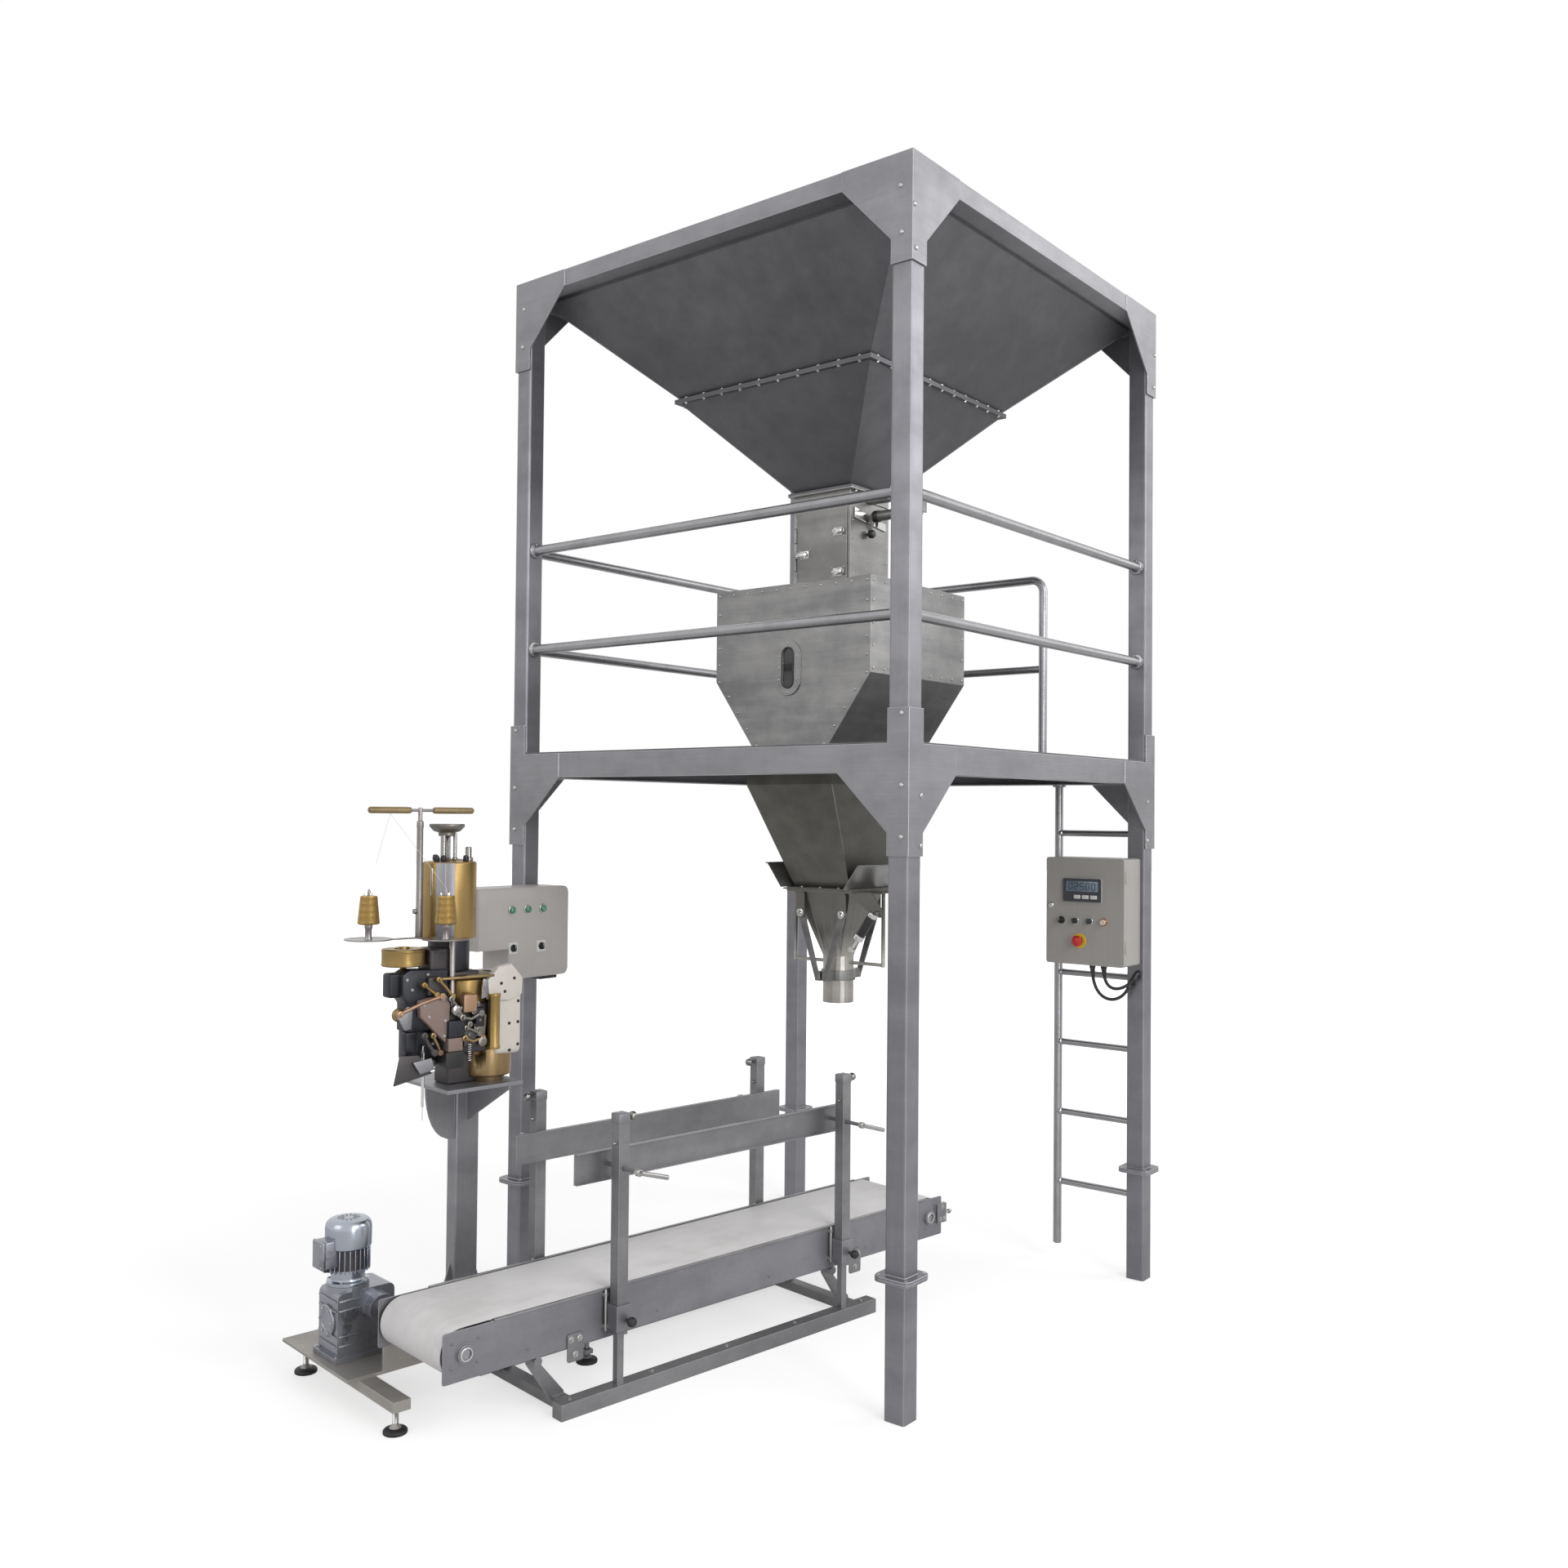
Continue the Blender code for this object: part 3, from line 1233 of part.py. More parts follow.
def build_spout():
    """Make the bag spout with its hangers and clamp cylinder, the two jaws and the cylinder rod."""
    top = OUTLET_Z - LIP_PLATE - GAP
    under = top - LIP_PLATE
    lip = OUTLET_LIP
    count = SPOUT_SIDES
    outer_x = OUTLET_X + lip
    outer_y = OUTLET_Y + lip
    bore = SPOUT_RADIUS - SPOUT_WALL
    spout = loft(
        "bag_spout",
        [
            square_ring(outer_x, outer_y, top, count),
            square_ring(outer_x, outer_y, under, count),
            square_ring(OUTLET_X, OUTLET_Y, under, count),
            round_ring(SPOUT_RADIUS, SPOUT_TUBE_TOP, count),
            round_ring(SPOUT_RADIUS, SPOUT_BOTTOM, count),
            round_ring(bore, SPOUT_BOTTOM, count),
            round_ring(bore, SPOUT_TUBE_TOP + EMBED, count),
            square_ring(OUTLET_X - SHEET, OUTLET_Y - SHEET, under, count),
            square_ring(OUTLET_X - SHEET, OUTLET_Y - SHEET, top, count),
        ],
    )
    for side in (-1, 1):
        ys = sorted((side * (outer_y - EMBED), side * EAR_Y))
        ear = box(f"spout_ear{side}", (-EAR_HALF_X, EAR_HALF_X), ys, (under + EMBED / 2, top - EMBED / 2))
        hanger = rod(
            f"spout_hanger{side}",
            (0, side * HANGER_Y, under + EMBED),
            (0, side * HANGER_Y, CROSSBAR_Z - HANGER_RADIUS),
            HANGER_RADIUS,
            segments=8,
        )
        bar = rod(
            f"spout_crossbar{side}",
            (0, side * (SPOUT_RADIUS - SPOUT_WALL / 3), CROSSBAR_Z),
            (0, side * HANGER_Y, CROSSBAR_Z),
            CROSSBAR_RADIUS,
            segments=8,
        )
        fuse(spout, ear, hanger, bar)
    lug_in = JAW_PLANE_X + JAW_PLATE / 2 + GAP
    pin_bore = JAW_PIN_RADIUS + TURN_CLEARANCE
    for side_x in (-1, 1):
        for side_y in (-1, 1):
            xs = sorted((side_x * lug_in, side_x * (lug_in + JAW_PLATE)))
            y = side_y * JAW_PIVOT_Y
            reach = JAW_LUG_REACH
            lug = box(
                f"jaw_lug_{side_x}_{side_y}",
                xs,
                (y - reach, y + reach),
                (JAW_PIVOT_Z - reach, under + EMBED),
                ROOT,
                JAW_LUG_RADIUS,
                0,
                2,
            )
            fuse(spout, lug)
    for side_y in (-1, 1):
        for side_x in (-1, 1):
            y = side_y * JAW_PIVOT_Y
            start = side_x * (lug_in - EMBED)
            end = side_x * (lug_in + JAW_PLATE + EMBED)
            cut(
                spout,
                bore_tool(
                    f"jaw_bore_{side_x}_{side_y}",
                    (start, y, JAW_PIVOT_Z),
                    (end, y, JAW_PIVOT_Z),
                    pin_bore,
                ),
            )
    lean = Vector((0, math.sin(CYLINDER_ANGLE), -math.cos(CYLINDER_ANGLE)))
    head = Vector((-CYLINDER_X, CYLINDER_TOP_Y, CYLINDER_TOP_Z))
    tail = head + lean * CYLINDER_LENGTH
    bracket = [
        (-outer_y + EMBED, top - EMBED), (-EAR_Y, top - EMBED),
        (CYLINDER_TOP_Y - CYLINDER_EAR, CYLINDER_TOP_Z + CYLINDER_EAR),
        (CYLINDER_TOP_Y - CYLINDER_EAR, CYLINDER_TOP_Z - CYLINDER_EAR),
        (CYLINDER_TOP_Y + CYLINDER_EAR, CYLINDER_TOP_Z - CYLINDER_EAR),
        (-outer_y + EMBED, under - CYLINDER_EAR),
    ]
    plate_x = -lug_in - JAW_PLATE / 2
    fuse(spout, plate("cylinder_bracket", bracket, "YZ", plate_x, JAW_PLATE))
    joint = box(
        "bracket_foot",
        (plate_x - JAW_PLATE * 0.4, -EAR_HALF_X + EMBED),
        (-outer_y - JAW_BAR, -outer_y + EMBED * 1.5),
        (under + EMBED, top - EMBED * 1.5),
    )
    barrel = rod("clamp_barrel", head, tail, CYLINDER_RADIUS, segments=14)
    pivot = rod(
        "clamp_pivot",
        (-CYLINDER_X, CYLINDER_TOP_Y, CYLINDER_TOP_Z),
        (plate_x, CYLINDER_TOP_Y, CYLINDER_TOP_Z),
        CYLINDER_PIVOT_RADIUS,
        segments=12,
    )
    shaft_bore = bore_tool(
        "clamp_bore",
        head + lean * CYLINDER_HEAD,
        tail + lean * EMBED,
        CYLINDER_ROD_RADIUS + TURN_CLEARANCE,
        segments=14,
    )
    finish(cut(fuse(spout, joint, barrel, pivot), shaft_bore), BRIGHT)

    start = head + lean * (CYLINDER_HEAD + CYLINDER_STROKE)
    end = tail + lean * CYLINDER_ROD_OUT
    ram = rod("clamp_rod", start, end, CYLINDER_ROD_RADIUS, segments=12)
    side = Vector((CYLINDER_EYE_HALF, 0, 0))
    eye = rod("clamp_eye", end - side, end + side, CYLINDER_EYE_RADIUS)
    finish(fuse(ram, eye), BRIGHT, tuple(tail))

    inner = SPOUT_RADIUS + JAW_BAND_CLEARANCE
    outer = inner + JAW_BAND_PLATE
    middle_z = (JAW_BAND_TOP + JAW_BAND_BOTTOM) / 2
    for name, side in (("clamp_jaw_left", 1), ("clamp_jaw_right", -1)):
        band = []
        steps = JAW_BAND_STEPS
        limit = math.asin(JAW_MEETING_GAP / inner)
        for index in range(steps + 1):
            angle = limit + (math.pi - 2 * limit) * index / steps
            band.append((outer * math.cos(angle), side * outer * math.sin(angle)))
        for index in range(steps + 1):
            angle = math.pi - limit - (math.pi - 2 * limit) * index / steps
            band.append((inner * math.cos(angle), side * inner * math.sin(angle)))
        jaw = plate(name, band, "XY", middle_z, JAW_BAND_TOP - JAW_BAND_BOTTOM)
        pivot_y = side * JAW_PIVOT_Y
        toe_y = side * (JAW_MEETING_GAP + JAW_BAR / 2)
        for face in (-1, 1):
            x = face * JAW_PLANE_X
            run = Vector((toe_y - pivot_y, JAW_BAND_BOTTOM - JAW_PIVOT_Z))
            across = Vector((-run.y, run.x)).normalized() * JAW_BAR / 2
            outline = [
                (pivot_y + across.x, JAW_PIVOT_Z + across.y),
                (toe_y + across.x * 0.8, JAW_BAND_BOTTOM + JAW_TOE_RISE),
                (toe_y - across.x * 0.8, JAW_BAND_BOTTOM + JAW_TOE_RISE),
                (pivot_y - across.x, JAW_PIVOT_Z - across.y),
            ]
            arm = plate(f"{name}_arm{face}", outline, "YZ", x, JAW_PLATE)
            boss = rod(
                f"{name}_boss{face}",
                (x - JAW_PLATE * 0.4, pivot_y, JAW_PIVOT_Z),
                (x + JAW_PLATE * 0.4, pivot_y, JAW_PIVOT_Z),
                JAW_BOSS_RADIUS,
                segments=16,
            )
            pin = rod(
                f"{name}_pin{face}",
                (x, pivot_y, JAW_PIVOT_Z),
                (face * (lug_in + JAW_PLATE + JAW_PLATE / 2), pivot_y, JAW_PIVOT_Z),
                JAW_PIN_RADIUS,
                segments=12,
            )
            xs = sorted((face * (inner + JAW_BAND_PLATE * 0.4), face * (JAW_PLANE_X + JAW_PLATE * 0.3)))
            ys = sorted((side * (JAW_MEETING_GAP + EMBED), side * JAW_BAR))
            block = box(f"{name}_toe{face}", xs, ys, (JAW_BAND_BOTTOM + EMBED, JAW_BAND_TOP - EMBED))
            fuse(jaw, block, arm, boss, pin)
        finish(jaw, BRIGHT, (0, pivot_y, JAW_PIVOT_Z))


def build_panel():
    """Make the control enclosure, its door with the display and controls, and the two cables."""
    back = INNER_X - GAP
    front = back - PANEL_DEPTH
    right = -INNER_Y - POST / 2 - PANEL_OVERHANG
    left = right + PANEL_WIDTH
    low = PANEL_BOTTOM
    high = low + PANEL_HEIGHT
    wall = PANEL_WALL
    shell = box("control_enclosure", (front, back), (right, left), (low, high), ROOT, PANEL_RADIUS, 0)
    hollow = box(
        "enclosure_hollow",
        (front - wall, back - wall),
        (right + wall, left - wall),
        (low + wall, high - wall),
    )
    cut(shell, hollow)
    stile_face = HALF_X - STILE_RADIUS - GAP
    stile_y = -INNER_Y + LADDER_WIDTH
    for label, z in (("low", low + PANEL_RAIL_INSET), ("high", high - PANEL_RAIL_INSET - PANEL_RAIL)):
        strap = box(
            f"enclosure_strap_{label}",
            (back - wall / 2, stile_face),
            (-INNER_Y + RAIL_FLANGE + GAP * 4, stile_y + STILE_RADIUS),
            (z, z + PANEL_RAIL),
        )
        fuse(shell, strap)
    gland_x = (front + back) / 2
    starts = (left - GLAND_FIRST, left - GLAND_FIRST - GLAND_STEP)
    for index, y in enumerate(starts):
        gland = rod(
            f"gland_{index}", (gland_x, y, low + wall / 2), (gland_x, y, low - GLAND_LENGTH), GLAND_RADIUS
        )
        fuse(shell, gland)
    finish(shell, BEIGE)

    lid_back = front - GAP
    lid_front = lid_back - PANEL_DOOR
    door = box("control_door", (lid_front, lid_back), (right, left), (low, high), ROOT, PANEL_RADIUS, 0)
    recess = box(
        "door_recess",
        (lid_front + wall, lid_back + wall),
        (right + 3 * wall, left - 3 * wall),
        (low + 3 * wall, high - 3 * wall),
    )
    cut(door, recess)
    hinge = (lid_back, right, (low + high) / 2)
    middle = (left + right) / 2 + DISPLAY_SHIFT
    display_z = low + DISPLAY_RISE
    unit_face = lid_front - GAP
    display = box(
        "display_unit",
        (unit_face - DISPLAY_DEPTH, unit_face),
        (middle - DISPLAY_WIDTH / 2, middle + DISPLAY_WIDTH / 2),
        (display_z - DISPLAY_HEIGHT / 2, display_z + DISPLAY_HEIGHT / 2),
        ROOT,
        DISPLAY_RADIUS,
        0,
        2,
    )
    screen = box(
        "display_screen",
        (unit_face - 2 * DISPLAY_DEPTH, unit_face - DISPLAY_DEPTH + DISPLAY_SCREEN_DEPTH),
        (middle - DISPLAY_WIDTH * 0.44, middle + DISPLAY_WIDTH * 0.44),
        (display_z - DISPLAY_HEIGHT * 0.08, display_z + DISPLAY_HEIGHT * 0.40),
    )
    finish(cut(display, screen), DARK)
    bore = BUTTON_STEM + TURN_CLEARANCE
    row_z = low + BUTTON_ROW
    spots = [left - BUTTON_FIRST - BUTTON_STEP * index for index in range(4)]
    inside = lid_front + wall
    for index, y in enumerate(spots):
        start = (lid_front - wall, y, row_z)
        cut(door, bore_tool(f"button_hole_{index}", start, (inside + wall, y, row_z), bore))
    estop_y = left - ESTOP_SHIFT
    estop_z = low + ESTOP_RISE
    start = (lid_front - wall, estop_y, estop_z)
    cut(door, bore_tool("estop_hole", start, (inside + wall, estop_y, estop_z), bore))
    finish(door, BEIGE, hinge)
    stem = PANEL_DOOR - wall - EMBED
    looks = (("selector_knob", DARK), ("start_button", BRIGHT), ("stop_button", DULL), ("lamp_button", IVORY))
    for (name, look), y in zip(looks, spots):
        lift = GAP if name == "selector_knob" else BUTTON_TRAVEL
        crown = BUTTON_LENGTH + lift
        profile = [
            (0, crown), (BUTTON_RADIUS * 0.8, crown), (BUTTON_RADIUS, BUTTON_LENGTH * 0.7 + lift),
            (BUTTON_RADIUS, lift), (BUTTON_STEM, lift), (BUTTON_STEM, -stem), (0, -stem),
        ]
        knob = lathe(name, profile, (lid_front, y, row_z), (-1, 0, 0), steps=12)
        if name == "selector_knob":
            grip = box(
                "selector_grip",
                (lid_front - BUTTON_LENGTH - GRIP_HEIGHT, lid_front - BUTTON_LENGTH * 0.8),
                (y - BUTTON_RADIUS * 0.32, y + BUTTON_RADIUS * 0.32),
                (row_z - BUTTON_RADIUS * 0.8, row_z + BUTTON_RADIUS * 0.8),
            )
            fuse(knob, grip)
        finish(knob, look)
    crown = ESTOP_HEIGHT
    neck = ESTOP_RADIUS * 0.6
    profile = [
        (0, crown), (ESTOP_RADIUS * 0.7, crown * 0.97), (ESTOP_RADIUS, crown * 0.80),
        (ESTOP_RADIUS, crown * 0.56), (neck, crown * 0.47), (neck, ESTOP_TRAVEL),
        (BUTTON_STEM, ESTOP_TRAVEL), (BUTTON_STEM, -stem), (0, -stem),
    ]
    finish(lathe("estop_button", profile, (lid_front, estop_y, estop_z), (-1, 0, 0), steps=16), RED)

    ends = ((-INNER_Y - POST * 0.30, low - 0.080), (-INNER_Y - POST * 0.62, low - 0.045))
    for index, (y, (end_y, end_z)) in enumerate(zip(starts, ends)):
        start = Vector((gland_x, y, low - GLAND_LENGTH - GAP))
        end = Vector((INNER_X - GAP, end_y, end_z))
        bend = end - Vector((CABLE_LEAD, 0, 0))
        first = start - Vector((0, 0, CABLE_DROP - CABLE_NEST * index))
        second = bend + Vector((-CABLE_LEAD, CABLE_LEAD, CABLE_NEST * index - CABLE_DROP * 0.6))
        points = []
        for step in range(CABLE_STEPS + 1):
            t = step / CABLE_STEPS
            back_t = 1 - t
            near_half = start * back_t ** 3 + first * (3 * back_t ** 2 * t)
            far_half = second * (3 * back_t * t ** 2) + bend * t ** 3
            points.append(tuple(near_half + far_half))
        points.append(tuple(end))
        finish(sweep(f"control_cable_{'ab'[index]}", points, CABLE_RADIUS, ROOT, 2), DARK)


def foot_profile(top):
    """List the outline of a levelling foot, from its stem's top down."""
    return [
        (0, top), (FOOT_STEM_RADIUS, top), (FOOT_STEM_RADIUS, FOOT_PAD + FOOT_NECK),
        (FOOT_PAD_RADIUS * 0.55, FOOT_PAD), (FOOT_PAD_RADIUS, FOOT_PAD * 0.5), (FOOT_PAD_RADIUS, 0), (0, 0),
    ]


def loop_outline(radius):
    """List the outline that a belt follows round the two rollers."""
    points = []
    for index in range(ARC_STEPS + 1):
        angle = math.pi / 2 + math.pi * index / ARC_STEPS
        points.append((DRIVE_X + radius * math.cos(angle), ROLLER_Z + radius * math.sin(angle)))
    for index in range(ARC_STEPS + 1):
        angle = -math.pi / 2 + math.pi * index / ARC_STEPS
        points.append((TAIL_X + radius * math.cos(angle), ROLLER_Z + radius * math.sin(angle)))
    return points


def build_conveyor():
    """Make the conveyor frame, its rollers and belt."""
    inner = LINE_HALF - LINE_PANEL
    run = (LINE_LEFT, LINE_RIGHT)
    rise = (LINE_BOTTOM, LINE_TOP)
    frame = box("conveyor_frame", run, (-LINE_HALF, -inner), rise, LINE, LINE_CORNER, 1, 2)
    fuse(frame, box("far_panel", run, (inner, LINE_HALF), rise, LINE, LINE_CORNER, 1, 2))
    bed_top = ROLLER_Z + BELT_INNER - GAP
    reach = inner + LINE_PANEL / 2
    clear = BELT_OUTER + BED_END
    bed_low = bed_top - BED_PLATE
    bed = box("slider_bed", (DRIVE_X + clear, TAIL_X - clear), (-reach, reach), (bed_low, bed_top), LINE)
    fuse(frame, bed)
    spacing = (TAIL_X - DRIVE_X) / (MEMBER_COUNT + 1)
    for index in range(MEMBER_COUNT):
        x = DRIVE_X + spacing * (index + 1)
        member = box(
            f"cross_member_{index}",
            (x - MEMBER_HALF, x + MEMBER_HALF),
            (-reach, reach),
            (ROLLER_Z - MEMBER_LOW, ROLLER_Z + MEMBER_HALF),
            LINE,
        )
        fuse(frame, member)
    for side in (-1, 1):
        for x in (DRIVE_X, TAIL_X):
            boss = rod(
                f"bearing_{side}_{x:.2f}",
                (x, side * (LINE_HALF - EMBED), ROLLER_Z),
                (x, side * (LINE_HALF + BEARING_PLATE), ROLLER_Z),
                BEARING_RADIUS,
                LINE,
                12,
            )
            fuse(frame, boss)
        take_up = box(
            f"take_up{side}",
            (LINE_RIGHT - TAKE_UP_LEFT, LINE_RIGHT + TAKE_UP_RIGHT),
            sorted((side * (LINE_HALF - EMBED), side * (LINE_HALF + TAKE_UP_PLATE))),
            (ROLLER_Z - TAKE_UP_LOW, ROLLER_Z + TAKE_UP_HIGH),
            LINE,
        )
        fuse(frame, take_up)
        half = GUIDE_POST / 2 + SLEEVE_WALL
        for x in (GUIDE_POST_XA, GUIDE_POST_XB):
            sleeve = box(
                f"sleeve_{side}_{x:.2f}",
                (x - half, x + half),
                sorted((side * (LINE_HALF - EMBED), side * (BASE_Y + half))),
                (SLEEVE_BOTTOM, SLEEVE_TOP),
                LINE,
            )
            fuse(frame, sleeve)
    for side in (-1, 1):
        for x in (DRIVE_X, TAIL_X):
            hole = bore_tool(
                f"bearing_bore_{side}_{x:.2f}",
                (x, side * (inner - EMBED), ROLLER_Z),
                (x, side * (LINE_HALF + 2 * BEARING_PLATE), ROLLER_Z),
                SHAFT_RADIUS + TURN_CLEARANCE,
                LINE,
                12,
            )
            cut(frame, hole)
        half = GUIDE_POST / 2 + GAP
        for x in (GUIDE_POST_XA, GUIDE_POST_XB):
            y = side * BASE_Y
            socket = box(
                f"socket_{side}_{x:.2f}",
                (x - half, x + half),
                (y - half, y + half),
                (SLEEVE_BOTTOM - EMBED, SLEEVE_TOP + EMBED),
                LINE,
            )
            cut(frame, socket)
    finish(frame, STEEL)

    hollow = loop_outline(BELT_INNER)
    belt = plate("conveyor_belt", loop_outline(BELT_OUTER), "XZ", 0.0, 2 * BELT_HALF, LINE, [hollow])
    finish(belt, IVORY)
    face = BELT_HALF + ROLLER_MARGIN
    near_end = -LINE_HALF - SHAFT_END
    gear_end = GEARBOX_NEAR + SHAFT_DEPTH
    for name, x, far_end in (("drive_roller", DRIVE_X, gear_end), ("tail_roller", TAIL_X, -near_end)):
        profile = [
            (0, far_end), (SHAFT_RADIUS, far_end), (SHAFT_RADIUS, face), (ROLLER_RADIUS, face),
            (ROLLER_RADIUS, -face), (SHAFT_RADIUS, -face), (SHAFT_RADIUS, near_end), (0, near_end),
        ]
        finish(lathe(name, profile, (x, 0, ROLLER_Z), (0, 1, 0), LINE, 20), BRIGHT)


def build_base():
    """Make the floor frame with its lifting arms and guide posts, and the two guide rails."""
    half = BASE_RAIL / 2
    run = (BASE_LEFT, BASE_RIGHT)
    base = box("conveyor_base", run, (-BASE_Y - half, -BASE_Y + half), (0, BASE_RAIL), LINE)
    fuse(base, box("far_rail", run, (BASE_Y - half, BASE_Y + half), (0, BASE_RAIL), LINE))
    wall = CHANNEL_WALL
    for side in (-1, 1):
        ys = sorted((side * (BASE_Y - half - EMBED), side * (BASE_Y + half - wall)))
        span = (BASE_LEFT + wall, BASE_RIGHT - wall)
        cut(base, box(f"rail_channel{side}", span, ys, (wall, BASE_RAIL - wall), LINE))
    tube_z = LINE_BOTTOM - GAP - ARM_TUBE_RADIUS
    for label, foot_x in (("left", BASE_LEFT + ARM_FOOT_INSET), ("right", BASE_RIGHT - ARM_FOOT_INSET)):
        cross = box(
            f"cross_bar_{label}",
            (foot_x - CROSS_BAR_HALF, foot_x + CROSS_BAR_HALF),
            (-BASE_Y - half + wall / 2, BASE_Y + half - wall / 2),
            (wall / 2, BASE_RAIL * CROSS_BAR_SHARE),
            LINE,
        )
        head_x = foot_x - ARM_RUN
        tube = rod(
            f"lift_tube_{label}",
            (head_x, -LINE_HALF, tube_z),
            (head_x, LINE_HALF, tube_z),
            ARM_TUBE_RADIUS,
            LINE,
            14,
        )
        fuse(base, cross, tube)
        for side in (-1, 1):
            y = side * ARM_Y
            arm = [
                (foot_x - ARM_FOOT_HALF, ARM_FOOT_LOW), (foot_x + ARM_FOOT_HALF, ARM_FOOT_LOW),
                (foot_x + ARM_FOOT_HALF, ARM_FOOT_HIGH), (head_x + ARM_HEAD_HALF, tube_z + EMBED),
                (head_x - ARM_HEAD_HALF, tube_z + EMBED), (head_x - ARM_HEAD_HALF, tube_z - ARM_FOOT_HALF),
            ]
            fuse(base, plate(f"lift_arm_{label}{side}", arm, "XZ", y, ARM_PLATE, LINE))
    for side in (-1, 1):
        y = side * BASE_Y
        stub = GUIDE_STUB / 2
        wide = GUIDE_POST / 2
        for x in (GUIDE_POST_XA, GUIDE_POST_XB):
            lower = box(
                f"guide_stub_{side}_{x:.2f}",
                (x - stub, x + stub),
                (y - stub, y + stub),
                (BASE_RAIL - wall / 2, GUIDE_POST_BOTTOM + EMBED),
                LINE,
            )
            upper = box(
                f"guide_post_{side}_{x:.2f}",
                (x - wide, x + wide),
                (y - wide, y + wide),
                (GUIDE_POST_BOTTOM, GUIDE_POST_TOP),
                LINE,
            )
            fuse(base, lower, upper)
    foot_x = GUIDE_POST_XA + INNER_FOOT_SHIFT
    foot_y = INNER_FOOT_Y
    arm_low = FOOT_PAD + FOOT_NECK + EMBED
    foot_arm = box(
        "inner_foot_arm",
        (foot_x - INNER_FOOT_ARM, foot_x + INNER_FOOT_ARM),
        (foot_y - INNER_FOOT_ARM, BASE_Y),
        (arm_low, arm_low + INNER_FOOT_ARM),
        LINE,
    )
    foot = lathe("inner_foot", foot_profile(INNER_FOOT_TOP), (foot_x, foot_y, 0), (0, 0, 1), LINE, 12)
    fuse(base, foot, foot_arm)
    for side in (-1, 1):
        for x in (GUIDE_POST_XA, GUIDE_POST_XB):
            y = side * BASE_Y
            hole = bore_tool(
                f"guide_bore_{side}_{x:.2f}",
                (x, y - GUIDE_POST, GUIDE_ROD_Z),
                (x, y + GUIDE_POST, GUIDE_ROD_Z),
                GUIDE_ROD_RADIUS + GAP,
                LINE,
                10,
            )
            cut(base, hole)
    finish(base, STEEL)

    for name, side in (("guide_rail_front", -1), ("guide_rail_rear", 1)):
        y = side * GUIDE_Y
        back = y + side * GUIDE_PLATE
        web = box(name, (GUIDE_LEFT, GUIDE_RIGHT), sorted((y, back)), (GUIDE_BOTTOM, GUIDE_TOP), LINE)
        for label, z in (("low", GUIDE_BOTTOM), ("high", GUIDE_TOP - GUIDE_PLATE)):
            ys = sorted((y + side * GUIDE_PLATE / 2, back + side * GUIDE_LIP))
            span = (GUIDE_LEFT + EMBED, GUIDE_RIGHT - EMBED)
            fuse(web, box(f"{name}_{label}", span, ys, (z + GAP, z + GUIDE_PLATE - GAP), LINE))
        for x in (GUIDE_POST_XA, GUIDE_POST_XB):
            bar = rod(
                f"{name}_rod_{x:.2f}",
                (x, y + side * GUIDE_PLATE / 2, GUIDE_ROD_Z),
                (x, side * GUIDE_ROD_END, GUIDE_ROD_Z),
                GUIDE_ROD_RADIUS,
                LINE,
                10,
            )
            fuse(web, bar)
        finish(web, STEEL, ((GUIDE_LEFT + GUIDE_RIGHT) / 2, y, GUIDE_ROD_Z))


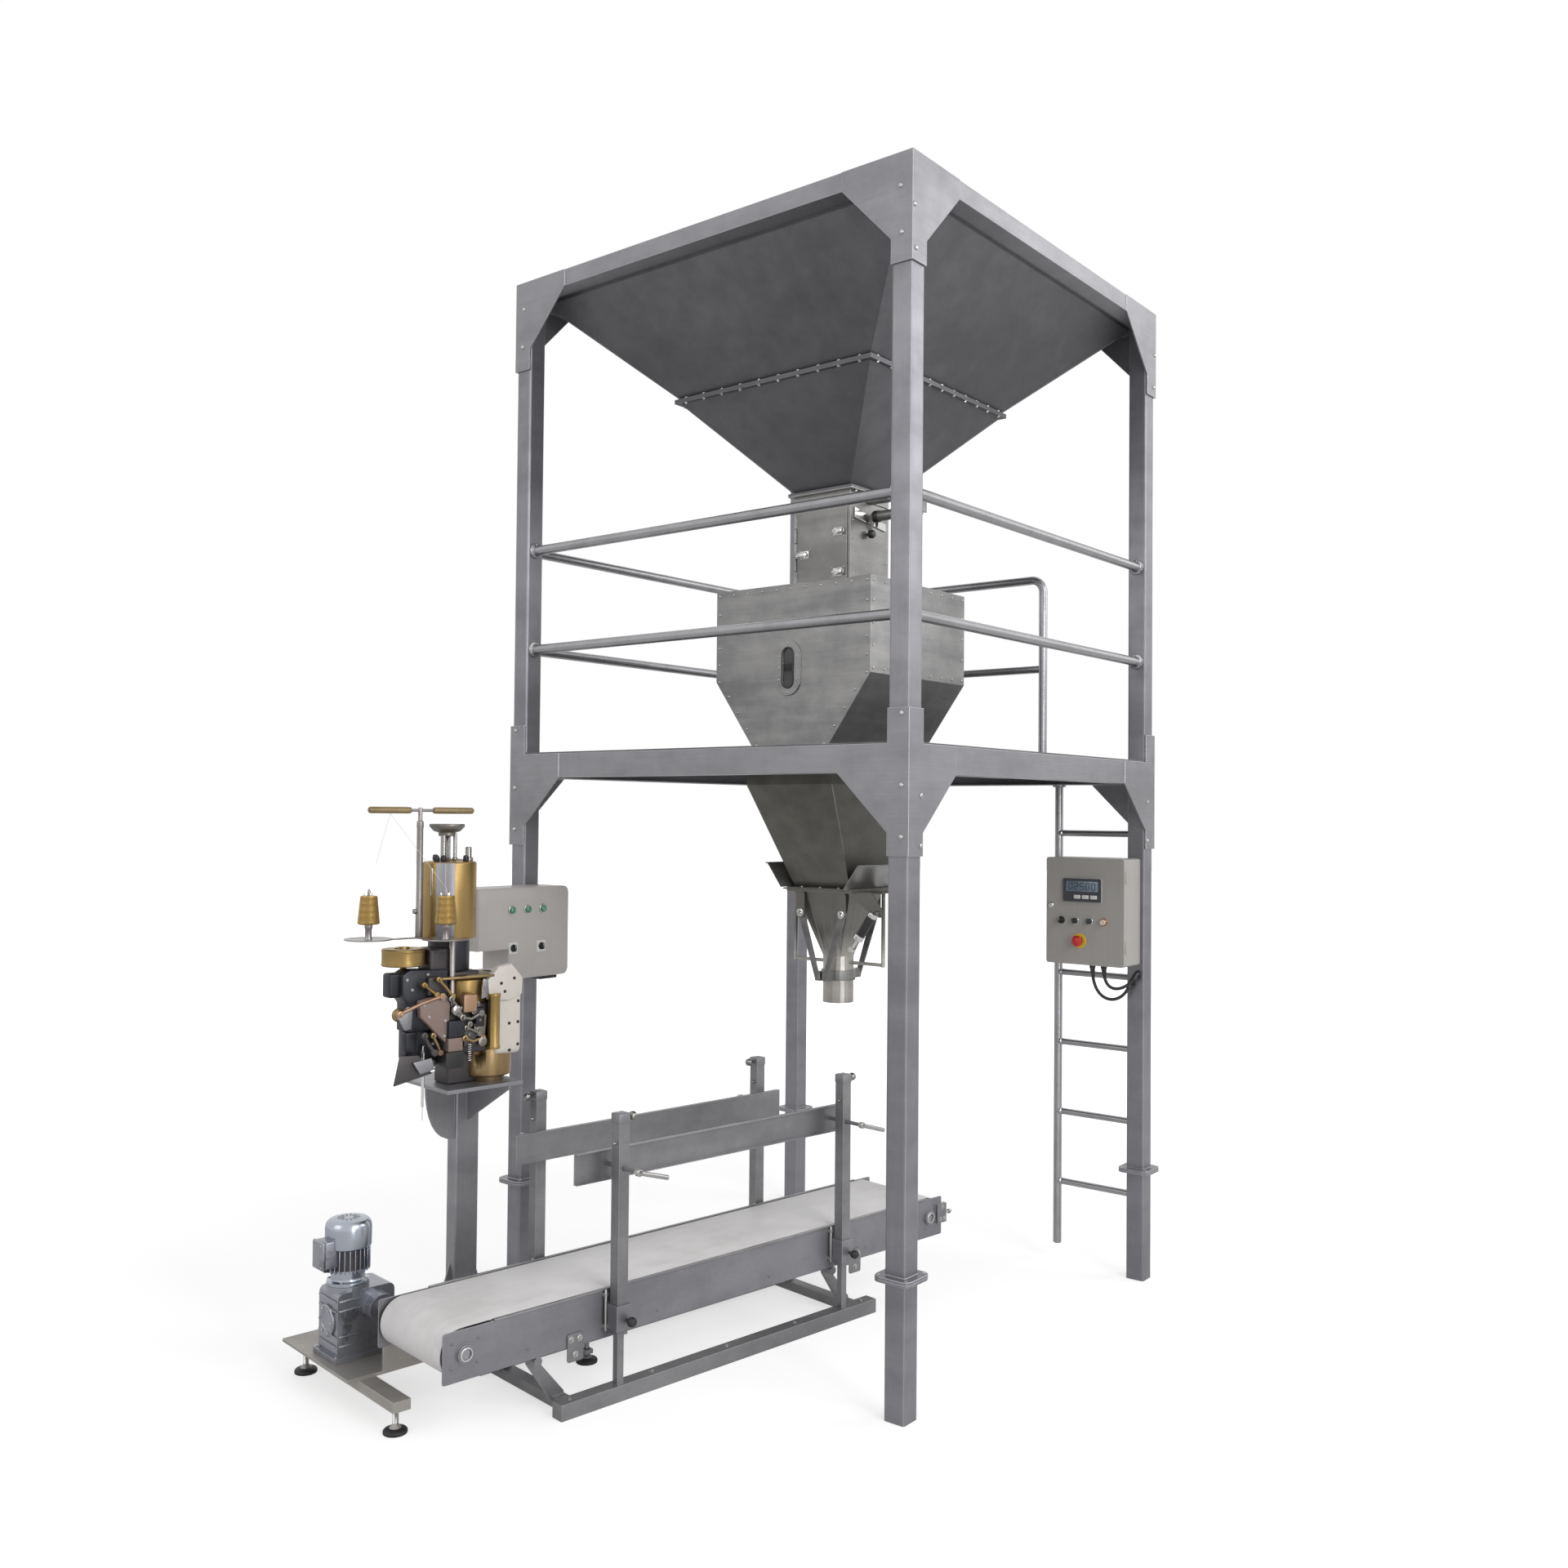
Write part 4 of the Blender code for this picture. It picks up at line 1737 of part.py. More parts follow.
def build_drive():
    """Make the drive base with its feet, the gearbox and the upright motor."""
    low = DRIVE_BASE_TOP - DRIVE_BASE_PLATE
    near = LINE_HALF + GAP
    bed = (DRIVE_BASE_LEFT, DRIVE_BASE_RIGHT)
    base = box("drive_base", bed, (near, DRIVE_BASE_FAR), (low, DRIVE_BASE_TOP), LINE)
    bar = box(
        "drive_bar",
        (DRIVE_BAR_LEFT, DRIVE_BAR_RIGHT),
        (DRIVE_BAR_NEAR, DRIVE_BASE_FAR - EMBED),
        (low - DRIVE_BAR_HEIGHT, low + EMBED),
        LINE,
    )
    ear = box(
        "drive_ear",
        (LINE_LEFT + BED_END, DRIVE_BASE_RIGHT - EMBED),
        (near, near + DRIVE_EAR_PLATE),
        (low + EMBED, ROLLER_Z - SHAFT_DEPTH),
        LINE,
    )
    fuse(base, bar, ear)
    foot_x = (DRIVE_BAR_LEFT + DRIVE_BAR_RIGHT) / 2
    for index, y in enumerate((DRIVE_BAR_NEAR + DRIVE_FOOT_INSET, DRIVE_BASE_FAR - DRIVE_FOOT_INSET)):
        fuse(base, lathe(f"drive_foot_{index}", foot_profile(low), (foot_x, y, 0), (0, 0, 1), LINE, 12))
    finish(base, STEEL)

    bottom = DRIVE_BASE_TOP + GAP
    gearbox = box(
        "drive_gearbox",
        (GEARBOX_LEFT, GEARBOX_RIGHT),
        (GEARBOX_NEAR, GEARBOX_FAR),
        (bottom + GEARBOX_SOLE / 2, GEARBOX_TOP),
        LINE,
        GEARBOX_RADIUS,
        1,
        3,
    )
    hub = rod(
        "gearbox_hub",
        (DRIVE_X, GEARBOX_NEAR + EMBED, ROLLER_Z),
        (DRIVE_X, GEARBOX_NEAR - GEARBOX_HUB, ROLLER_Z),
        GEARBOX_HUB_RADIUS,
        LINE,
        20,
    )
    margin = GEARBOX_SOLE_MARGIN
    sole = box(
        "gearbox_sole",
        (GEARBOX_LEFT - margin, GEARBOX_RIGHT + margin),
        (GEARBOX_NEAR - margin, GEARBOX_FAR + margin),
        (bottom, bottom + GEARBOX_SOLE),
        LINE,
    )
    seat_top = GEARBOX_TOP + GEARBOX_SEAT
    seat_radius = MOTOR_RADIUS * 1.12
    seat = rod(
        "gearbox_seat",
        (MOTOR_X, MOTOR_Y, GEARBOX_TOP - GEARBOX_RADIUS),
        (MOTOR_X, MOTOR_Y, seat_top),
        seat_radius,
        LINE,
        24,
    )
    worm = rod(
        "worm_case",
        (MOTOR_X, GEARBOX_FAR - GEARBOX_RADIUS, WORM_Z),
        (MOTOR_X, GEARBOX_FAR + WORM_REACH, WORM_Z),
        WORM_RADIUS,
        LINE,
        20,
    )
    bore = bore_tool(
        "gearbox_bore",
        (DRIVE_X, GEARBOX_NEAR - GEARBOX_HUB - EMBED, ROLLER_Z),
        (DRIVE_X, GEARBOX_NEAR + SHAFT_DEPTH + 5 * EMBED, ROLLER_Z),
        SHAFT_RADIUS + TURN_CLEARANCE,
        LINE,
        20,
    )
    finish(cut(fuse(gearbox, sole, hub, seat, worm), bore), BRIGHT)

    foot = seat_top + GAP
    body = MOTOR_TOP - foot
    r = MOTOR_RADIUS
    crown = [(0, body), (r * 0.55, body), (r * 0.86, body * 0.97), (r * 0.95, body * 0.89)]
    barrel = [(r * 0.95, body * 0.72), (r * 0.90, body * 0.70), (r * 0.90, body * 0.11)]
    flange = [(r * 1.1, body * 0.09), (r * 1.1, 0), (0, 0)]
    motor = lathe("drive_motor", crown + barrel + flange, (MOTOR_X, MOTOR_Y, foot), (0, 0, 1), LINE, 22)
    terminal = box(
        "terminal_box",
        (MOTOR_X - r - TERMINAL_REACH, MOTOR_X - r * 0.6),
        (MOTOR_Y - TERMINAL_HALF, MOTOR_Y + TERMINAL_HALF),
        (foot + body * 0.30, foot + body * 0.72),
        LINE,
        TERMINAL_RADIUS,
        0,
        2,
    )
    finish(fuse(motor, terminal), BRIGHT)


def build_column():
    """Make the sewing column with its sole, webs, table and brackets."""
    half_x = COLUMN_SIZE_X / 2
    half_y = COLUMN_SIZE_Y / 2
    shelf = HEAD_TABLE_TOP - HEAD_TABLE
    left = COLUMN_X - half_x
    right = COLUMN_X + half_x
    near = COLUMN_Y - half_y
    far = COLUMN_Y + half_y
    column = box(
        "sewing_column",
        (left, right),
        (near, far),
        (COLUMN_BASE / 2, shelf + EMBED),
        LINE,
        COLUMN_RADIUS,
        2,
        2,
    )
    sole = box(
        "column_sole",
        (COLUMN_X - COLUMN_BASE_X / 2, COLUMN_X + COLUMN_BASE_X / 2),
        (COLUMN_Y - COLUMN_BASE_Y / 2, COLUMN_Y + COLUMN_BASE_Y / 2),
        (0, COLUMN_BASE),
        LINE,
    )
    table = box(
        "column_table",
        (HEAD_TABLE_LEFT, right),
        (HEAD_Y - HEAD_TABLE_REACH, far),
        (shelf, HEAD_TABLE_TOP),
        LINE,
    )
    fuse(column, sole, table)
    floor = COLUMN_BASE - EMBED
    for side in (-1, 1):
        root = COLUMN_X + side * (half_x - EMBED)
        toe = COLUMN_X + side * (half_x + COLUMN_WEB_REACH)
        web = [(root, floor), (toe, floor), (toe, COLUMN_WEB_FOOT), (root, COLUMN_WEB_RISE)]
        fuse(column, plate(f"column_web{side}", web, "XZ", COLUMN_Y, COLUMN_WEB, LINE))
    root = left + EMBED
    curve = [(root, shelf + EMBED), (root - COLUMN_BRACKET_REACH, shelf + EMBED)]
    steps = 8
    for index in range(steps + 1):
        angle = math.pi / 2 * index / steps
        x = root - COLUMN_BRACKET_REACH * math.cos(angle) ** 0.8
        curve.append((x, shelf - COLUMN_BRACKET_RIM - COLUMN_BRACKET_DROP * math.sin(angle)))
    fuse(column, plate("column_bracket", curve, "XZ", near + half_y / 2, COLUMN_WEB, LINE))
    tip = HEAD_Y - HEAD_BASE_HALF
    arm = [
        (near + EMBED, shelf + EMBED), (tip, shelf + EMBED),
        (tip, shelf - HEAD_TABLE), (near + EMBED, shelf - COLUMN_ARM_DROP),
    ]
    fuse(column, plate("column_arm", arm, "YZ", COLUMN_X, COLUMN_ARM, LINE))
    wall = COLUMN_WALL
    hollow = box(
        "column_hollow",
        (left + wall, right - wall),
        (near + wall, far - wall),
        (-COLUMN_BASE, shelf - EMBED),
        LINE,
    )
    finish(cut(column, hollow), STEEL)


def build_head():
    """Make the sewing head with its nose, face plate, belt guard and motor saddle."""
    floor = HEAD_TABLE_TOP + GAP
    deck = floor + HEAD_BASE_HEIGHT
    y = HEAD_Y
    head = box(
        "sewing_head",
        (HEAD_BASE_LEFT, HEAD_BASE_RIGHT),
        (y - HEAD_BASE_HALF, y + HEAD_BASE_HALF),
        (floor, deck),
        LINE,
        HEAD_BASE_RADIUS,
        2,
        3,
    )
    body = box(
        "head_body",
        (HEAD_BODY_LEFT, HEAD_BODY_RIGHT),
        (y - HEAD_BODY_NEAR, y + HEAD_BODY_FAR),
        (deck - EMBED, HEAD_BODY_TOP),
        LINE,
        HEAD_BODY_RADIUS,
        1,
        3,
    )
    cover = box(
        "head_cover",
        (HEAD_BODY_RIGHT - 5 * EMBED, HEAD_COVER_RIGHT),
        (y - HEAD_COVER_HALF, y + HEAD_COVER_HALF),
        (deck - 2 * EMBED, HEAD_COVER_TOP),
        LINE,
        HEAD_COVER_RADIUS,
        2,
        3,
    )
    root = HEAD_BODY_LEFT + 5 * EMBED
    reach = HEAD_NOSE_REACH
    low = HEAD_NOSE_LOW
    rise = HEAD_NOSE_TOP - low
    shares = (
        (0, 0.26), (0, 0.90), (0.36, 1.04), (0.94, 1.0), (1.0, 0.68),
        (0.77, 0.45), (0.84, 0.19), (0.68, 0), (0.36, 0),
    )
    outline = [(root - reach * across, low + rise * up) for across, up in shares]
    nose = plate("head_nose", outline, "XZ", y, HEAD_NOSE_WIDTH, LINE)
    shares = ((-0.50, -0.03), (-0.20, 0.44), (0.30, 0.50), (0.50, 0.06), (0.20, -0.44), (-0.20, -0.50))
    outline = [(HEAD_FACE_X + HEAD_FACE_WIDTH * u, HEAD_FACE_Z + HEAD_FACE_HEIGHT * v) for u, v in shares]
    face = plate("head_face", outline, "XZ", HEAD_FACE_Y, HEAD_FACE_PLATE, LINE)
    sunk = HEAD_BODY_TOP - 2 * EMBED
    guard = rod(
        "belt_guard",
        (BELT_GUARD_X, y, sunk),
        (BELT_GUARD_X, y, BELT_GUARD_TOP),
        BELT_GUARD_RADIUS,
        LINE,
        24,
    )
    saddle = box(
        "motor_saddle",
        (SADDLE_LEFT, SADDLE_RIGHT),
        (y - SADDLE_NEAR, y + SADDLE_FAR),
        (sunk, SEW_MOTOR_BOTTOM - GAP),
        LINE,
        SADDLE_RADIUS,
        2,
        2,
    )
    fuse(head, body, cover, nose, face, guard, saddle)
    shaft_low = HEAD_NOSE_TOP - PULLEY_SHAFT_DEPTH
    pulley_bore = bore_tool(
        "pulley_bore",
        (PULLEY_X, y, shaft_low - 5 * EMBED),
        (PULLEY_X, y, HEAD_NOSE_TOP + PULLEY_SHAFT_DEPTH),
        PULLEY_SHAFT_RADIUS + TURN_CLEARANCE,
        LINE,
        10,
    )
    needle_bore = bore_tool(
        "needle_bore",
        (NEEDLE_X, NEEDLE_Y, HEAD_NOSE_LOW - NEEDLE_STROKE),
        (NEEDLE_X, NEEDLE_Y, NEEDLE_TOP + NEEDLE_STROKE),
        NEEDLE_RADIUS + TURN_CLEARANCE,
        LINE,
        10,
    )
    finish(cut(head, pulley_bore, needle_bore), DARK)

    r = PULLEY_RADIUS
    low = PULLEY_BOTTOM
    high = PULLEY_TOP
    rim = (high - low) * 0.22
    groove = r - PULLEY_GROOVE
    shaft = PULLEY_SHAFT_RADIUS
    boss = shaft * 1.7
    profile = [
        (0, high + 3 * EMBED), (boss, high + 3 * EMBED), (boss, high), (r, high), (r, high - rim),
        (groove, high - 1.6 * rim), (groove, low + 1.6 * rim), (r, low + rim), (r, low), (boss, low),
        (shaft, low - 2 * EMBED), (shaft, shaft_low), (0, shaft_low),
    ]
    finish(lathe("sewing_pulley", profile, (PULLEY_X, y, 0), (0, 0, 1), LINE, 18), BRASS)
    tip = NEEDLE_TOP - NEEDLE_LENGTH
    neck = tip + NEEDLE_BLADE
    thin = NEEDLE_RADIUS * 0.3
    profile = [
        (0, NEEDLE_TOP), (NEEDLE_RADIUS, NEEDLE_TOP), (NEEDLE_RADIUS, neck), (thin, neck - 2 * thin),
        (thin, tip + 2 * thin), (0, tip),
    ]
    finish(lathe("needle_bar", profile, (NEEDLE_X, NEEDLE_Y, 0), (0, 0, 1), LINE, 10), BRIGHT)


def build_thread():
    """Make the sewing motor with its dish, the thread stand and the two thread cones."""
    y = HEAD_Y
    r = SEW_MOTOR_RADIUS
    foot = SEW_MOTOR_BOTTOM
    high = SEW_MOTOR_TOP
    neck = r * 0.72
    pin = SEW_SPINDLE_RADIUS
    dish = high + SEW_DISH_RISE
    profile = [
        (0, dish), (SEW_DISH_RADIUS, dish), (SEW_DISH_RADIUS, dish - 3 * EMBED), (2 * pin, dish - 3 * pin),
        (pin, dish - 4 * pin), (pin, high + 6 * EMBED), (r * 0.55, high + 4 * EMBED), (r * 0.91, high),
        (r, high - 5 * EMBED), (r, foot + SEW_MOTOR_NECK), (neck, foot + SEW_MOTOR_NECK * 0.85),
        (neck, foot), (0, foot),
    ]
    finish(lathe("sewing_motor", profile, (SEW_MOTOR_X, SEW_MOTOR_Y, 0), (0, 0, 1), LINE, 18), BRASS)

    tray_low = TRAY_Z - TRAY_PLATE
    arm_z = STAND_TOP - STAND_BAR_RADIUS
    stand = rod("thread_stand", (STAND_X, y, tray_low), (STAND_X, y, STAND_TOP), STAND_RADIUS, LINE, 8)
    prop = rod(
        "stand_prop",
        (PROP_X, PROP_Y, HEAD_BODY_TOP + GAP),
        (PROP_X, PROP_Y, TRAY_Z - EMBED),
        PROP_RADIUS,
        LINE,
        8,
    )
    arm = rod("stand_arm", (STAND_ARM_LEFT, y, arm_z), (STAND_ARM_RIGHT, y, arm_z), STAND_ARM_RADIUS, LINE, 8)
    fuse(stand, prop, arm)
    for label, start in (("a", STAND_ARM_LEFT + EMBED), ("b", STAND_ARM_RIGHT - STAND_BAR - EMBED)):
        bar = rod(
            f"stand_bar_{label}",
            (start, y, arm_z),
            (start + STAND_BAR, y, arm_z),
            STAND_BAR_RADIUS,
            LINE,
            8,
        )
        fuse(stand, bar)
    half = STAND_LINK_HALF
    under = tray_low - EMBED
    over = TRAY_Z - EMBED / 2
    link_a = box("stand_link_a", (CONE_A_X, STAND_X), (y - half, y + half), (under, over), LINE)
    link_b = box(
        "stand_link_b", (STAND_X - half, CONE_B_X), (CONE_B_Y, y), (under + EMBED / 4, over - EMBED / 4), LINE
    )
    link_c = box(
        "stand_link_c",
        (STAND_X, PROP_X + PROP_RADIUS * 0.8),
        (PROP_Y - PROP_RADIUS * 0.8, PROP_Y + PROP_RADIUS * 0.8),
        (under + EMBED / 2, over - EMBED / 3),
        LINE,
    )
    fuse(stand, link_a, link_b, link_c)
    cones = (("a", CONE_A_X, y), ("b", CONE_B_X, CONE_B_Y))
    for label, x, place in cones:
        tray = rod(f"stand_tray_{label}", (x, place, tray_low), (x, place, TRAY_Z), TRAY_RADIUS, LINE, 16)
        spindle = rod(
            f"spindle_{label}",
            (x, place, TRAY_Z - EMBED),
            (x, place, TRAY_Z + SPINDLE_HEIGHT),
            SPINDLE_RADIUS,
            LINE,
            8,
        )
        seat = rod(
            f"spindle_seat_{label}",
            (x, place, TRAY_Z - EMBED / 2),
            (x, place, TRAY_Z + SPINDLE_SEAT),
            SPINDLE_SEAT_RADIUS,
            LINE,
            8,
        )
        fuse(stand, tray, spindle, seat)
    finish(stand, BRIGHT)
    bore = SPINDLE_RADIUS + GAP
    low = TRAY_Z + SPINDLE_SEAT + GAP
    edge = CONE_EDGE
    for label, x, place in cones:
        profile = [
            (bore, CONE_HEIGHT), (CONE_TOP_RADIUS - edge, CONE_HEIGHT), (CONE_TOP_RADIUS, CONE_HEIGHT - edge),
            (CONE_RADIUS, 2 * edge), (CONE_RADIUS - edge, 0), (bore, 0),
        ]
        finish(lathe(f"thread_cone_{label}", profile, (x, place, low), (0, 0, 1), LINE, 16, True), THREAD)


def box_outline(left, right, low, high, margin):
    """List the sewing box's outline: a notch low at the left and round corners at the right."""
    notch_x = left + SEWBOX_NOTCH_X + margin
    notch_z = low + SEWBOX_NOTCH_Z + margin
    radius = SEWBOX_RADIUS - margin
    centre_x = right - margin - radius
    points = [(notch_x, low + margin)]
    for start, z in ((-math.pi / 2, low + margin + radius), (0.0, high - margin - radius)):
        for index in range(SEWBOX_CORNER_STEPS + 1):
            angle = start + math.pi / 2 * index / SEWBOX_CORNER_STEPS
            points.append((centre_x + radius * math.cos(angle), z + radius * math.sin(angle)))
    return points + [(left + margin, high - margin), (left + margin, notch_z), (notch_x, notch_z)]


def build_sewbox():
    """Make the notched control box of the sewing unit and its two selectors."""
    back = INNER_Y - GAP
    front = back - SEWBOX_DEPTH
    right = -INNER_X + SEWBOX_OVERHANG
    left = right - SEWBOX_WIDTH
    low = SEWBOX_BOTTOM
    high = low + SEWBOX_HEIGHT
    wall = SEWBOX_WALL
    middle = (front + back) / 2
    shell = plate("sewing_control_box", box_outline(left, right, low, high, 0.0), "XZ", middle, SEWBOX_DEPTH)
    inner = box_outline(left, right, low, high, wall)
    hollow = plate("sewbox_hollow", inner, "XZ", middle, SEWBOX_DEPTH - 2 * wall)
    gland_x = right - SEWBOX_GLAND_X
    gland_y = front + SEWBOX_GLAND_Y
    gland = rod(
        "sewbox_gland",
        (gland_x, gland_y, low - wall),
        (gland_x, gland_y, low + 2 * wall),
        SEWBOX_GLAND_RADIUS,
    )
    cut(shell, hollow, gland)
    lamp_z = high - LAMP_DROP
    for index in range(LAMP_COUNT):
        x = right - LAMP_FIRST - LAMP_STEP * index
        lamp = rod(
            f"sewbox_lamp_{index}",
            (x, front + wall / 2, lamp_z),
            (x, front - LAMP_LENGTH, lamp_z),
            LAMP_RADIUS,
            end_radius=LAMP_RADIUS * 0.8,
        )
        fuse(shell, lamp)
    knob_z = high - KNOB_DROP
    spots = (right - KNOB_FIRST - KNOB_STEP, right - KNOB_FIRST)
    for index, x in enumerate(spots):
        hole = bore_tool(
            f"sewbox_hole_{index}",
            (x, front - wall, knob_z),
            (x, front + 2 * wall, knob_z),
            BUTTON_STEM + TURN_CLEARANCE,
        )
        cut(shell, hole)
    finish(shell, BEIGE)
    for name, x in zip(("sewing_selector_a", "sewing_selector_b"), spots):
        disc = KNOB_DISC
        profile = [
            (0, disc), (KNOB_RADIUS * 0.9, disc), (KNOB_RADIUS, disc * 0.75), (KNOB_RADIUS, GAP),
            (BUTTON_STEM, GAP), (BUTTON_STEM, -KNOB_STEM), (0, -KNOB_STEM),
        ]
        knob = lathe(name, profile, (x, front, knob_z), (0, -1, 0), steps=12)
        grip = box(
            f"{name}_grip",
            (x - KNOB_RADIUS * 0.32, x + KNOB_RADIUS * 0.32),
            (front - KNOB_LENGTH, front - disc * 0.75),
            (knob_z - KNOB_RADIUS * 0.85, knob_z + KNOB_RADIUS * 0.85),
        )
        finish(fuse(knob, grip), DARK)


def settle():
    """Move the whole part so its origin is at the bottom centre of its bounds, cables left out."""
    bpy.context.view_layer.update()
    graph = bpy.context.evaluated_depsgraph_get()
    low = Vector((math.inf, math.inf, math.inf))
    high = -low
    for obj in PARTS.objects:
        if obj.type != "MESH" or "cable" in obj.name:
            continue
        shape = obj.evaluated_get(graph)
        for vertex in shape.data.vertices:
            place = shape.matrix_world @ vertex.co
            low = Vector(map(min, low, place))
            high = Vector(map(max, high, place))
    ROOT.location = (-(low.x + high.x) / 2, -(low.y + high.y) / 2, -low.z)
    bpy.context.view_layer.update()


build_posts()
build_frame()
build_rails()
build_hopper()
build_chute()
build_weigher()
build_spout()
build_panel()
build_conveyor()
build_base()
build_drive()
build_column()
build_head()
build_thread()
build_sewbox()
settle()
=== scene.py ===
"""Looks of a bag filling, weighing and sewing station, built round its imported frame."""

import json
import logging
import math
from dataclasses import dataclass
from enum import Enum
from typing import Iterable, Optional, Sequence, Union

import bpy
from mathutils import Matrix, Vector

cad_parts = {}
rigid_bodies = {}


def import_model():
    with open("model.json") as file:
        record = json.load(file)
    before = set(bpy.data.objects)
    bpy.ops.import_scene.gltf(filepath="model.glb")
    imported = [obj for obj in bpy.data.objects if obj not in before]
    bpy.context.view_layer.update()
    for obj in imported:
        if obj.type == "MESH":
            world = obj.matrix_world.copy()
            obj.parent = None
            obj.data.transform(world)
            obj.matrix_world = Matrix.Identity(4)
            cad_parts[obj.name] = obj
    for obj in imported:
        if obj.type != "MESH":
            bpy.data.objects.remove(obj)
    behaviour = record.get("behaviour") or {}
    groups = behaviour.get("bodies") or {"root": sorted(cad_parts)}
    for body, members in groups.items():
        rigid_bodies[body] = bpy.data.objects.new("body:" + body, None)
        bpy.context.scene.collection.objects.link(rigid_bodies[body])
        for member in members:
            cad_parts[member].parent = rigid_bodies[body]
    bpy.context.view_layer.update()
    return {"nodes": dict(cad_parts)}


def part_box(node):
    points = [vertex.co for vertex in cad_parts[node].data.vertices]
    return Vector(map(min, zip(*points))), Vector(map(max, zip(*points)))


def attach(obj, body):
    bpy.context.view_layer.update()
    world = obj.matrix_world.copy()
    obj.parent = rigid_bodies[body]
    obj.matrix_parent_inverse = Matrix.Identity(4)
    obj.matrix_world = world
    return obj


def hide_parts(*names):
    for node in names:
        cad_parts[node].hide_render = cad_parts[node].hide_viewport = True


for leftover in list(bpy.data.objects):
    bpy.data.objects.remove(leftover, do_unlink=True)
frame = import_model()

LOG = logging.getLogger("station")
Object = bpy.types.Object
Material = bpy.types.Material
Colour = tuple[float, float, float]
Point = Sequence[float]
Pair = tuple[float, float]
Profile = Sequence[Pair]
Spot = tuple[Point, Point]

# Sides, corners and directions that the loops go through
SIDES = (-1, 1)
CORNERS = ((-1, -1), (-1, 1), (1, -1), (1, 1))
UP, DOWN = (0, 0, 1), (0, 0, -1)
LEFT, RIGHT = (-1, 0, 0), (1, 0, 0)
NEAR, FAR = (0, -1, 0), (0, 1, 0)


def tone(red: int, green: int, blue: int) -> Colour:
    """Turn a display colour of 0 to 255 into the linear one that shaders take."""
    shares = [channel / 255 for channel in (red, green, blue)]
    return tuple(c / 12.92 if c <= 0.04045 else ((c + 0.055) / 1.055) ** 2.4 for c in shares)


# Places


@dataclass(frozen=True)
class Axes:
    """A frame on the floor, turned about the upright."""

    x: float = 0.0
    y: float = 0.0
    yaw: float = 0.0

    def matrix(self) -> Matrix:
        """Give the transform from this frame to the world."""
        return Matrix.Translation((self.x, self.y, 0.0)) @ Matrix.Rotation(self.yaw, 4, "Z")

    def point(self, place: Point) -> Vector:
        """Give a place of this frame in the world."""
        return self.matrix() @ Vector(place)


# The station stands square in the middle of its posts, and the conveyor line is skewed to it
CENTRE = (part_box("post_front_left")[0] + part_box("post_rear_right")[1]) / 2
LINE_SHIFT = -0.0525
LINE_YAW = math.radians(-8.0)
WORLD = Axes()
STATION = Axes(CENTRE.x, CENTRE.y)
LINE = Axes(CENTRE.x, CENTRE.y + LINE_SHIFT, LINE_YAW)


class Plane(Enum):
    """The plane that a plate's outline is drawn in."""

    XY = (0, 1, 2)
    XZ = (0, 2, 1)
    YZ = (1, 2, 0)

    def place(self, across: float, up: float, level: float) -> Vector:
        """Give the point at two outline coordinates and a level.

        Args:
            across: The first outline coordinate.
            up: The second outline coordinate.
            level: The place along the outline's axis.

        Returns:
            The point.
        """
        point = Vector((0.0, 0.0, 0.0))
        for index, value in zip(self.value, (across, up, level)):
            point[index] = value
        return point


# Modelling


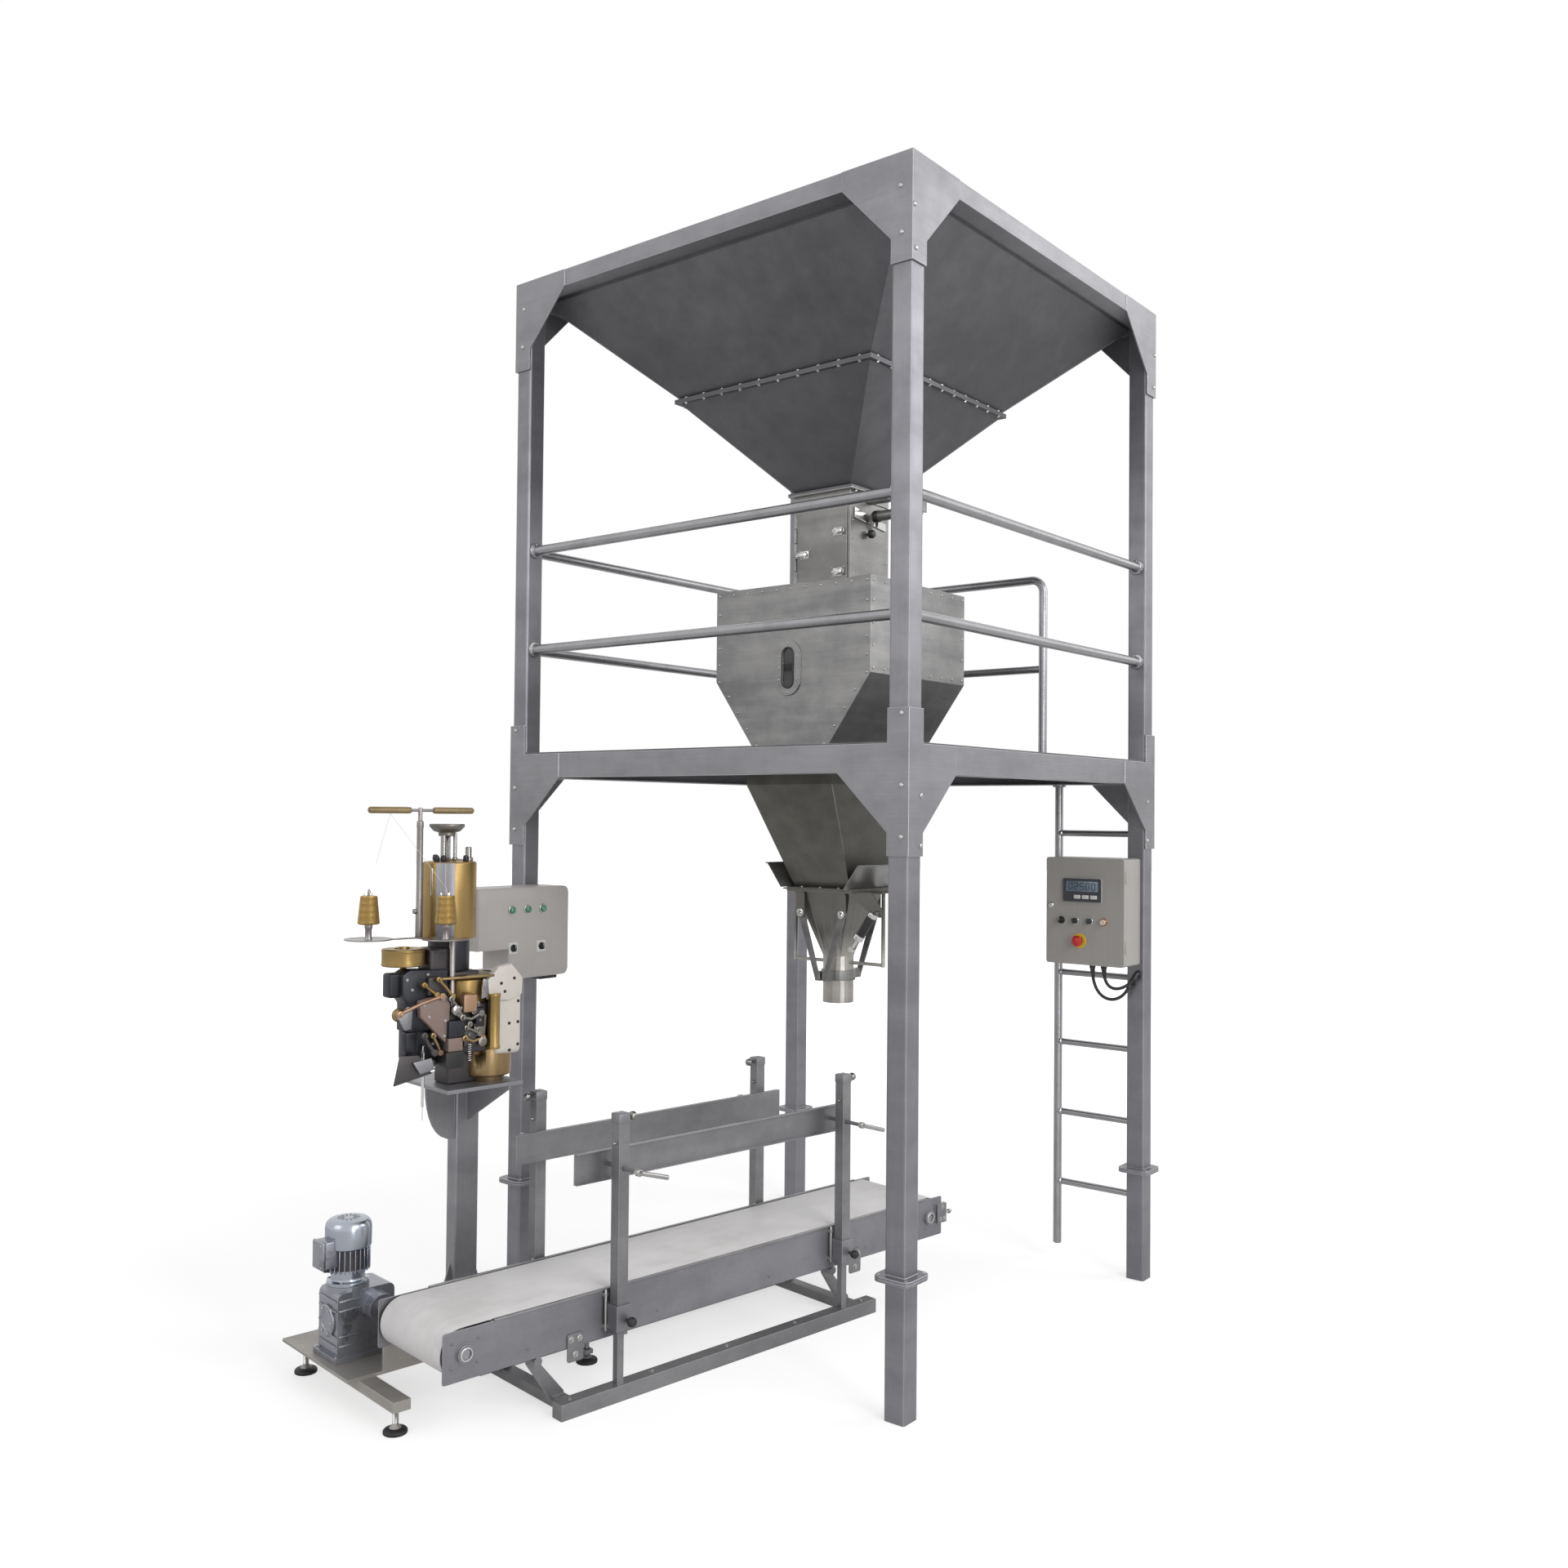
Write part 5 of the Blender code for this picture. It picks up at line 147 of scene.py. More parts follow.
class Bench:
    """A workbench where parts are modelled with Blender's own operators and joined into pieces."""

    loose: list[Object] = []

    @staticmethod
    def clear() -> None:
        """Leave edit mode and deselect everything."""
        active = bpy.context.view_layer.objects.active
        if active and active.mode != "OBJECT":
            bpy.ops.object.mode_set(mode="OBJECT")
        bpy.ops.object.select_all(action="DESELECT")

    @classmethod
    def hold(cls, piece: Object) -> None:
        """Make one piece the only selected and active one.

        Args:
            piece: The piece.
        """
        cls.clear()
        piece.select_set(True)
        bpy.context.view_layer.objects.active = piece

    @classmethod
    def added(cls) -> Object:
        """Lay the part that was just added with the loose ones."""
        cls.loose.append(bpy.context.view_layer.objects.active)
        return cls.loose[-1]

    @classmethod
    def settle(cls, piece: Object, place: Optional[Matrix] = None) -> Object:
        """Put a piece's place into its mesh.

        Args:
            piece: The piece to settle.
            place: A transform to add first.

        Returns:
            The piece, at the origin, unturned and unscaled.
        """
        cls.hold(piece)
        if place is not None:
            piece.matrix_world = place @ piece.matrix_world
        bpy.ops.object.transform_apply(location=True, rotation=True, scale=True)
        return piece

    @classmethod
    def smooth(cls, piece: Object, angle: float = 38.0) -> Object:
        """Shade a piece smooth up to an angle in degrees.

        Args:
            piece: The piece.
            angle: The angle.

        Returns:
            The piece.
        """
        cls.hold(piece)
        bpy.ops.object.shade_smooth_by_angle(angle=math.radians(angle))
        return piece

    @classmethod
    def shaped(cls, piece: Object, kind: str, **settings: object) -> None:
        """Apply one modifier to a piece.

        Args:
            piece: The piece to shape.
            kind: The modifier's type.
            settings: The modifier's own settings.
        """
        cls.hold(piece)
        change = piece.modifiers.new(kind.lower(), kind)
        for key, value in settings.items():
            setattr(change, key, value)
        bpy.ops.object.modifier_apply(modifier=change.name)

    @classmethod
    def ease(cls, piece: Object, width: float, steps: int = 2, angle: float = 32.0) -> Object:
        """Round a piece's edges that turn by more than an angle.

        Args:
            piece: The piece to ease.
            width: The width of the rounding in metres.
            steps: How many faces the rounding has.
            angle: The least angle in degrees.

        Returns:
            The eased piece, shaded smooth.
        """
        if width > 0:
            limit = math.radians(angle)
            cls.shaped(piece, "BEVEL", width=width, segments=steps, limit_method="ANGLE", angle_limit=limit)
        return cls.smooth(piece)

    @classmethod
    def outward(cls, piece: Object, merge: float = 0.0) -> None:
        """Merge doubles closer than a distance, if any, and turn all faces outwards.

        Args:
            piece: The piece.
            merge: The distance, where doubles are merged.
        """
        cls.hold(piece)
        bpy.ops.object.mode_set(mode="EDIT")
        bpy.ops.mesh.select_all(action="SELECT")
        if merge > 0:
            bpy.ops.mesh.remove_doubles(threshold=merge)
        bpy.ops.mesh.normals_make_consistent(inside=False)
        bpy.ops.object.mode_set(mode="OBJECT")

    @classmethod
    def block(cls, low: Point, high: Point, ease: float = 0.002, steps: int = 2) -> Object:
        """Make a block.

        Args:
            low: Its lowest corner.
            high: Its highest corner.
            ease: The rounding of its edges.
            steps: How many faces that rounding has.

        Returns:
            The block.
        """
        low, high = Vector(low), Vector(high)
        cls.clear()
        bpy.ops.mesh.primitive_cube_add(size=1.0, location=(low + high) / 2)
        piece = cls.added()
        piece.scale = high - low
        return cls.ease(cls.settle(piece), ease, steps)

    @classmethod
    def turned(
        cls, profile: Profile, base: Point = (0, 0, 0), axis: Point = UP, sides: int = 32,
        ease: float = 0.0, hollow: bool = False,
    ) -> Object:
        """Turn a part from radii and heights, as on a lathe.

        Args:
            profile: Radius and height of each step, from the base up.
            base: The point that height zero sits at.
            axis: The direction that heights go in.
            sides: How many sides the round has.
            ease: The rounding of its edges.
            hollow: True where the profile is a closed run, which makes a ring.

        Returns:
            The turned part.
        """
        cls.clear()
        radius, height = profile[0]
        fill = "NOTHING" if hollow else "NGON"
        bpy.ops.mesh.primitive_circle_add(vertices=sides, radius=radius, fill_type=fill)
        piece = cls.added()
        bpy.ops.object.mode_set(mode="EDIT")
        bpy.ops.mesh.select_all(action="SELECT")
        bpy.ops.transform.translate(value=(0.0, 0.0, height))
        for wide, high in [*profile[1:], *profile[:1 if hollow else 0]]:
            bpy.ops.mesh.extrude_region_move(TRANSFORM_OT_translate={"value": (0.0, 0.0, high - height)})
            share = wide / radius
            if abs(share - 1) > 1e-6:
                bpy.ops.transform.resize(value=(share, share, 1.0), center_override=(0.0, 0.0, high))
            radius, height = wide, high
        bpy.ops.object.mode_set(mode="OBJECT")
        cls.outward(piece, 1e-6 if hollow else 0.0)
        aim = Vector(axis).to_track_quat("Z", "Y").to_matrix().to_4x4()
        cls.settle(piece, Matrix.Translation(base) @ aim)
        return cls.ease(piece, ease)

    @classmethod
    def plate(
        cls, outline: Profile, plane: Plane, level: float, thick: float, ease: float = 0.001,
    ) -> Object:
        """Cut a plate from an outline.

        Args:
            outline: The outline's points, in order.
            plane: The plane that the outline is drawn in.
            level: Where the plate's middle is across that plane.
            thick: The plate's thickness.
            ease: The rounding of its edges.

        Returns:
            The plate.
        """
        piece = cls.outlined([plane.place(u, v, level - thick / 2) for u, v in outline], "NGON")
        cls.pulled(piece, plane.place(0.0, 0.0, thick))
        return cls.ease(piece, ease)

    @classmethod
    def outlined(cls, points: Sequence[Vector], fill: str) -> Object:
        """Draw a closed outline through points, filled or not.

        Args:
            points: The outline's points, in order.
            fill: The kind of face that fills it, or NOTHING.

        Returns:
            The outline.
        """
        cls.clear()
        bpy.ops.mesh.primitive_circle_add(vertices=len(points), radius=1.0, fill_type=fill)
        for vertex, point in zip(cls.added().data.vertices, points):
            vertex.co = point
        return cls.loose[-1]

    @classmethod
    def pulled(cls, piece: Object, way: Point) -> None:
        """Extrude a whole outline one way.

        Args:
            piece: The outline, which is the active piece.
            way: How far it goes along each axis.
        """
        bpy.ops.object.mode_set(mode="EDIT")
        bpy.ops.mesh.select_all(action="SELECT")
        bpy.ops.mesh.extrude_region_move(TRANSFORM_OT_translate={"value": tuple(way)})
        bpy.ops.object.mode_set(mode="OBJECT")
        cls.outward(piece)

    @classmethod
    def tube(cls, path: Sequence[Point], radius: float, rounds: int = 4) -> Object:
        """Draw a round bar and make it a mesh.

        Args:
            path: The points that it follows.
            radius: The bar's radius.
            rounds: How finely it is round.

        Returns:
            The bar.
        """
        cls.hold(drawn("bar", path, radius, rounds))
        bpy.ops.object.convert(target="MESH")
        piece = cls.added()
        cls.outward(piece, 1e-7)
        return cls.smooth(piece)

    @classmethod
    def take(cls, name: str) -> Object:
        """Join the loose parts into one named piece.

        Args:
            name: The piece's name.

        Returns:
            The piece.
        """
        parts, cls.loose = cls.loose, []
        cls.hold(parts[0])
        for part in parts:
            part.select_set(True)
        if len(parts) > 1:
            bpy.ops.object.join()
        parts[0].name = name
        parts[0].data.name = name
        return cls.settle(parts[0])

    @classmethod
    def copies(cls, master: Object, places: Iterable[Matrix]) -> None:
        """Lay copies of a master with the loose parts, each at its place.

        Args:
            master: The part that is copied.
            places: The place of each copy.
        """
        for place in places:
            twin = master.copy()
            twin.data = master.data.copy()
            twin.matrix_world = place
            bpy.context.scene.collection.objects.link(twin)
            cls.loose.append(twin)

    @classmethod
    def cut(cls) -> None:
        """Cut the last loose part out of the one before it."""
        tool = cls.loose.pop()
        cls.shaped(cls.loose[-1], "BOOLEAN", operation="DIFFERENCE", object=tool, solver="EXACT")
        bpy.data.objects.remove(tool, do_unlink=True)

    @classmethod
    def shelve(cls) -> Object:
        """Join the loose parts into a master that stays out of the scene, to be copied later.

        Returns:
            The master.
        """
        master = cls.take("master")
        for holder in list(master.users_collection):
            holder.objects.unlink(master)
        return master


block, turned, plate, tube = Bench.block, Bench.turned, Bench.plate, Bench.tube


def drawn(name: str, path: Sequence[Point], radius: float, rounds: int) -> Object:
    """Draw an open curve of one spline with a round section.

    Args:
        name: The curve's name.
        path: The points that it follows.
        radius: The section's radius.
        rounds: How finely the section is round.

    Returns:
        The curve, in the scene.
    """
    curve = bpy.data.curves.new(name, "CURVE")
    curve.dimensions = "3D"
    curve.bevel_depth = radius
    curve.bevel_resolution = rounds
    curve.use_fill_caps = True
    spline = curve.splines.new("POLY")
    spline.points.add(len(path) - 1)
    for point, place in zip(spline.points, path):
        point.co = (*place, 1.0)
    piece = bpy.data.objects.new(name, curve)
    bpy.context.scene.collection.objects.link(piece)
    return piece


def circle(count: int, radius: float, start: float = 0.0) -> list[Pair]:
    """List points evenly spread round a circle, from a starting angle."""
    angles = [start + math.tau * index / count for index in range(count)]
    return [(radius * math.cos(angle), radius * math.sin(angle)) for angle in angles]


def arc(middle: Pair, radius: float, start: float, sweep: float, steps: int) -> list[Pair]:
    """List an arc's points with both ends, from a starting angle through a sweep in even steps."""
    angles = [start + sweep * index / steps for index in range(steps + 1)]
    return [(middle[0] + radius * math.cos(a), middle[1] + radius * math.sin(a)) for a in angles]


def oblong(middle: Pair, width: float, height: float) -> list[Pair]:
    """List an upright oblong's outline with half-round ends.

    Args:
        middle: The oblong's middle.
        width: Its width.
        height: Its height, with the ends.

    Returns:
        The points, in order.
    """
    (across, up), radius = middle, width / 2
    rise = height / 2 - radius
    ends = ((0.0, rise), (math.pi, -rise))
    return [point for start, lift in ends for point in arc((across, up + lift), radius, start, math.pi, 14)]


def rounded(low: Pair, high: Pair, radius: float) -> list[Pair]:
    """List a rectangle's outline with round corners, between two corners.

    Args:
        low: The lower corner.
        high: The upper corner.
        radius: The radius of the round corners.

    Returns:
        The points, in order.
    """
    right, left = high[0] - radius, low[0] + radius
    top, foot = high[1] - radius, low[1] + radius
    middles = ((right, top), (left, top), (left, foot), (right, foot))
    quarter = math.pi / 2
    corners = [arc(middle, radius, quarter * turn, quarter, 5) for turn, middle in enumerate(middles)]
    return [point for corner in corners for point in corner]


def along(start: Point, end: Point, count: int) -> list[Vector]:
    """List evenly spread points from a start to an end."""
    start, end = Vector(start), Vector(end)
    return [start.lerp(end, index / (count - 1)) for index in range(count)]


# Shading

Link = Union["Value", float, Point]


class Value:
    """A shader socket whose numbers take Python's arithmetic."""

    def __init__(self, shader: "Shader", socket: bpy.types.NodeSocket) -> None:
        """Hold a socket of a shader."""
        self.shader = shader
        self.socket = socket

    def _math(self, operation: str, first: Link, second: Link) -> "Value":
        """Add a Math node."""
        return self.shader.node("ShaderNodeMath", {"operation": operation}, {0: first, 1: second})

    def __add__(self, other: Link) -> "Value":
        """Add."""
        return self._math("ADD", self, other)

    def __sub__(self, other: Link) -> "Value":
        """Subtract."""
        return self._math("SUBTRACT", self, other)

    def __rsub__(self, other: Link) -> "Value":
        """Subtract from a number."""
        return self._math("SUBTRACT", other, self)

    def __mul__(self, other: Link) -> "Value":
        """Multiply."""
        return self._math("MULTIPLY", self, other)

    def __pow__(self, other: Link) -> "Value":
        """Raise to a power."""
        return self._math("POWER", self, other)

    __radd__ = __add__
    __rmul__ = __mul__

    def spread(self, low: float, high: float) -> "Value":
        """Ease from 0 at low to 1 at high."""
        settings = {"interpolation_type": "SMOOTHSTEP"}
        return self.shader.node("ShaderNodeMapRange", settings, {0: self, 1: low, 2: high, 3: 0.0, 4: 1.0})


class Shader:
    """The nodes of one material or world under construction."""

    def __init__(self, holder: Union[Material, bpy.types.World]) -> None:
        """Empty the nodes of a material or world.

        Args:
            holder: The material or world.
        """
        holder.use_nodes = True
        self.holder = holder
        self.tree = holder.node_tree
        self.tree.nodes.clear()

    def raw(
        self, kind: str, settings: Optional[dict] = None, sockets: Optional[dict] = None
    ) -> bpy.types.Node:
        """Add a node.

        Args:
            kind: The node's type.
            settings: Its own settings, set first.
            sockets: A value or a link for each socket, by name or number.

        Returns:
            The node.
        """
        made = self.tree.nodes.new(kind)
        for key, value in (settings or {}).items():
            setattr(made, key, value)
        for key, value in (sockets or {}).items():
            if isinstance(value, Value):
                self.tree.links.new(value.socket, made.inputs[key])
            else:
                made.inputs[key].default_value = value
        return made

    def node(
        self, kind: str, settings: Optional[dict] = None, sockets: Optional[dict] = None,
        out: Union[int, str] = 0,
    ) -> Value:
        """Add a node and give one of its outputs."""
        return Value(self, self.raw(kind, settings, sockets).outputs[out])

    def coords(self, stretch: Point = (1, 1, 1), turn: float = 0.0) -> Value:
        """Give the piece's own coordinates, turned and stretched."""
        spot = self.node("ShaderNodeTexCoord", out="Object")
        return self.node("ShaderNodeMapping", sockets={0: spot, "Rotation": (0, 0, turn), "Scale": stretch})

    def noise(self, spot: Value, scale: float, detail: float = 3.0, rough: float = 0.55) -> Value:
        """Give a noise pattern from 0 to 1."""
        sockets = {"Vector": spot, "Scale": scale, "Detail": detail, "Roughness": rough}
        return self.node("ShaderNodeTexNoise", sockets=sockets)

    def mix(self, first: Link, second: Link, share: Link) -> Value:
        """Mix two colours by a share of the second.

        Args:
            first: The first colour.
            second: The second colour.
            share: The second colour's share.

        Returns:
            The mixed colour.
        """
        colours = [colour if isinstance(colour, Value) else (*colour, 1.0) for colour in (first, second)]
        sockets = {0: share, 6: colours[0], 7: colours[1]}
        return self.node("ShaderNodeMix", {"data_type": "RGBA"}, sockets, 2)

    def wave(self, spot: Value, along: str, scale: float, bend: float = 0.0) -> Value:
        """Give bands along one axis, bent a little or not."""
        sockets = {"Vector": spot, "Scale": scale, "Distortion": bend}
        return self.node("ShaderNodeTexWave", {"bands_direction": along}, sockets)

    def rounding(self, radius: float) -> Value:
        """Give a normal that rounds the hard edges of a folded piece."""
        return self.node("ShaderNodeBevel", {"samples": 4}, {"Radius": radius})

    def edge(self, normal: Value) -> Value:
        """Give a mask of the edges that a rounding turns.

        Args:
            normal: The rounded normal.

        Returns:
            The mask.
        """
        flat = self.node("ShaderNodeNewGeometry", out="Normal")
        sockets = {0: normal, 1: flat}
        dot = self.node("ShaderNodeVectorMath", {"operation": "DOT_PRODUCT"}, sockets, "Value")
        return (1 - dot).spread(0.015, 0.22)

    def bump(self, height: Value, strength: float, distance: float, normal: Optional[Value] = None) -> Value:
        """Give a normal that a height pattern bends.

        Args:
            height: The pattern.
            strength: How strongly it bends.
            distance: How high the pattern is.
            normal: The normal to start from, where it is not the piece's own.

        Returns:
            The bent normal.
        """
        sockets = {"Strength": strength, "Distance": distance, "Height": height}
        if normal is not None:
            sockets["Normal"] = normal
        return self.node("ShaderNodeBump", sockets=sockets)

    def finish(self, **sockets: Link) -> Material:
        """Close the material with one shader.

        Args:
            sockets: The shader's sockets, with _ for a space in their names.

        Returns:
            The finished material.
        """
        named = {key.replace("_", " "): value for key, value in sockets.items()}
        for key, value in named.items():
            if key.endswith("Color") and not isinstance(value, Value):
                named[key] = (*value, 1.0)
        surface = self.node("ShaderNodeBsdfPrincipled", sockets=named)
        self.raw("ShaderNodeOutputMaterial", sockets={"Surface": surface})
        return self.holder


class Grain(Enum):
    """Which way a sheet is brushed."""

    UPRIGHT = (380.0, 380.0, 6.0)
    LEVEL = (6.0, 6.0, 380.0)
    LENGTH = (6.0, 380.0, 380.0)
    EVEN = (170.0, 170.0, 170.0)


@dataclass(frozen=True)
class Finish:
    """A finish that becomes one material, made once."""

    name: str
    colour: Colour

    def material(self) -> Material:
        """Give the finish's material."""
        found = bpy.data.materials.get(self.name)
        return found if found else self.mixed(Shader(bpy.data.materials.new(self.name)))

    def mixed(self, shader: Shader) -> Material:
        """Mix the material; each kind of finish does so in its own way."""
        raise NotImplementedError


@dataclass(frozen=True)
class SheetSteel(Finish):
    """Brushed or dull sheet steel with soft clouds, and edges lightened by wear and a painted highlight."""

    shade: Colour
    grain: Grain = Grain.UPRIGHT
    rough: float = 0.40
    metal: float = 0.72
    bands: float = 5.0
    edge: float = 0.0022
    shine: float = 0.55
    turn: float = 0.0
    painted_shade_above: float = 0.0

    def mixed(self, shader: Shader) -> Material:
        """Mix grain, clouds, faint streaks, painted shade above a set height, and edges lightened by wear
        and a painted highlight.

        Args:
            shader: The shader to mix it in.

        Returns:
            The material.
        """
        spot = shader.coords(turn=self.turn)
        hair = shader.noise(shader.coords(self.grain.value, self.turn), 1.0, 3.0, 0.62)
        cloud = shader.noise(shader.coords((1.1, 1.1, self.bands), self.turn), 1.0, 4.0, 0.6)
        smear = shader.noise(spot, 11.0, 5.0, 0.62)
        speck = shader.noise(spot, 190.0, 2.0, 0.5).spread(0.66, 0.78)
        soft = shader.rounding(self.edge)
        rim = shader.edge(soft)
        body = shader.mix(self.colour, self.shade, (cloud * 0.75 + smear * 0.35 - 0.05).spread(0.34, 0.68))
        body = shader.mix(body, tuple(c * 0.72 for c in self.shade), hair.spread(0.30, 0.72) * 0.16)
        body = shader.mix(body, tuple(c * 0.55 for c in self.shade), speck * 0.30)
        # Painted shade: the colour darkens above a set height.
        if self.painted_shade_above:
            height = shader.node("ShaderNodeSeparateXYZ", sockets={0: shader.coords()}, out="Z")
            shadow = height.spread(self.painted_shade_above, self.painted_shade_above + 0.12)
            body = shader.mix(body, tuple(c * 0.42 for c in self.shade), shadow * 0.85)
        # The edges lighten partly for wear and partly as a painted highlight, as strongly as shine says.
        bright = tuple(min(c * 2.0 + 0.10, 0.9) for c in self.colour)
        body = shader.mix(body, bright, rim * self.shine)
        rough = hair * 0.14 + smear * 0.16 + (self.rough - 0.15)
        normal = shader.bump(hair * 0.7 + smear * 0.3, 0.06, 0.0006, soft)
        return shader.finish(Base_Color=body, Roughness=rough, Metallic=self.metal, Normal=normal)


@dataclass(frozen=True)
class Polished(Finish):
    """Turned or drawn metal with fine scratches, finger marks and tarnish."""

    tarnish: Colour = (0.10, 0.09, 0.08)
    rough: float = 0.20
    metal: float = 0.95
    age: float = 0.35
    stretch: Point = (90.0, 90.0, 420.0)

    def mixed(self, shader: Shader) -> Material:
        """Mix tool marks, smudges and tarnish in patches.

        Args:
            shader: The shader to mix it in.

        Returns:
            The material.
        """
        spot = shader.coords()
        marks = shader.noise(shader.coords(self.stretch), 1.0, 3.0, 0.6)
        smudge = shader.noise(spot, 26.0, 4.0, 0.6)
        patch = shader.noise(spot, 9.0, 5.0, 0.65)
        body = shader.mix(self.colour, self.tarnish, patch.spread(0.46, 0.78) * self.age)
        body = shader.mix(body, tuple(c * 0.7 for c in self.colour), marks.spread(0.35, 0.75) * 0.22)
        rough = smudge * 0.18 + marks * 0.10 + (self.rough - 0.12)
        normal = shader.bump(marks, 0.10, 0.0004)
        return shader.finish(Base_Color=body, Roughness=rough, Metallic=self.metal, Normal=normal)


@dataclass(frozen=True)
class Casting(Finish):
    """Cast and painted or raw metal with a grainy skin and oil in its hollows."""

    oil: Colour = (0.02, 0.018, 0.016)
    rough: float = 0.48
    metal: float = 0.55
    skin: float = 0.30

    def mixed(self, shader: Shader) -> Material:
        """Mix the skin's grain, oily patches and rubbed edges.

        Args:
            shader: The shader to mix it in.

        Returns:
            The material.
        """
        spot = shader.coords()
        grit = shader.noise(spot, 420.0, 3.0, 0.6)
        lump = shader.noise(spot, 60.0, 3.0, 0.5)
        oil = shader.noise(spot, 13.0, 5.0, 0.62).spread(0.50, 0.74)
        soft = shader.rounding(0.0016)
        rim = shader.edge(soft)
        body = shader.mix(self.colour, self.oil, oil * 0.55)
        pale = tuple(min(c * 1.6 + 0.03, 0.9) for c in self.colour)
        body = shader.mix(body, pale, grit.spread(0.4, 0.8) * 0.25)
        body = shader.mix(body, tuple(min(c * 2.0 + 0.10, 0.9) for c in self.colour), rim * 0.45)
        rough = grit * 0.12 + (self.rough - 0.06) - oil * 0.16
        normal = shader.bump(grit * 0.5 + lump * 0.5, self.skin, 0.0006, soft)
        return shader.finish(Base_Color=body, Roughness=rough, Metallic=self.metal, Normal=normal)


@dataclass(frozen=True)
class Enamel(Finish):
    """Sprayed enamel with a fine peel, dust and chips on its edges."""

    dust: Colour = (0.30, 0.27, 0.24)
    rough: float = 0.42
    worn: Colour = (0.42, 0.40, 0.37)

    def mixed(self, shader: Shader) -> Material:
        """Mix the peel, dust in clouds and rubbed edges.

        Args:
            shader: The shader to mix it in.

        Returns:
            The material.
        """
        spot = shader.coords()
        peel = shader.noise(spot, 520.0, 2.0, 0.5)
        dust = shader.noise(spot, 7.0, 5.0, 0.65)
        drip = shader.noise(shader.coords((46.0, 46.0, 3.0)), 1.0, 3.0, 0.6)
        soft = shader.rounding(0.0018)
        rim = shader.edge(soft)
        body = shader.mix(self.colour, self.dust, dust.spread(0.42, 0.80) * 0.30)
        body = shader.mix(body, tuple(c * 0.8 for c in self.colour), drip.spread(0.5, 0.8) * 0.22)
        body = shader.mix(body, self.worn, rim * 0.35)
        rough = dust * 0.16 + peel * 0.08 + (self.rough - 0.10)
        normal = shader.bump(peel, 0.12, 0.0004, soft)
        return shader.finish(Base_Color=body, Roughness=rough, Normal=normal, Coat_Weight=0.12)


@dataclass(frozen=True)
class Moulded(Finish):
    """Moulded plastic or rubber with a fine skin."""

    rough: float = 0.42
    dust: float = 0.20
    coat: float = 0.0
    grainy: float = 300.0

    def mixed(self, shader: Shader) -> Material:
        """Mix the mould's skin with dust and faint scuffs.

        Args:
            shader: The shader to mix it in.

        Returns:
            The material.
        """
        spot = shader.coords()
        skin = shader.noise(spot, self.grainy, 2.0, 0.5)
        dust = shader.noise(spot, 35.0, 4.0, 0.6)
        pale = tuple(min(c * 1.5 + 0.05, 0.9) for c in self.colour)
        body = shader.mix(self.colour, pale, dust.spread(0.45, 0.8) * self.dust)
        body = shader.mix(body, tuple(c * 0.6 for c in self.colour), skin.spread(0.45, 0.8) * 0.25)
        rough = dust * 0.2 + skin * 0.1 + (self.rough - 0.15)
        normal = shader.bump(skin, 0.15, 0.0004)
        return shader.finish(Base_Color=body, Roughness=rough, Normal=normal, Coat_Weight=self.coat)


@dataclass(frozen=True)
class Belting(Finish):
    """A woven and coated belt with faint tracks and dirt along the run."""

    dirt: Colour
    turn: float = 0.0

    def mixed(self, shader: Shader) -> Material:
        """Mix the weave with tracks along the belt and dirt.

        Args:
            shader: The shader to mix it in.

        Returns:
            The material.
        """
        spot = shader.coords(turn=self.turn)
        warp = shader.wave(spot, "Y", 420.0, 0.4)
        weft = shader.wave(spot, "X", 380.0, 0.4)
        track = shader.noise(shader.coords((1.2, 42.0, 6.0), self.turn), 1.0, 3.0, 0.6)
        cloud = shader.noise(spot, 4.5, 5.0, 0.62)
        body = shader.mix(self.colour, self.dirt, (cloud * 0.9 + track * 0.2).spread(0.42, 0.78) * 0.5)
        body = shader.mix(body, self.dirt, shader.noise(spot, 60.0, 3.0).spread(0.66, 0.80) * 0.35)
        normal = shader.bump(warp * 0.5 + weft * 0.5, 0.05, 0.0003)
        return shader.finish(Base_Color=body, Roughness=cloud * 0.2 + 0.48, Normal=normal)


@dataclass(frozen=True)
class Winding(Finish):
    """Glossy thread wound on a cone."""

    valley: Colour

    def mixed(self, shader: Shader) -> Material:
        """Mix strands that rise round the cone, with painted shade between them.

        Args:
            shader: The shader to mix it in.

        Returns:
            The material.
        """
        spot = shader.coords()
        strand = shader.wave(spot, "Z", 210.0, 1.2)
        fuzz = shader.noise(spot, 420.0, 3.0, 0.6)
        # The valley colour between the strands is painted shade.
        body = shader.mix(self.valley, self.colour, strand.spread(0.1, 0.75))
        body = shader.mix(body, tuple(min(c * 1.4, 0.9) for c in self.colour), fuzz.spread(0.5, 0.8) * 0.4)
        normal = shader.bump(strand * 0.7 + fuzz * 0.3, 0.4, 0.0006)
        return shader.finish(Base_Color=body, Roughness=fuzz * 0.2 + 0.22, Metallic=0.7, Normal=normal)


@dataclass(frozen=True)
class Pane(Finish):
    """A dark or tinted pane with a clear gloss and dust behind it."""

    deep: Colour
    rough: float = 0.10

    def mixed(self, shader: Shader) -> Material:
        """Mix a dim depth and smears under a gloss coat.

        Args:
            shader: The shader to mix it in.

        Returns:
            The material.
        """
        spot = shader.coords()
        haze = shader.noise(shader.coords((9.0, 9.0, 4.0)), 1.0, 4.0, 0.6)
        smear = shader.noise(spot, 70.0, 3.0, 0.6)
        body = shader.mix(self.colour, self.deep, haze.spread(0.35, 0.7))
        return shader.finish(Base_Color=body, Roughness=smear * 0.14 + self.rough, Coat_Weight=0.5)


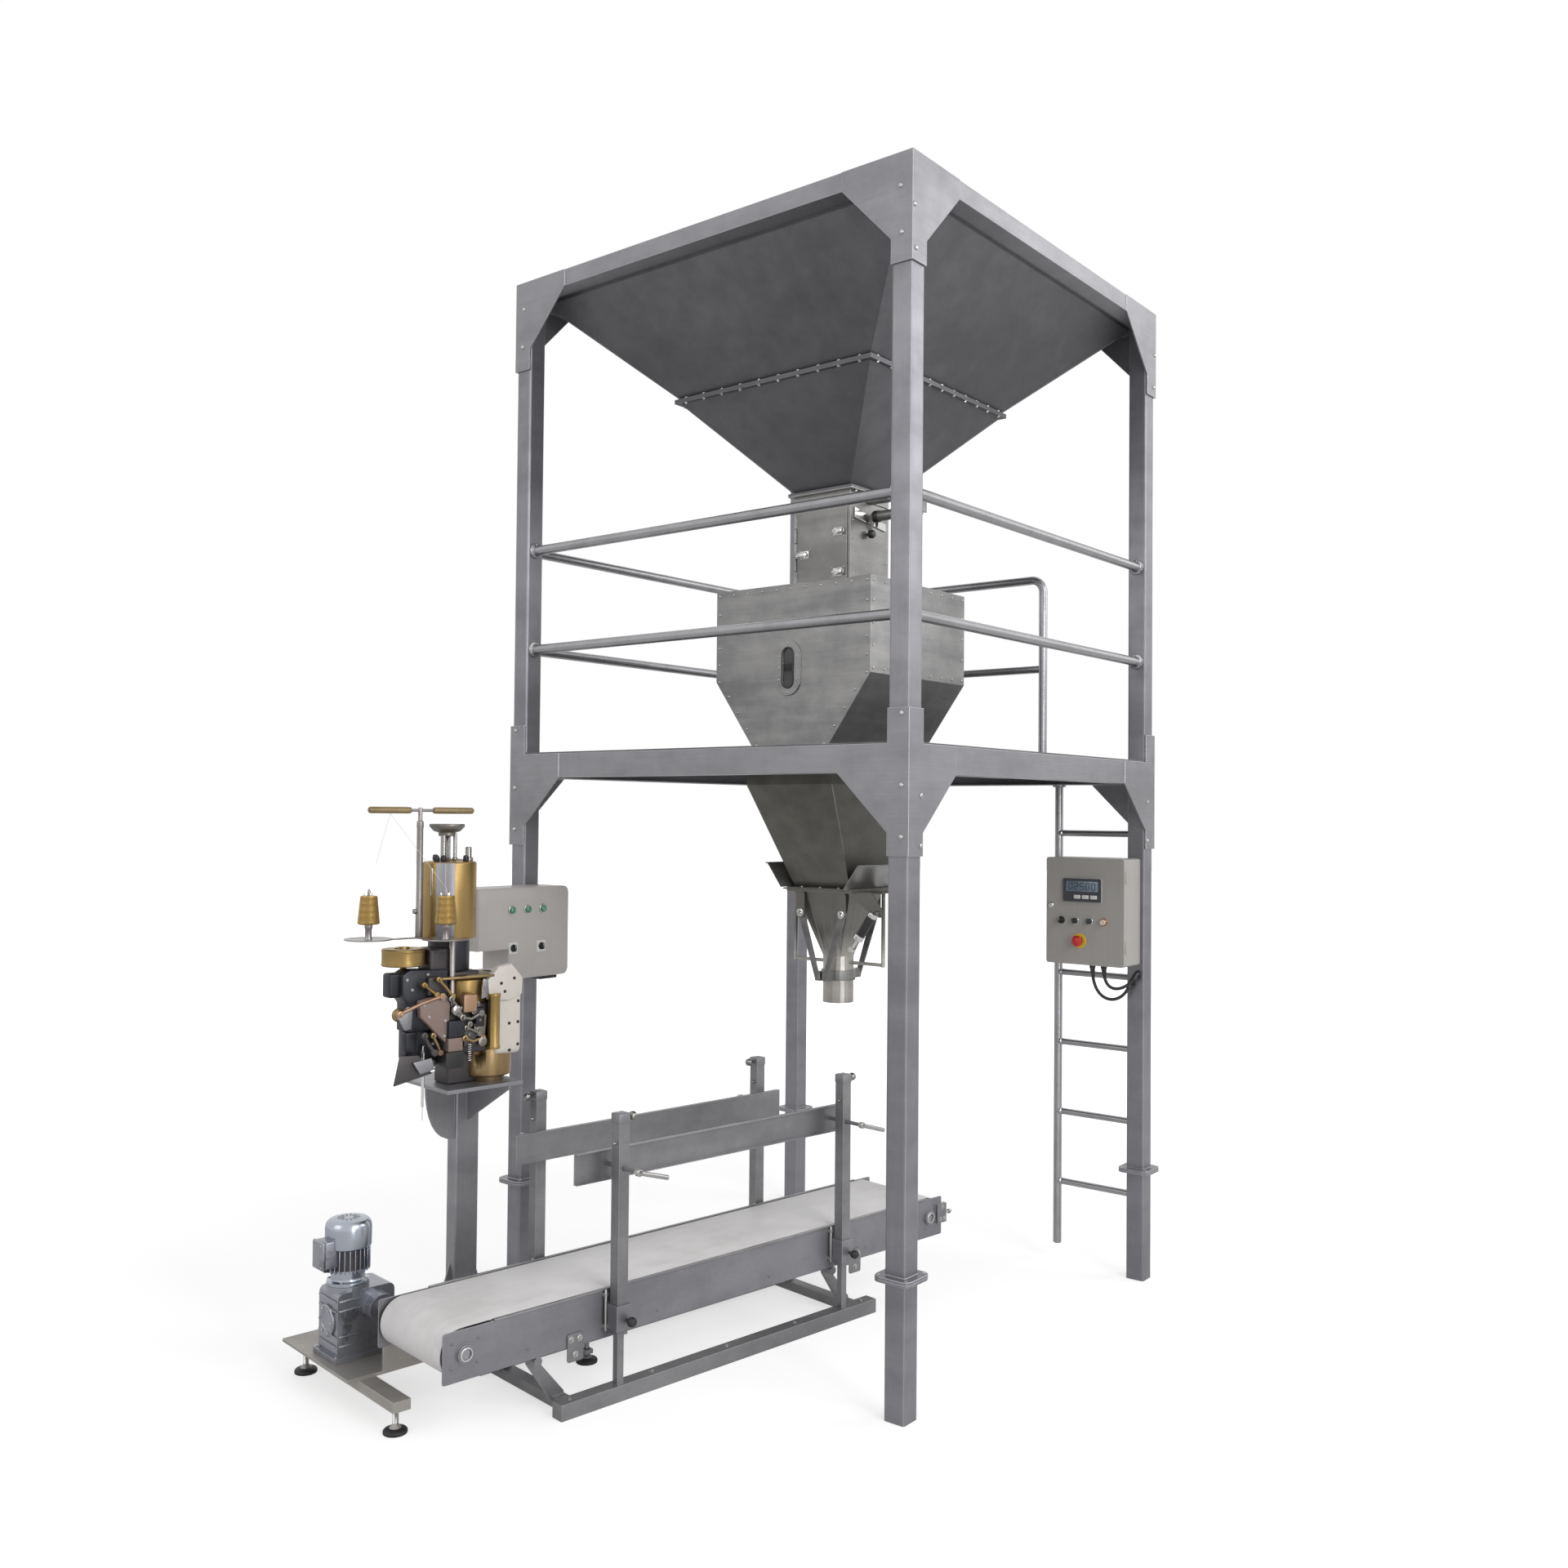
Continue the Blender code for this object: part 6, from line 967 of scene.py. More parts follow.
@dataclass(frozen=True)
class Lens(Finish):
    """A ribbed coloured lens of a lamp."""

    glow: Colour

    def mixed(self, shader: Shader) -> Material:
        """Mix ribs and a pale bloom.

        Args:
            shader: The shader to mix it in.

        Returns:
            The material.
        """
        spot = shader.coords()
        ribs = shader.wave(spot, "Z", 260.0)
        bloom = shader.noise(spot, 60.0, 2.0)
        body = shader.mix(self.colour, self.glow, ribs * 0.3 + bloom.spread(0.45, 0.75) * 0.35)
        normal = shader.bump(ribs, 0.2, 0.0004)
        return shader.finish(Base_Color=body, Roughness=bloom * 0.1 + 0.12, Coat_Weight=0.6, Normal=normal)


# Posts and beams lighten their edges most: partly wear, partly a painted highlight along them.
POST_STEEL = SheetSteel(
    "post_satin", tone(143, 142, 147), tone(124, 123, 128), rough=0.40, edge=0.005, shine=1.0,
)
BEAM_STEEL = SheetSteel(
    "beam_satin", tone(150, 149, 153), tone(132, 131, 135), Grain.LEVEL, rough=0.42, edge=0.0045, shine=0.9,
)
DECK_STEEL = SheetSteel("deck_mill", tone(120, 119, 122), tone(96, 95, 98), Grain.EVEN, 0.5, bands=1.2)
HOPPER_STEEL = SheetSteel(
    "hopper_dull", tone(118, 117, 121), tone(100, 99, 102), Grain.UPRIGHT, 0.52, bands=1.6, shine=0.4,
)
HOUSING_STEEL = SheetSteel(
    "housing_brushed", tone(160, 159, 158), tone(128, 127, 127), Grain.LEVEL, 0.34, bands=9.0,
)
CHUTE_STEEL = SheetSteel(
    "chute_brushed", tone(156, 155, 153), tone(126, 125, 124), Grain.LEVEL, 0.34, bands=7.0,
)
DISCHARGE_STEEL = SheetSteel(
    "discharge_dull", tone(122, 121, 115), tone(96, 95, 89), Grain.UPRIGHT, 0.45, bands=2.4,
)
# The spout's steel takes painted shade above 1.29 m.
SPOUT_STEEL = SheetSteel(
    "spout_satin", tone(194, 190, 185), tone(160, 157, 152), Grain.EVEN, 0.34, bands=8.0, edge=0.0006,
    painted_shade_above=1.29,
)
JAW_STEEL = SheetSteel(
    "jaw_satin", tone(150, 149, 148), tone(108, 107, 107), Grain.EVEN, 0.33, bands=8.0, edge=0.001,
)
LINE_STEEL = SheetSteel(
    "line_satin", tone(150, 149, 154), tone(132, 131, 136), Grain.LENGTH, 0.42, turn=-LINE_YAW,
)
BASE_STEEL = SheetSteel(
    "base_satin", tone(150, 149, 151), tone(126, 125, 128), Grain.LENGTH, 0.45, turn=-LINE_YAW,
)
GUIDE_STEEL = SheetSteel(
    "guide_satin", tone(150, 149, 151), tone(128, 127, 130), Grain.LENGTH, 0.38, turn=-LINE_YAW,
)
COLUMN_STEEL = SheetSteel("column_satin", tone(156, 156, 160), tone(134, 134, 138), Grain.UPRIGHT, 0.42)
RAIL_STEEL = Polished(
    "rail_polished", tone(164, 163, 166), tone(118, 117, 120), 0.27, 0.85, 0.30, (9.0, 9.0, 9.0),
)
BOLT_STEEL = Polished("bolt_bright", tone(186, 184, 182), tone(92, 90, 88), 0.28, 0.9)
CHROME = Polished("chrome", tone(216, 215, 214), tone(120, 118, 116), 0.16, 0.97, 0.3)
ALUMINIUM = Casting("cast_aluminium", tone(150, 152, 159), tone(70, 72, 78), 0.32, 0.85, 0.18)
MOTOR_METAL = Polished("motor_metal", tone(172, 177, 187), tone(112, 118, 132), 0.22, 0.92, 0.3)
BRASS = Polished("brass_turned", tone(160, 134, 84), tone(108, 86, 48), 0.34, 0.80, 0.5, (30.0, 30.0, 300.0))
OLD_BRASS = Polished("brass_old", tone(150, 128, 92), tone(74, 60, 44), 0.32, 0.85, 0.7)
BRONZE = Polished("bronze_tan", tone(176, 142, 116), tone(96, 76, 62), 0.34, 0.7, 0.5)
HEAD_IRON = Casting("head_iron", tone(76, 72, 74), tone(26, 24, 24), 0.42, 0.5)
DARK_IRON = Casting("dark_iron", tone(42, 43, 50), tone(16, 16, 18), 0.38, 0.4)
FACE_BROWN = Enamel("face_brown", tone(140, 120, 112), tone(96, 80, 72), 0.40, tone(190, 172, 160))
IVORY = Enamel("cover_ivory", tone(220, 213, 206), tone(176, 166, 156), 0.38, tone(236, 230, 224))
BOX_ENAMEL = Enamel("box_enamel", tone(166, 163, 159), tone(146, 141, 136), 0.45, tone(196, 193, 188))
SEWBOX_ENAMEL = Enamel("sewbox_enamel", tone(188, 184, 181), tone(170, 165, 160), 0.42, tone(222, 219, 215))
PLATE_STEEL = SheetSteel(
    "plate_satin", tone(176, 172, 167), tone(152, 148, 144), Grain.EVEN, 0.5, turn=-LINE_YAW,
)
ROD_STEEL = Polished("rod_bright", tone(150, 148, 146), tone(84, 82, 80), 0.22, 0.95, 0.3)
HEAD_BOLT = Polished("head_bolt", tone(132, 128, 122), tone(50, 47, 44), 0.30, 0.92, 0.6)
DISH_GREY = Polished("dish_grey", tone(128, 126, 118), tone(82, 80, 74), 0.36, 0.7, 0.5)
TRAY_STEEL = Polished(
    "tray_steel", tone(156, 151, 149), tone(112, 104, 102), 0.3, 0.85, 0.3, (9.0, 9.0, 60.0),
)
BAR_BRONZE = Polished("bar_bronze", tone(154, 134, 98), tone(106, 86, 56), 0.42, 0.45, 0.8)
BLACK = Moulded("black_plastic_moulded", tone(34, 34, 36), 0.40, 0.25)
GRAPHITE = Moulded("bezel_plastic", tone(58, 60, 66), 0.38, 0.25)
RED = Moulded("red_mushroom", tone(196, 34, 28), 0.34, 0.15, 0.4)
YELLOW = Moulded("yellow_ring", tone(226, 186, 40), 0.42, 0.2)
KEY_WHITE = Moulded("key_white", tone(222, 222, 220), 0.4, 0.15)
LAMP_PALE = Moulded("lamp_pale", tone(226, 206, 186), 0.3, 0.2, 0.5)
COPPER = Polished("copper_ring", tone(186, 128, 92), tone(100, 66, 46), 0.25, 0.95, 0.4)
RUBBER = Moulded("cable_jacket", tone(36, 36, 38), 0.5, 0.30)
FOOT_RUBBER = Moulded("foot_rubber", tone(30, 30, 31), 0.55, 0.35)
BELT_WHITE = Belting("belt_white", tone(240, 238, 238), tone(204, 199, 197), -LINE_YAW)
GREEN_LENS = Lens("lamp_green", tone(22, 112, 76), tone(150, 206, 178))
SCREEN_BLUE = Pane("screen_blue", tone(128, 142, 156), tone(96, 110, 126), 0.16)
DIGIT_INK = Moulded("digit_ink", tone(34, 42, 54), 0.3, 0.1)
SIGHT_PANE = Pane("sight_dark", tone(26, 26, 27), tone(52, 51, 50), 0.08)
# The thread's second colour is painted shade between its strands.
GOLD_THREAD = Winding("thread_gold", tone(198, 168, 102), tone(132, 104, 54))
WHITE_THREAD = Moulded("thread_white", tone(232, 228, 222), 0.6, 0.1)


# Dressing


def dress(
    piece: Object, finish: Finish, axes: Axes = STATION, body: str = "station",
    replaces: Sequence[str] = (),
) -> Object:
    """Place, finish and fix one new piece.

    Args:
        piece: The piece, modelled in its axes.
        finish: Its finish.
        axes: The frame that it was modelled in.
        body: The body that it moves with.
        replaces: The nodes that it stands for.

    Returns:
        The piece.
    """
    if piece.type == "MESH":
        Bench.settle(piece, axes.matrix())
    piece.data.materials.clear()
    piece.data.materials.append(finish.material())
    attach(piece, body)
    if replaces:
        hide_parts(*replaces)
    LOG.info("piece %s: %s on %s", piece.name, finish.name, body)
    return piece


def coat(finish: Finish, *nodes: str) -> None:
    """Give nodes of the frame a better material.

    Args:
        finish: The finish to give.
        nodes: The nodes' names.
    """
    for node in nodes:
        held = frame["nodes"][node]
        if not held.material_slots:
            held.data.materials.append(finish.material())
        for place in held.material_slots:
            place.material = finish.material()
        LOG.info("node %s: %s", node, finish.name)


class Head(Enum):
    """The kinds of fastener."""

    DOME = "dome"
    HEX = "hex"
    SCREW = "screw"


class Fasteners:
    """Fasteners modelled once at a radius of one and copied wherever they sit."""

    twist: float = 2.4

    def __init__(self) -> None:
        """Model the three kinds."""
        self.masters = {}
        Bench.smooth(turned([(1, 0), (1, 0.14), (0.84, 0.42), (0.5, 0.58), (0.2, 0.62)], sides=12), 50)
        self.masters[Head.DOME] = Bench.shelve()
        turned([(1, 0.2), (1, 0.86), (0.84, 1)], sides=6)
        turned([(1.6, 0), (1.6, 0.16), (1.5, 0.22)], sides=14)
        self.masters[Head.HEX] = Bench.shelve()
        turned([(1, 0), (1, 0.3), (0.8, 0.5)], sides=14)
        block((-2, -0.13, 0.28), (2, 0.13, 1), 0.0)
        Bench.cut()
        self.masters[Head.SCREW] = Bench.shelve()

    def lay(self, head: Head, radius: float, spots: Sequence[Spot]) -> None:
        """Lay a set of fasteners with the loose parts, each turned a little further.

        Args:
            head: The kind.
            radius: The head's radius.
            spots: The place and the outward direction of each.
        """
        places = []
        for index, (place, facing) in enumerate(spots):
            aim = Vector(facing).to_track_quat("Z", "Y").to_matrix().to_4x4()
            turn = Matrix.Rotation(index * self.twist, 4, "Z")
            places.append(Matrix.Translation(place) @ aim @ turn @ Matrix.Scale(radius, 4))
        Bench.copies(self.masters[head], places)


@dataclass
class Assembly:
    """What every sub-assembly has: fasteners, the frame that it is modelled in and its usual slot."""

    fixings: Fasteners
    axes: Axes = STATION
    slot: str = "spout_steel"

    def fix(
        self, name: str, finish: Finish, slot: str = "", body: str = "station", replaces: Sequence[str] = ()
    ) -> None:
        """Join the loose parts into one piece and fix it."""
        dress(Bench.take(name), finish, self.axes, body, replaces)

    def fit(
        self, name: str, head: Head, radius: float, spots: Sequence[Spot], finish: Finish = BOLT_STEEL,
        slot: str = "", body: str = "station",
    ) -> None:
        """Fit a set of fasteners as one piece, each at a place and facing a direction."""
        self.fixings.lay(head, radius, spots)
        self.fix(name, finish, slot, body)

    def weld(self, wide: Pair, top: float, narrow: Pair, foot: float, count: int, radius: float) -> None:
        """Lay a weld bead down each of four slanting corners.

        Args:
            wide: Half the upper width and depth.
            top: The upper height.
            narrow: Half the lower width and depth.
            foot: The lower height.
            count: How many points a bead has.
            radius: The bead's radius.
        """
        for side_x, side_y in CORNERS:
            start = (side_x * wide[0], side_y * wide[1], top)
            tube(along(start, (side_x * narrow[0], side_y * narrow[1], foot), count), radius, 2)


# Stage


@dataclass
class Stage:
    """The floor, the surroundings, the lamps and the camera."""

    eye: Point = (-3.9564, -3.2807, 1.8567)
    heading: float = 38.62
    pitch: float = 1.249
    roll: float = 0.513
    lens: float = 31.915
    sensor: float = 36.0
    reach: float = 200.0
    ambient: float = 0.55
    floor_radius: float = 45.0
    floor_grey: float = 0.60
    floor_fade: Pair = (2.0, 7.0)
    floor_glow: Pair = (0.60, 1.04)
    floor_shine: float = 0.30

    def build(self) -> None:
        """Set the view, the surroundings, the lamps and the floor."""
        bpy.context.scene.view_settings.view_transform = "Standard"
        self.camera()
        self.surroundings()
        self.lamp("key_lamp", (4.9, -5.4, 5.2), (0.5, 0.0, 2.7), 3.4, 110.0)
        self.lamp("front_lamp", (-0.6, -7.4, 5.4), (0.3, 0.0, 2.0), 3.6, 160.0)
        self.lamp("strip_lamp", (-2.7, -6.9, 2.3), (0.2, -0.4, 2.0), 0.7, 110.0, 4.8)
        self.lamp("side_lamp", (-7.0, 1.2, 4.6), (0.3, 0.0, 1.7), 3.6, 60.0)
        self.floor()

    def camera(self) -> None:
        """Place the camera at the photograph's viewing angle."""
        yaw, pitch, roll = (math.radians(a) for a in (self.heading, self.pitch, self.roll))
        ahead = Vector((math.cos(pitch) * math.cos(yaw), math.cos(pitch) * math.sin(yaw), math.sin(pitch)))
        level = ahead.cross(Vector(UP)).normalized()
        rise = level.cross(ahead)
        right = level * math.cos(roll) + rise * math.sin(roll)
        up = rise * math.cos(roll) - level * math.sin(roll)
        data = bpy.data.cameras.new("camera")
        data.lens = self.lens
        data.sensor_width = self.sensor
        data.clip_end = self.reach
        camera = bpy.data.objects.new("camera", data)
        turn = Matrix((right, up, -ahead)).transposed().to_4x4()
        camera.matrix_world = Matrix.Translation(self.eye) @ turn
        bpy.context.scene.collection.objects.link(camera)
        bpy.context.scene.camera = camera

    def surroundings(self) -> None:
        """Make white surroundings that light the object softly."""
        world = bpy.data.worlds.new("studio")
        shader = Shader(world)
        kinds = ("Camera", "Glossy", "Transmission")
        rays = [shader.node("ShaderNodeLightPath", out=f"Is {kind} Ray") for kind in kinds]
        strength = sum(rays).spread(0.0, 1.0) * (1 - self.ambient) + self.ambient
        sockets = {"Color": (1.0, 1.0, 1.0, 1.0), "Strength": strength}
        glow = shader.node("ShaderNodeBackground", sockets=sockets)
        shader.raw("ShaderNodeOutputWorld", sockets={"Surface": glow})
        bpy.context.scene.world = world

    def lamp(
        self, name: str, place: Point, target: Point, size: float, power: float, tall: float = 0.0
    ) -> None:
        """Hang one soft lamp that faces a target.

        Args:
            name: The lamp's name.
            place: Where it hangs.
            target: The point that it faces.
            size: Its width, and its height too unless that is given.
            power: Its power in watts.
            tall: Its height where it is a strip.
        """
        data = bpy.data.lights.new(name, "AREA")
        data.energy = power
        data.shape = "RECTANGLE"
        data.size = size
        data.size_y = tall or size
        lamp = bpy.data.objects.new(name, data)
        lamp.location = place
        lamp.rotation_euler = (Vector(target) - Vector(place)).to_track_quat("-Z", "Y").to_euler()
        bpy.context.scene.collection.objects.link(lamp)

    def floor(self) -> None:
        """Lay a plain pale floor that keeps the shadow."""
        turned([(self.floor_radius, -0.02), (self.floor_radius, 0.0)], sides=64)
        floor = Bench.take("studio_floor")
        shader = Shader(bpy.data.materials.new("studio_floor"))
        seen = shader.node("ShaderNodeLightPath", out="Is Camera Ray")
        shine = shader.node("ShaderNodeLightPath", out="Is Glossy Ray")
        grey = (self.floor_grey, self.floor_grey, self.floor_grey, 1.0)
        matte = shader.node("ShaderNodeBsdfDiffuse", sockets={"Color": grey})
        reach = shader.node("ShaderNodeVectorMath", {"operation": "LENGTH"}, {0: shader.coords()}, "Value")
        near, far = self.floor_glow
        level = reach.spread(*self.floor_fade) * (far - near) + near
        strength = seen * level + shine * self.floor_shine
        lift = shader.node("ShaderNodeEmission", sockets={"Strength": strength})
        both = shader.node("ShaderNodeAddShader", sockets={0: matte, 1: lift})
        shader.raw("ShaderNodeOutputMaterial", sockets={"Surface": both})
        floor.data.materials.append(shader.holder)


# Frame


@dataclass
class FrameDressing(Assembly):
    """The four posts, both beam rings, the deck and their fixings."""

    slot: str = "frame_steel"
    face: Pair = (0.9038, 0.9263)
    bolt: float = 0.0085
    post: Pair = (0.86, 0.8825)
    collar: Pair = (0.05, 0.4406)
    plates_x: Profile = ((0.88, 3.815), (0.886, 3.668), (0.898, 1.95), (0.898, 1.79), (0.898, 2.172))
    plates_y: Profile = ((0.893, 3.749), (0.883, 3.615), (0.835, 1.919), (0.835, 1.763))

    def build(self) -> None:
        """Coat the frame and bolt its corner plates and the posts' split collars."""
        coat(POST_STEEL, "post_front_left", "post_front_right", "post_rear_left", "post_rear_right")
        coat(BEAM_STEEL, "top_frame", "platform_frame")
        coat(DECK_STEEL, "platform_deck")
        plates, collars = [], []
        reach, level = self.collar
        for side_x, side_y in CORNERS:
            plates += [((side_x * self.face[0], side_y * y, z), (side_x, 0, 0)) for y, z in self.plates_x]
            plates += [((side_x * x, side_y * self.face[1], z), (0, side_y, 0)) for x, z in self.plates_y]
            x, y = side_x * self.post[0], side_y * self.post[1]
            collars += [((x + dx * reach, y + dy * reach, level), UP) for dx, dy in CORNERS]
        self.fit("corner_plate_bolts", Head.DOME, self.bolt, plates)
        self.fit("collar_bolts", Head.HEX, 0.006, collars)


@dataclass
class Rails(Assembly):
    """The handrails, the rail beside the ladder and the ladder, as smooth tubes."""

    slot: str = "rail_steel"
    radius: float = 0.018
    flange: float = 0.03
    plate: float = 0.006
    post_x: float = 0.86
    inner_y: float = 0.8447
    upper_z: float = 2.871952
    lower_z: float = 2.486952
    foot_z: float = 2.0856
    stanchion_y: float = -0.44
    bend: float = 0.055
    stile: float = 0.017
    stile_y: float = -0.52
    stile_z: Pair = (0.07, 1.9897)
    rung: float = 0.013
    rung_first: float = 0.33
    rung_step: float = 0.291659

    def build(self) -> None:
        """Build every rail and the ladder."""
        for place in ("left", "front", "rear"):
            for height in ("upper", "lower"):
                self.handrail(f"handrail_{place}_{height}")
        self.gate()
        self.ladder()

    def run(self, start: Point, end: Point, radius: float, flanges: str) -> None:
        """Turn one straight tube.

        Args:
            start: Where it starts.
            end: Where it ends.
            radius: Its radius.
            flanges: Which ends have a flange, of the letters s and e.
        """
        start, end = Vector(start), Vector(end)
        length = (end - start).length
        lip = self.flange * radius / self.radius
        flare = [(lip, 0), (lip, self.plate), (radius + 0.003, self.plate), (radius, self.plate + 0.004)]
        tail = [(wide, length - height) for wide, height in reversed(flare)]
        profile = flare if "s" in flanges else [(radius, 0)]
        profile += tail if "e" in flanges else [(radius, length)]
        turned(profile, start, end - start, 36, 0.0008)

    def handrail(self, node: str) -> None:
        """Build one handrail with its flanges and their screws, in place of a node.

        Args:
            node: The node, which is the bare rail.
        """
        low, high = (corner - STATION.point((0, 0, 0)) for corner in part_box(node))
        way = max(range(3), key=lambda index: high[index] - low[index])
        start, end = (low + high) / 2, (low + high) / 2
        start[way], end[way] = low[way], high[way]
        self.run(start, end, self.radius, "se")
        self.fix(f"{node}_tube", RAIL_STEEL, replaces=(node,))
        spots = []
        for place, facing in ((start, 1), (end, -1)):
            ahead = Vector((0, 0, 0))
            ahead[way] = facing
            side = ahead.cross(Vector(UP))
            for across, rise in circle(3, self.flange - 0.0055, math.pi / 2):
                spots.append((place + ahead * self.plate + side * across + Vector((0, 0, rise)), ahead))
        self.fit(f"{node}_screws", Head.DOME, 0.0038, spots)

    def gate(self) -> None:
        """Build the rail beside the ladder."""
        x, y, flat = self.post_x, self.stanchion_y, self.plate
        start, foot = (x, self.inner_y, self.upper_z), (x, y, self.foot_z)
        bow = arc((y + self.bend, self.upper_z - self.bend), self.bend, math.pi / 2, math.pi / 2, 12)
        tube([start, *((x, across, up) for across, up in bow), foot], self.radius, 7)
        self.run((x, self.inner_y, self.lower_z), (x, y + 0.004, self.lower_z), 0.0162, "s")
        turned([(self.flange, 0), (self.flange, flat), (self.radius + 0.003, flat)], start, NEAR, 36, 0.0008)
        turned([(0.0345, 0), (0.0345, flat), (0.022, flat), (0.0185, 0.012)], foot, UP, 36, 0.0008)
        self.fix("gate_rail_tube", RAIL_STEEL, replaces=("gate_rail",))
        screws = [((x + dx, y + dy, self.foot_z + flat), UP) for dx, dy in circle(4, 0.0275, math.pi / 4)]
        self.fit("gate_shoe_screws", Head.DOME, 0.004, screws)

    def ladder(self) -> None:
        """Build the ladder's stile and its rungs."""
        reach = self.stile_y + self.inner_y
        rung = [(0.022, 0), (0.022, 0.005), (0.0155, 0.007), (self.rung, 0.01), (self.rung, reach - 0.021)]
        rung += [(0.0165, reach - 0.017), (0.0165, reach)]
        turned(rung, (self.post_x, -self.inner_y, 0), FAR, 24)
        master = Bench.shelve()
        low, high = self.stile_z
        length, wide, lip = high - low, self.stile, self.flange - 0.002
        stile = [
            (wide - 0.003, 0), (wide, 0.003), (wide, length - 0.01), (lip, length - 0.006), (lip, length),
        ]
        turned(stile, (self.post_x, self.stile_y, low), UP, 32)
        lifts = [self.rung_first + self.rung_step * index for index in range(6)]
        Bench.copies(master, [Matrix.Translation((0, 0, lift)) for lift in lifts])
        self.fix("ladder_tubes", RAIL_STEEL, replaces=("ladder",))


# Filling


@dataclass
class HopperDressing(Assembly):
    """The two hopper halves, their seams and flange bolts."""

    slot: str = "hopper_steel"
    rim: Pair = (0.8202, 0.8427)
    knee_z: float = 3.845
    waist: Pair = (0.455, 0.451)
    waist_z: float = 3.48
    plate: float = 0.008
    lip: float = 0.013
    mouth: Pair = (0.128, 0.134)
    mouth_z: float = 3.131
    pitch: float = 0.085

    def build(self) -> None:
        """Coat both halves, bolt their lips from both sides and weld their corners."""
        coat(HOPPER_STEEL, "hopper_upper", "hopper_lower")
        over, under = self.waist_z + self.plate, self.waist_z - self.plate
        heads, nuts = [], []
        across, deep = (half + self.lip for half in self.waist)
        for half_run, half_off, swap in ((across, deep, False), (deep, across, True)):
            count = int(2 * half_run / self.pitch)
            for index in range(count):
                run = -half_run + 2 * half_run * (index + 0.5) / count
                for side in SIDES:
                    x, y = (side * half_off, run) if swap else (run, side * half_off)
                    heads.append(((x, y, over), UP))
                    nuts.append(((x, y, under - 0.0003), DOWN))
        self.fit("hopper_flange_bolts", Head.HEX, 0.0058, heads)
        self.fit("hopper_flange_nuts", Head.HEX, 0.0058, nuts)
        self.weld(self.rim, self.knee_z, self.waist, over, 24, 0.0042)
        self.weld(self.waist, under, self.mouth, self.mouth_z, 24, 0.0042)
        self.fix("hopper_corner_welds", HOPPER_STEEL)


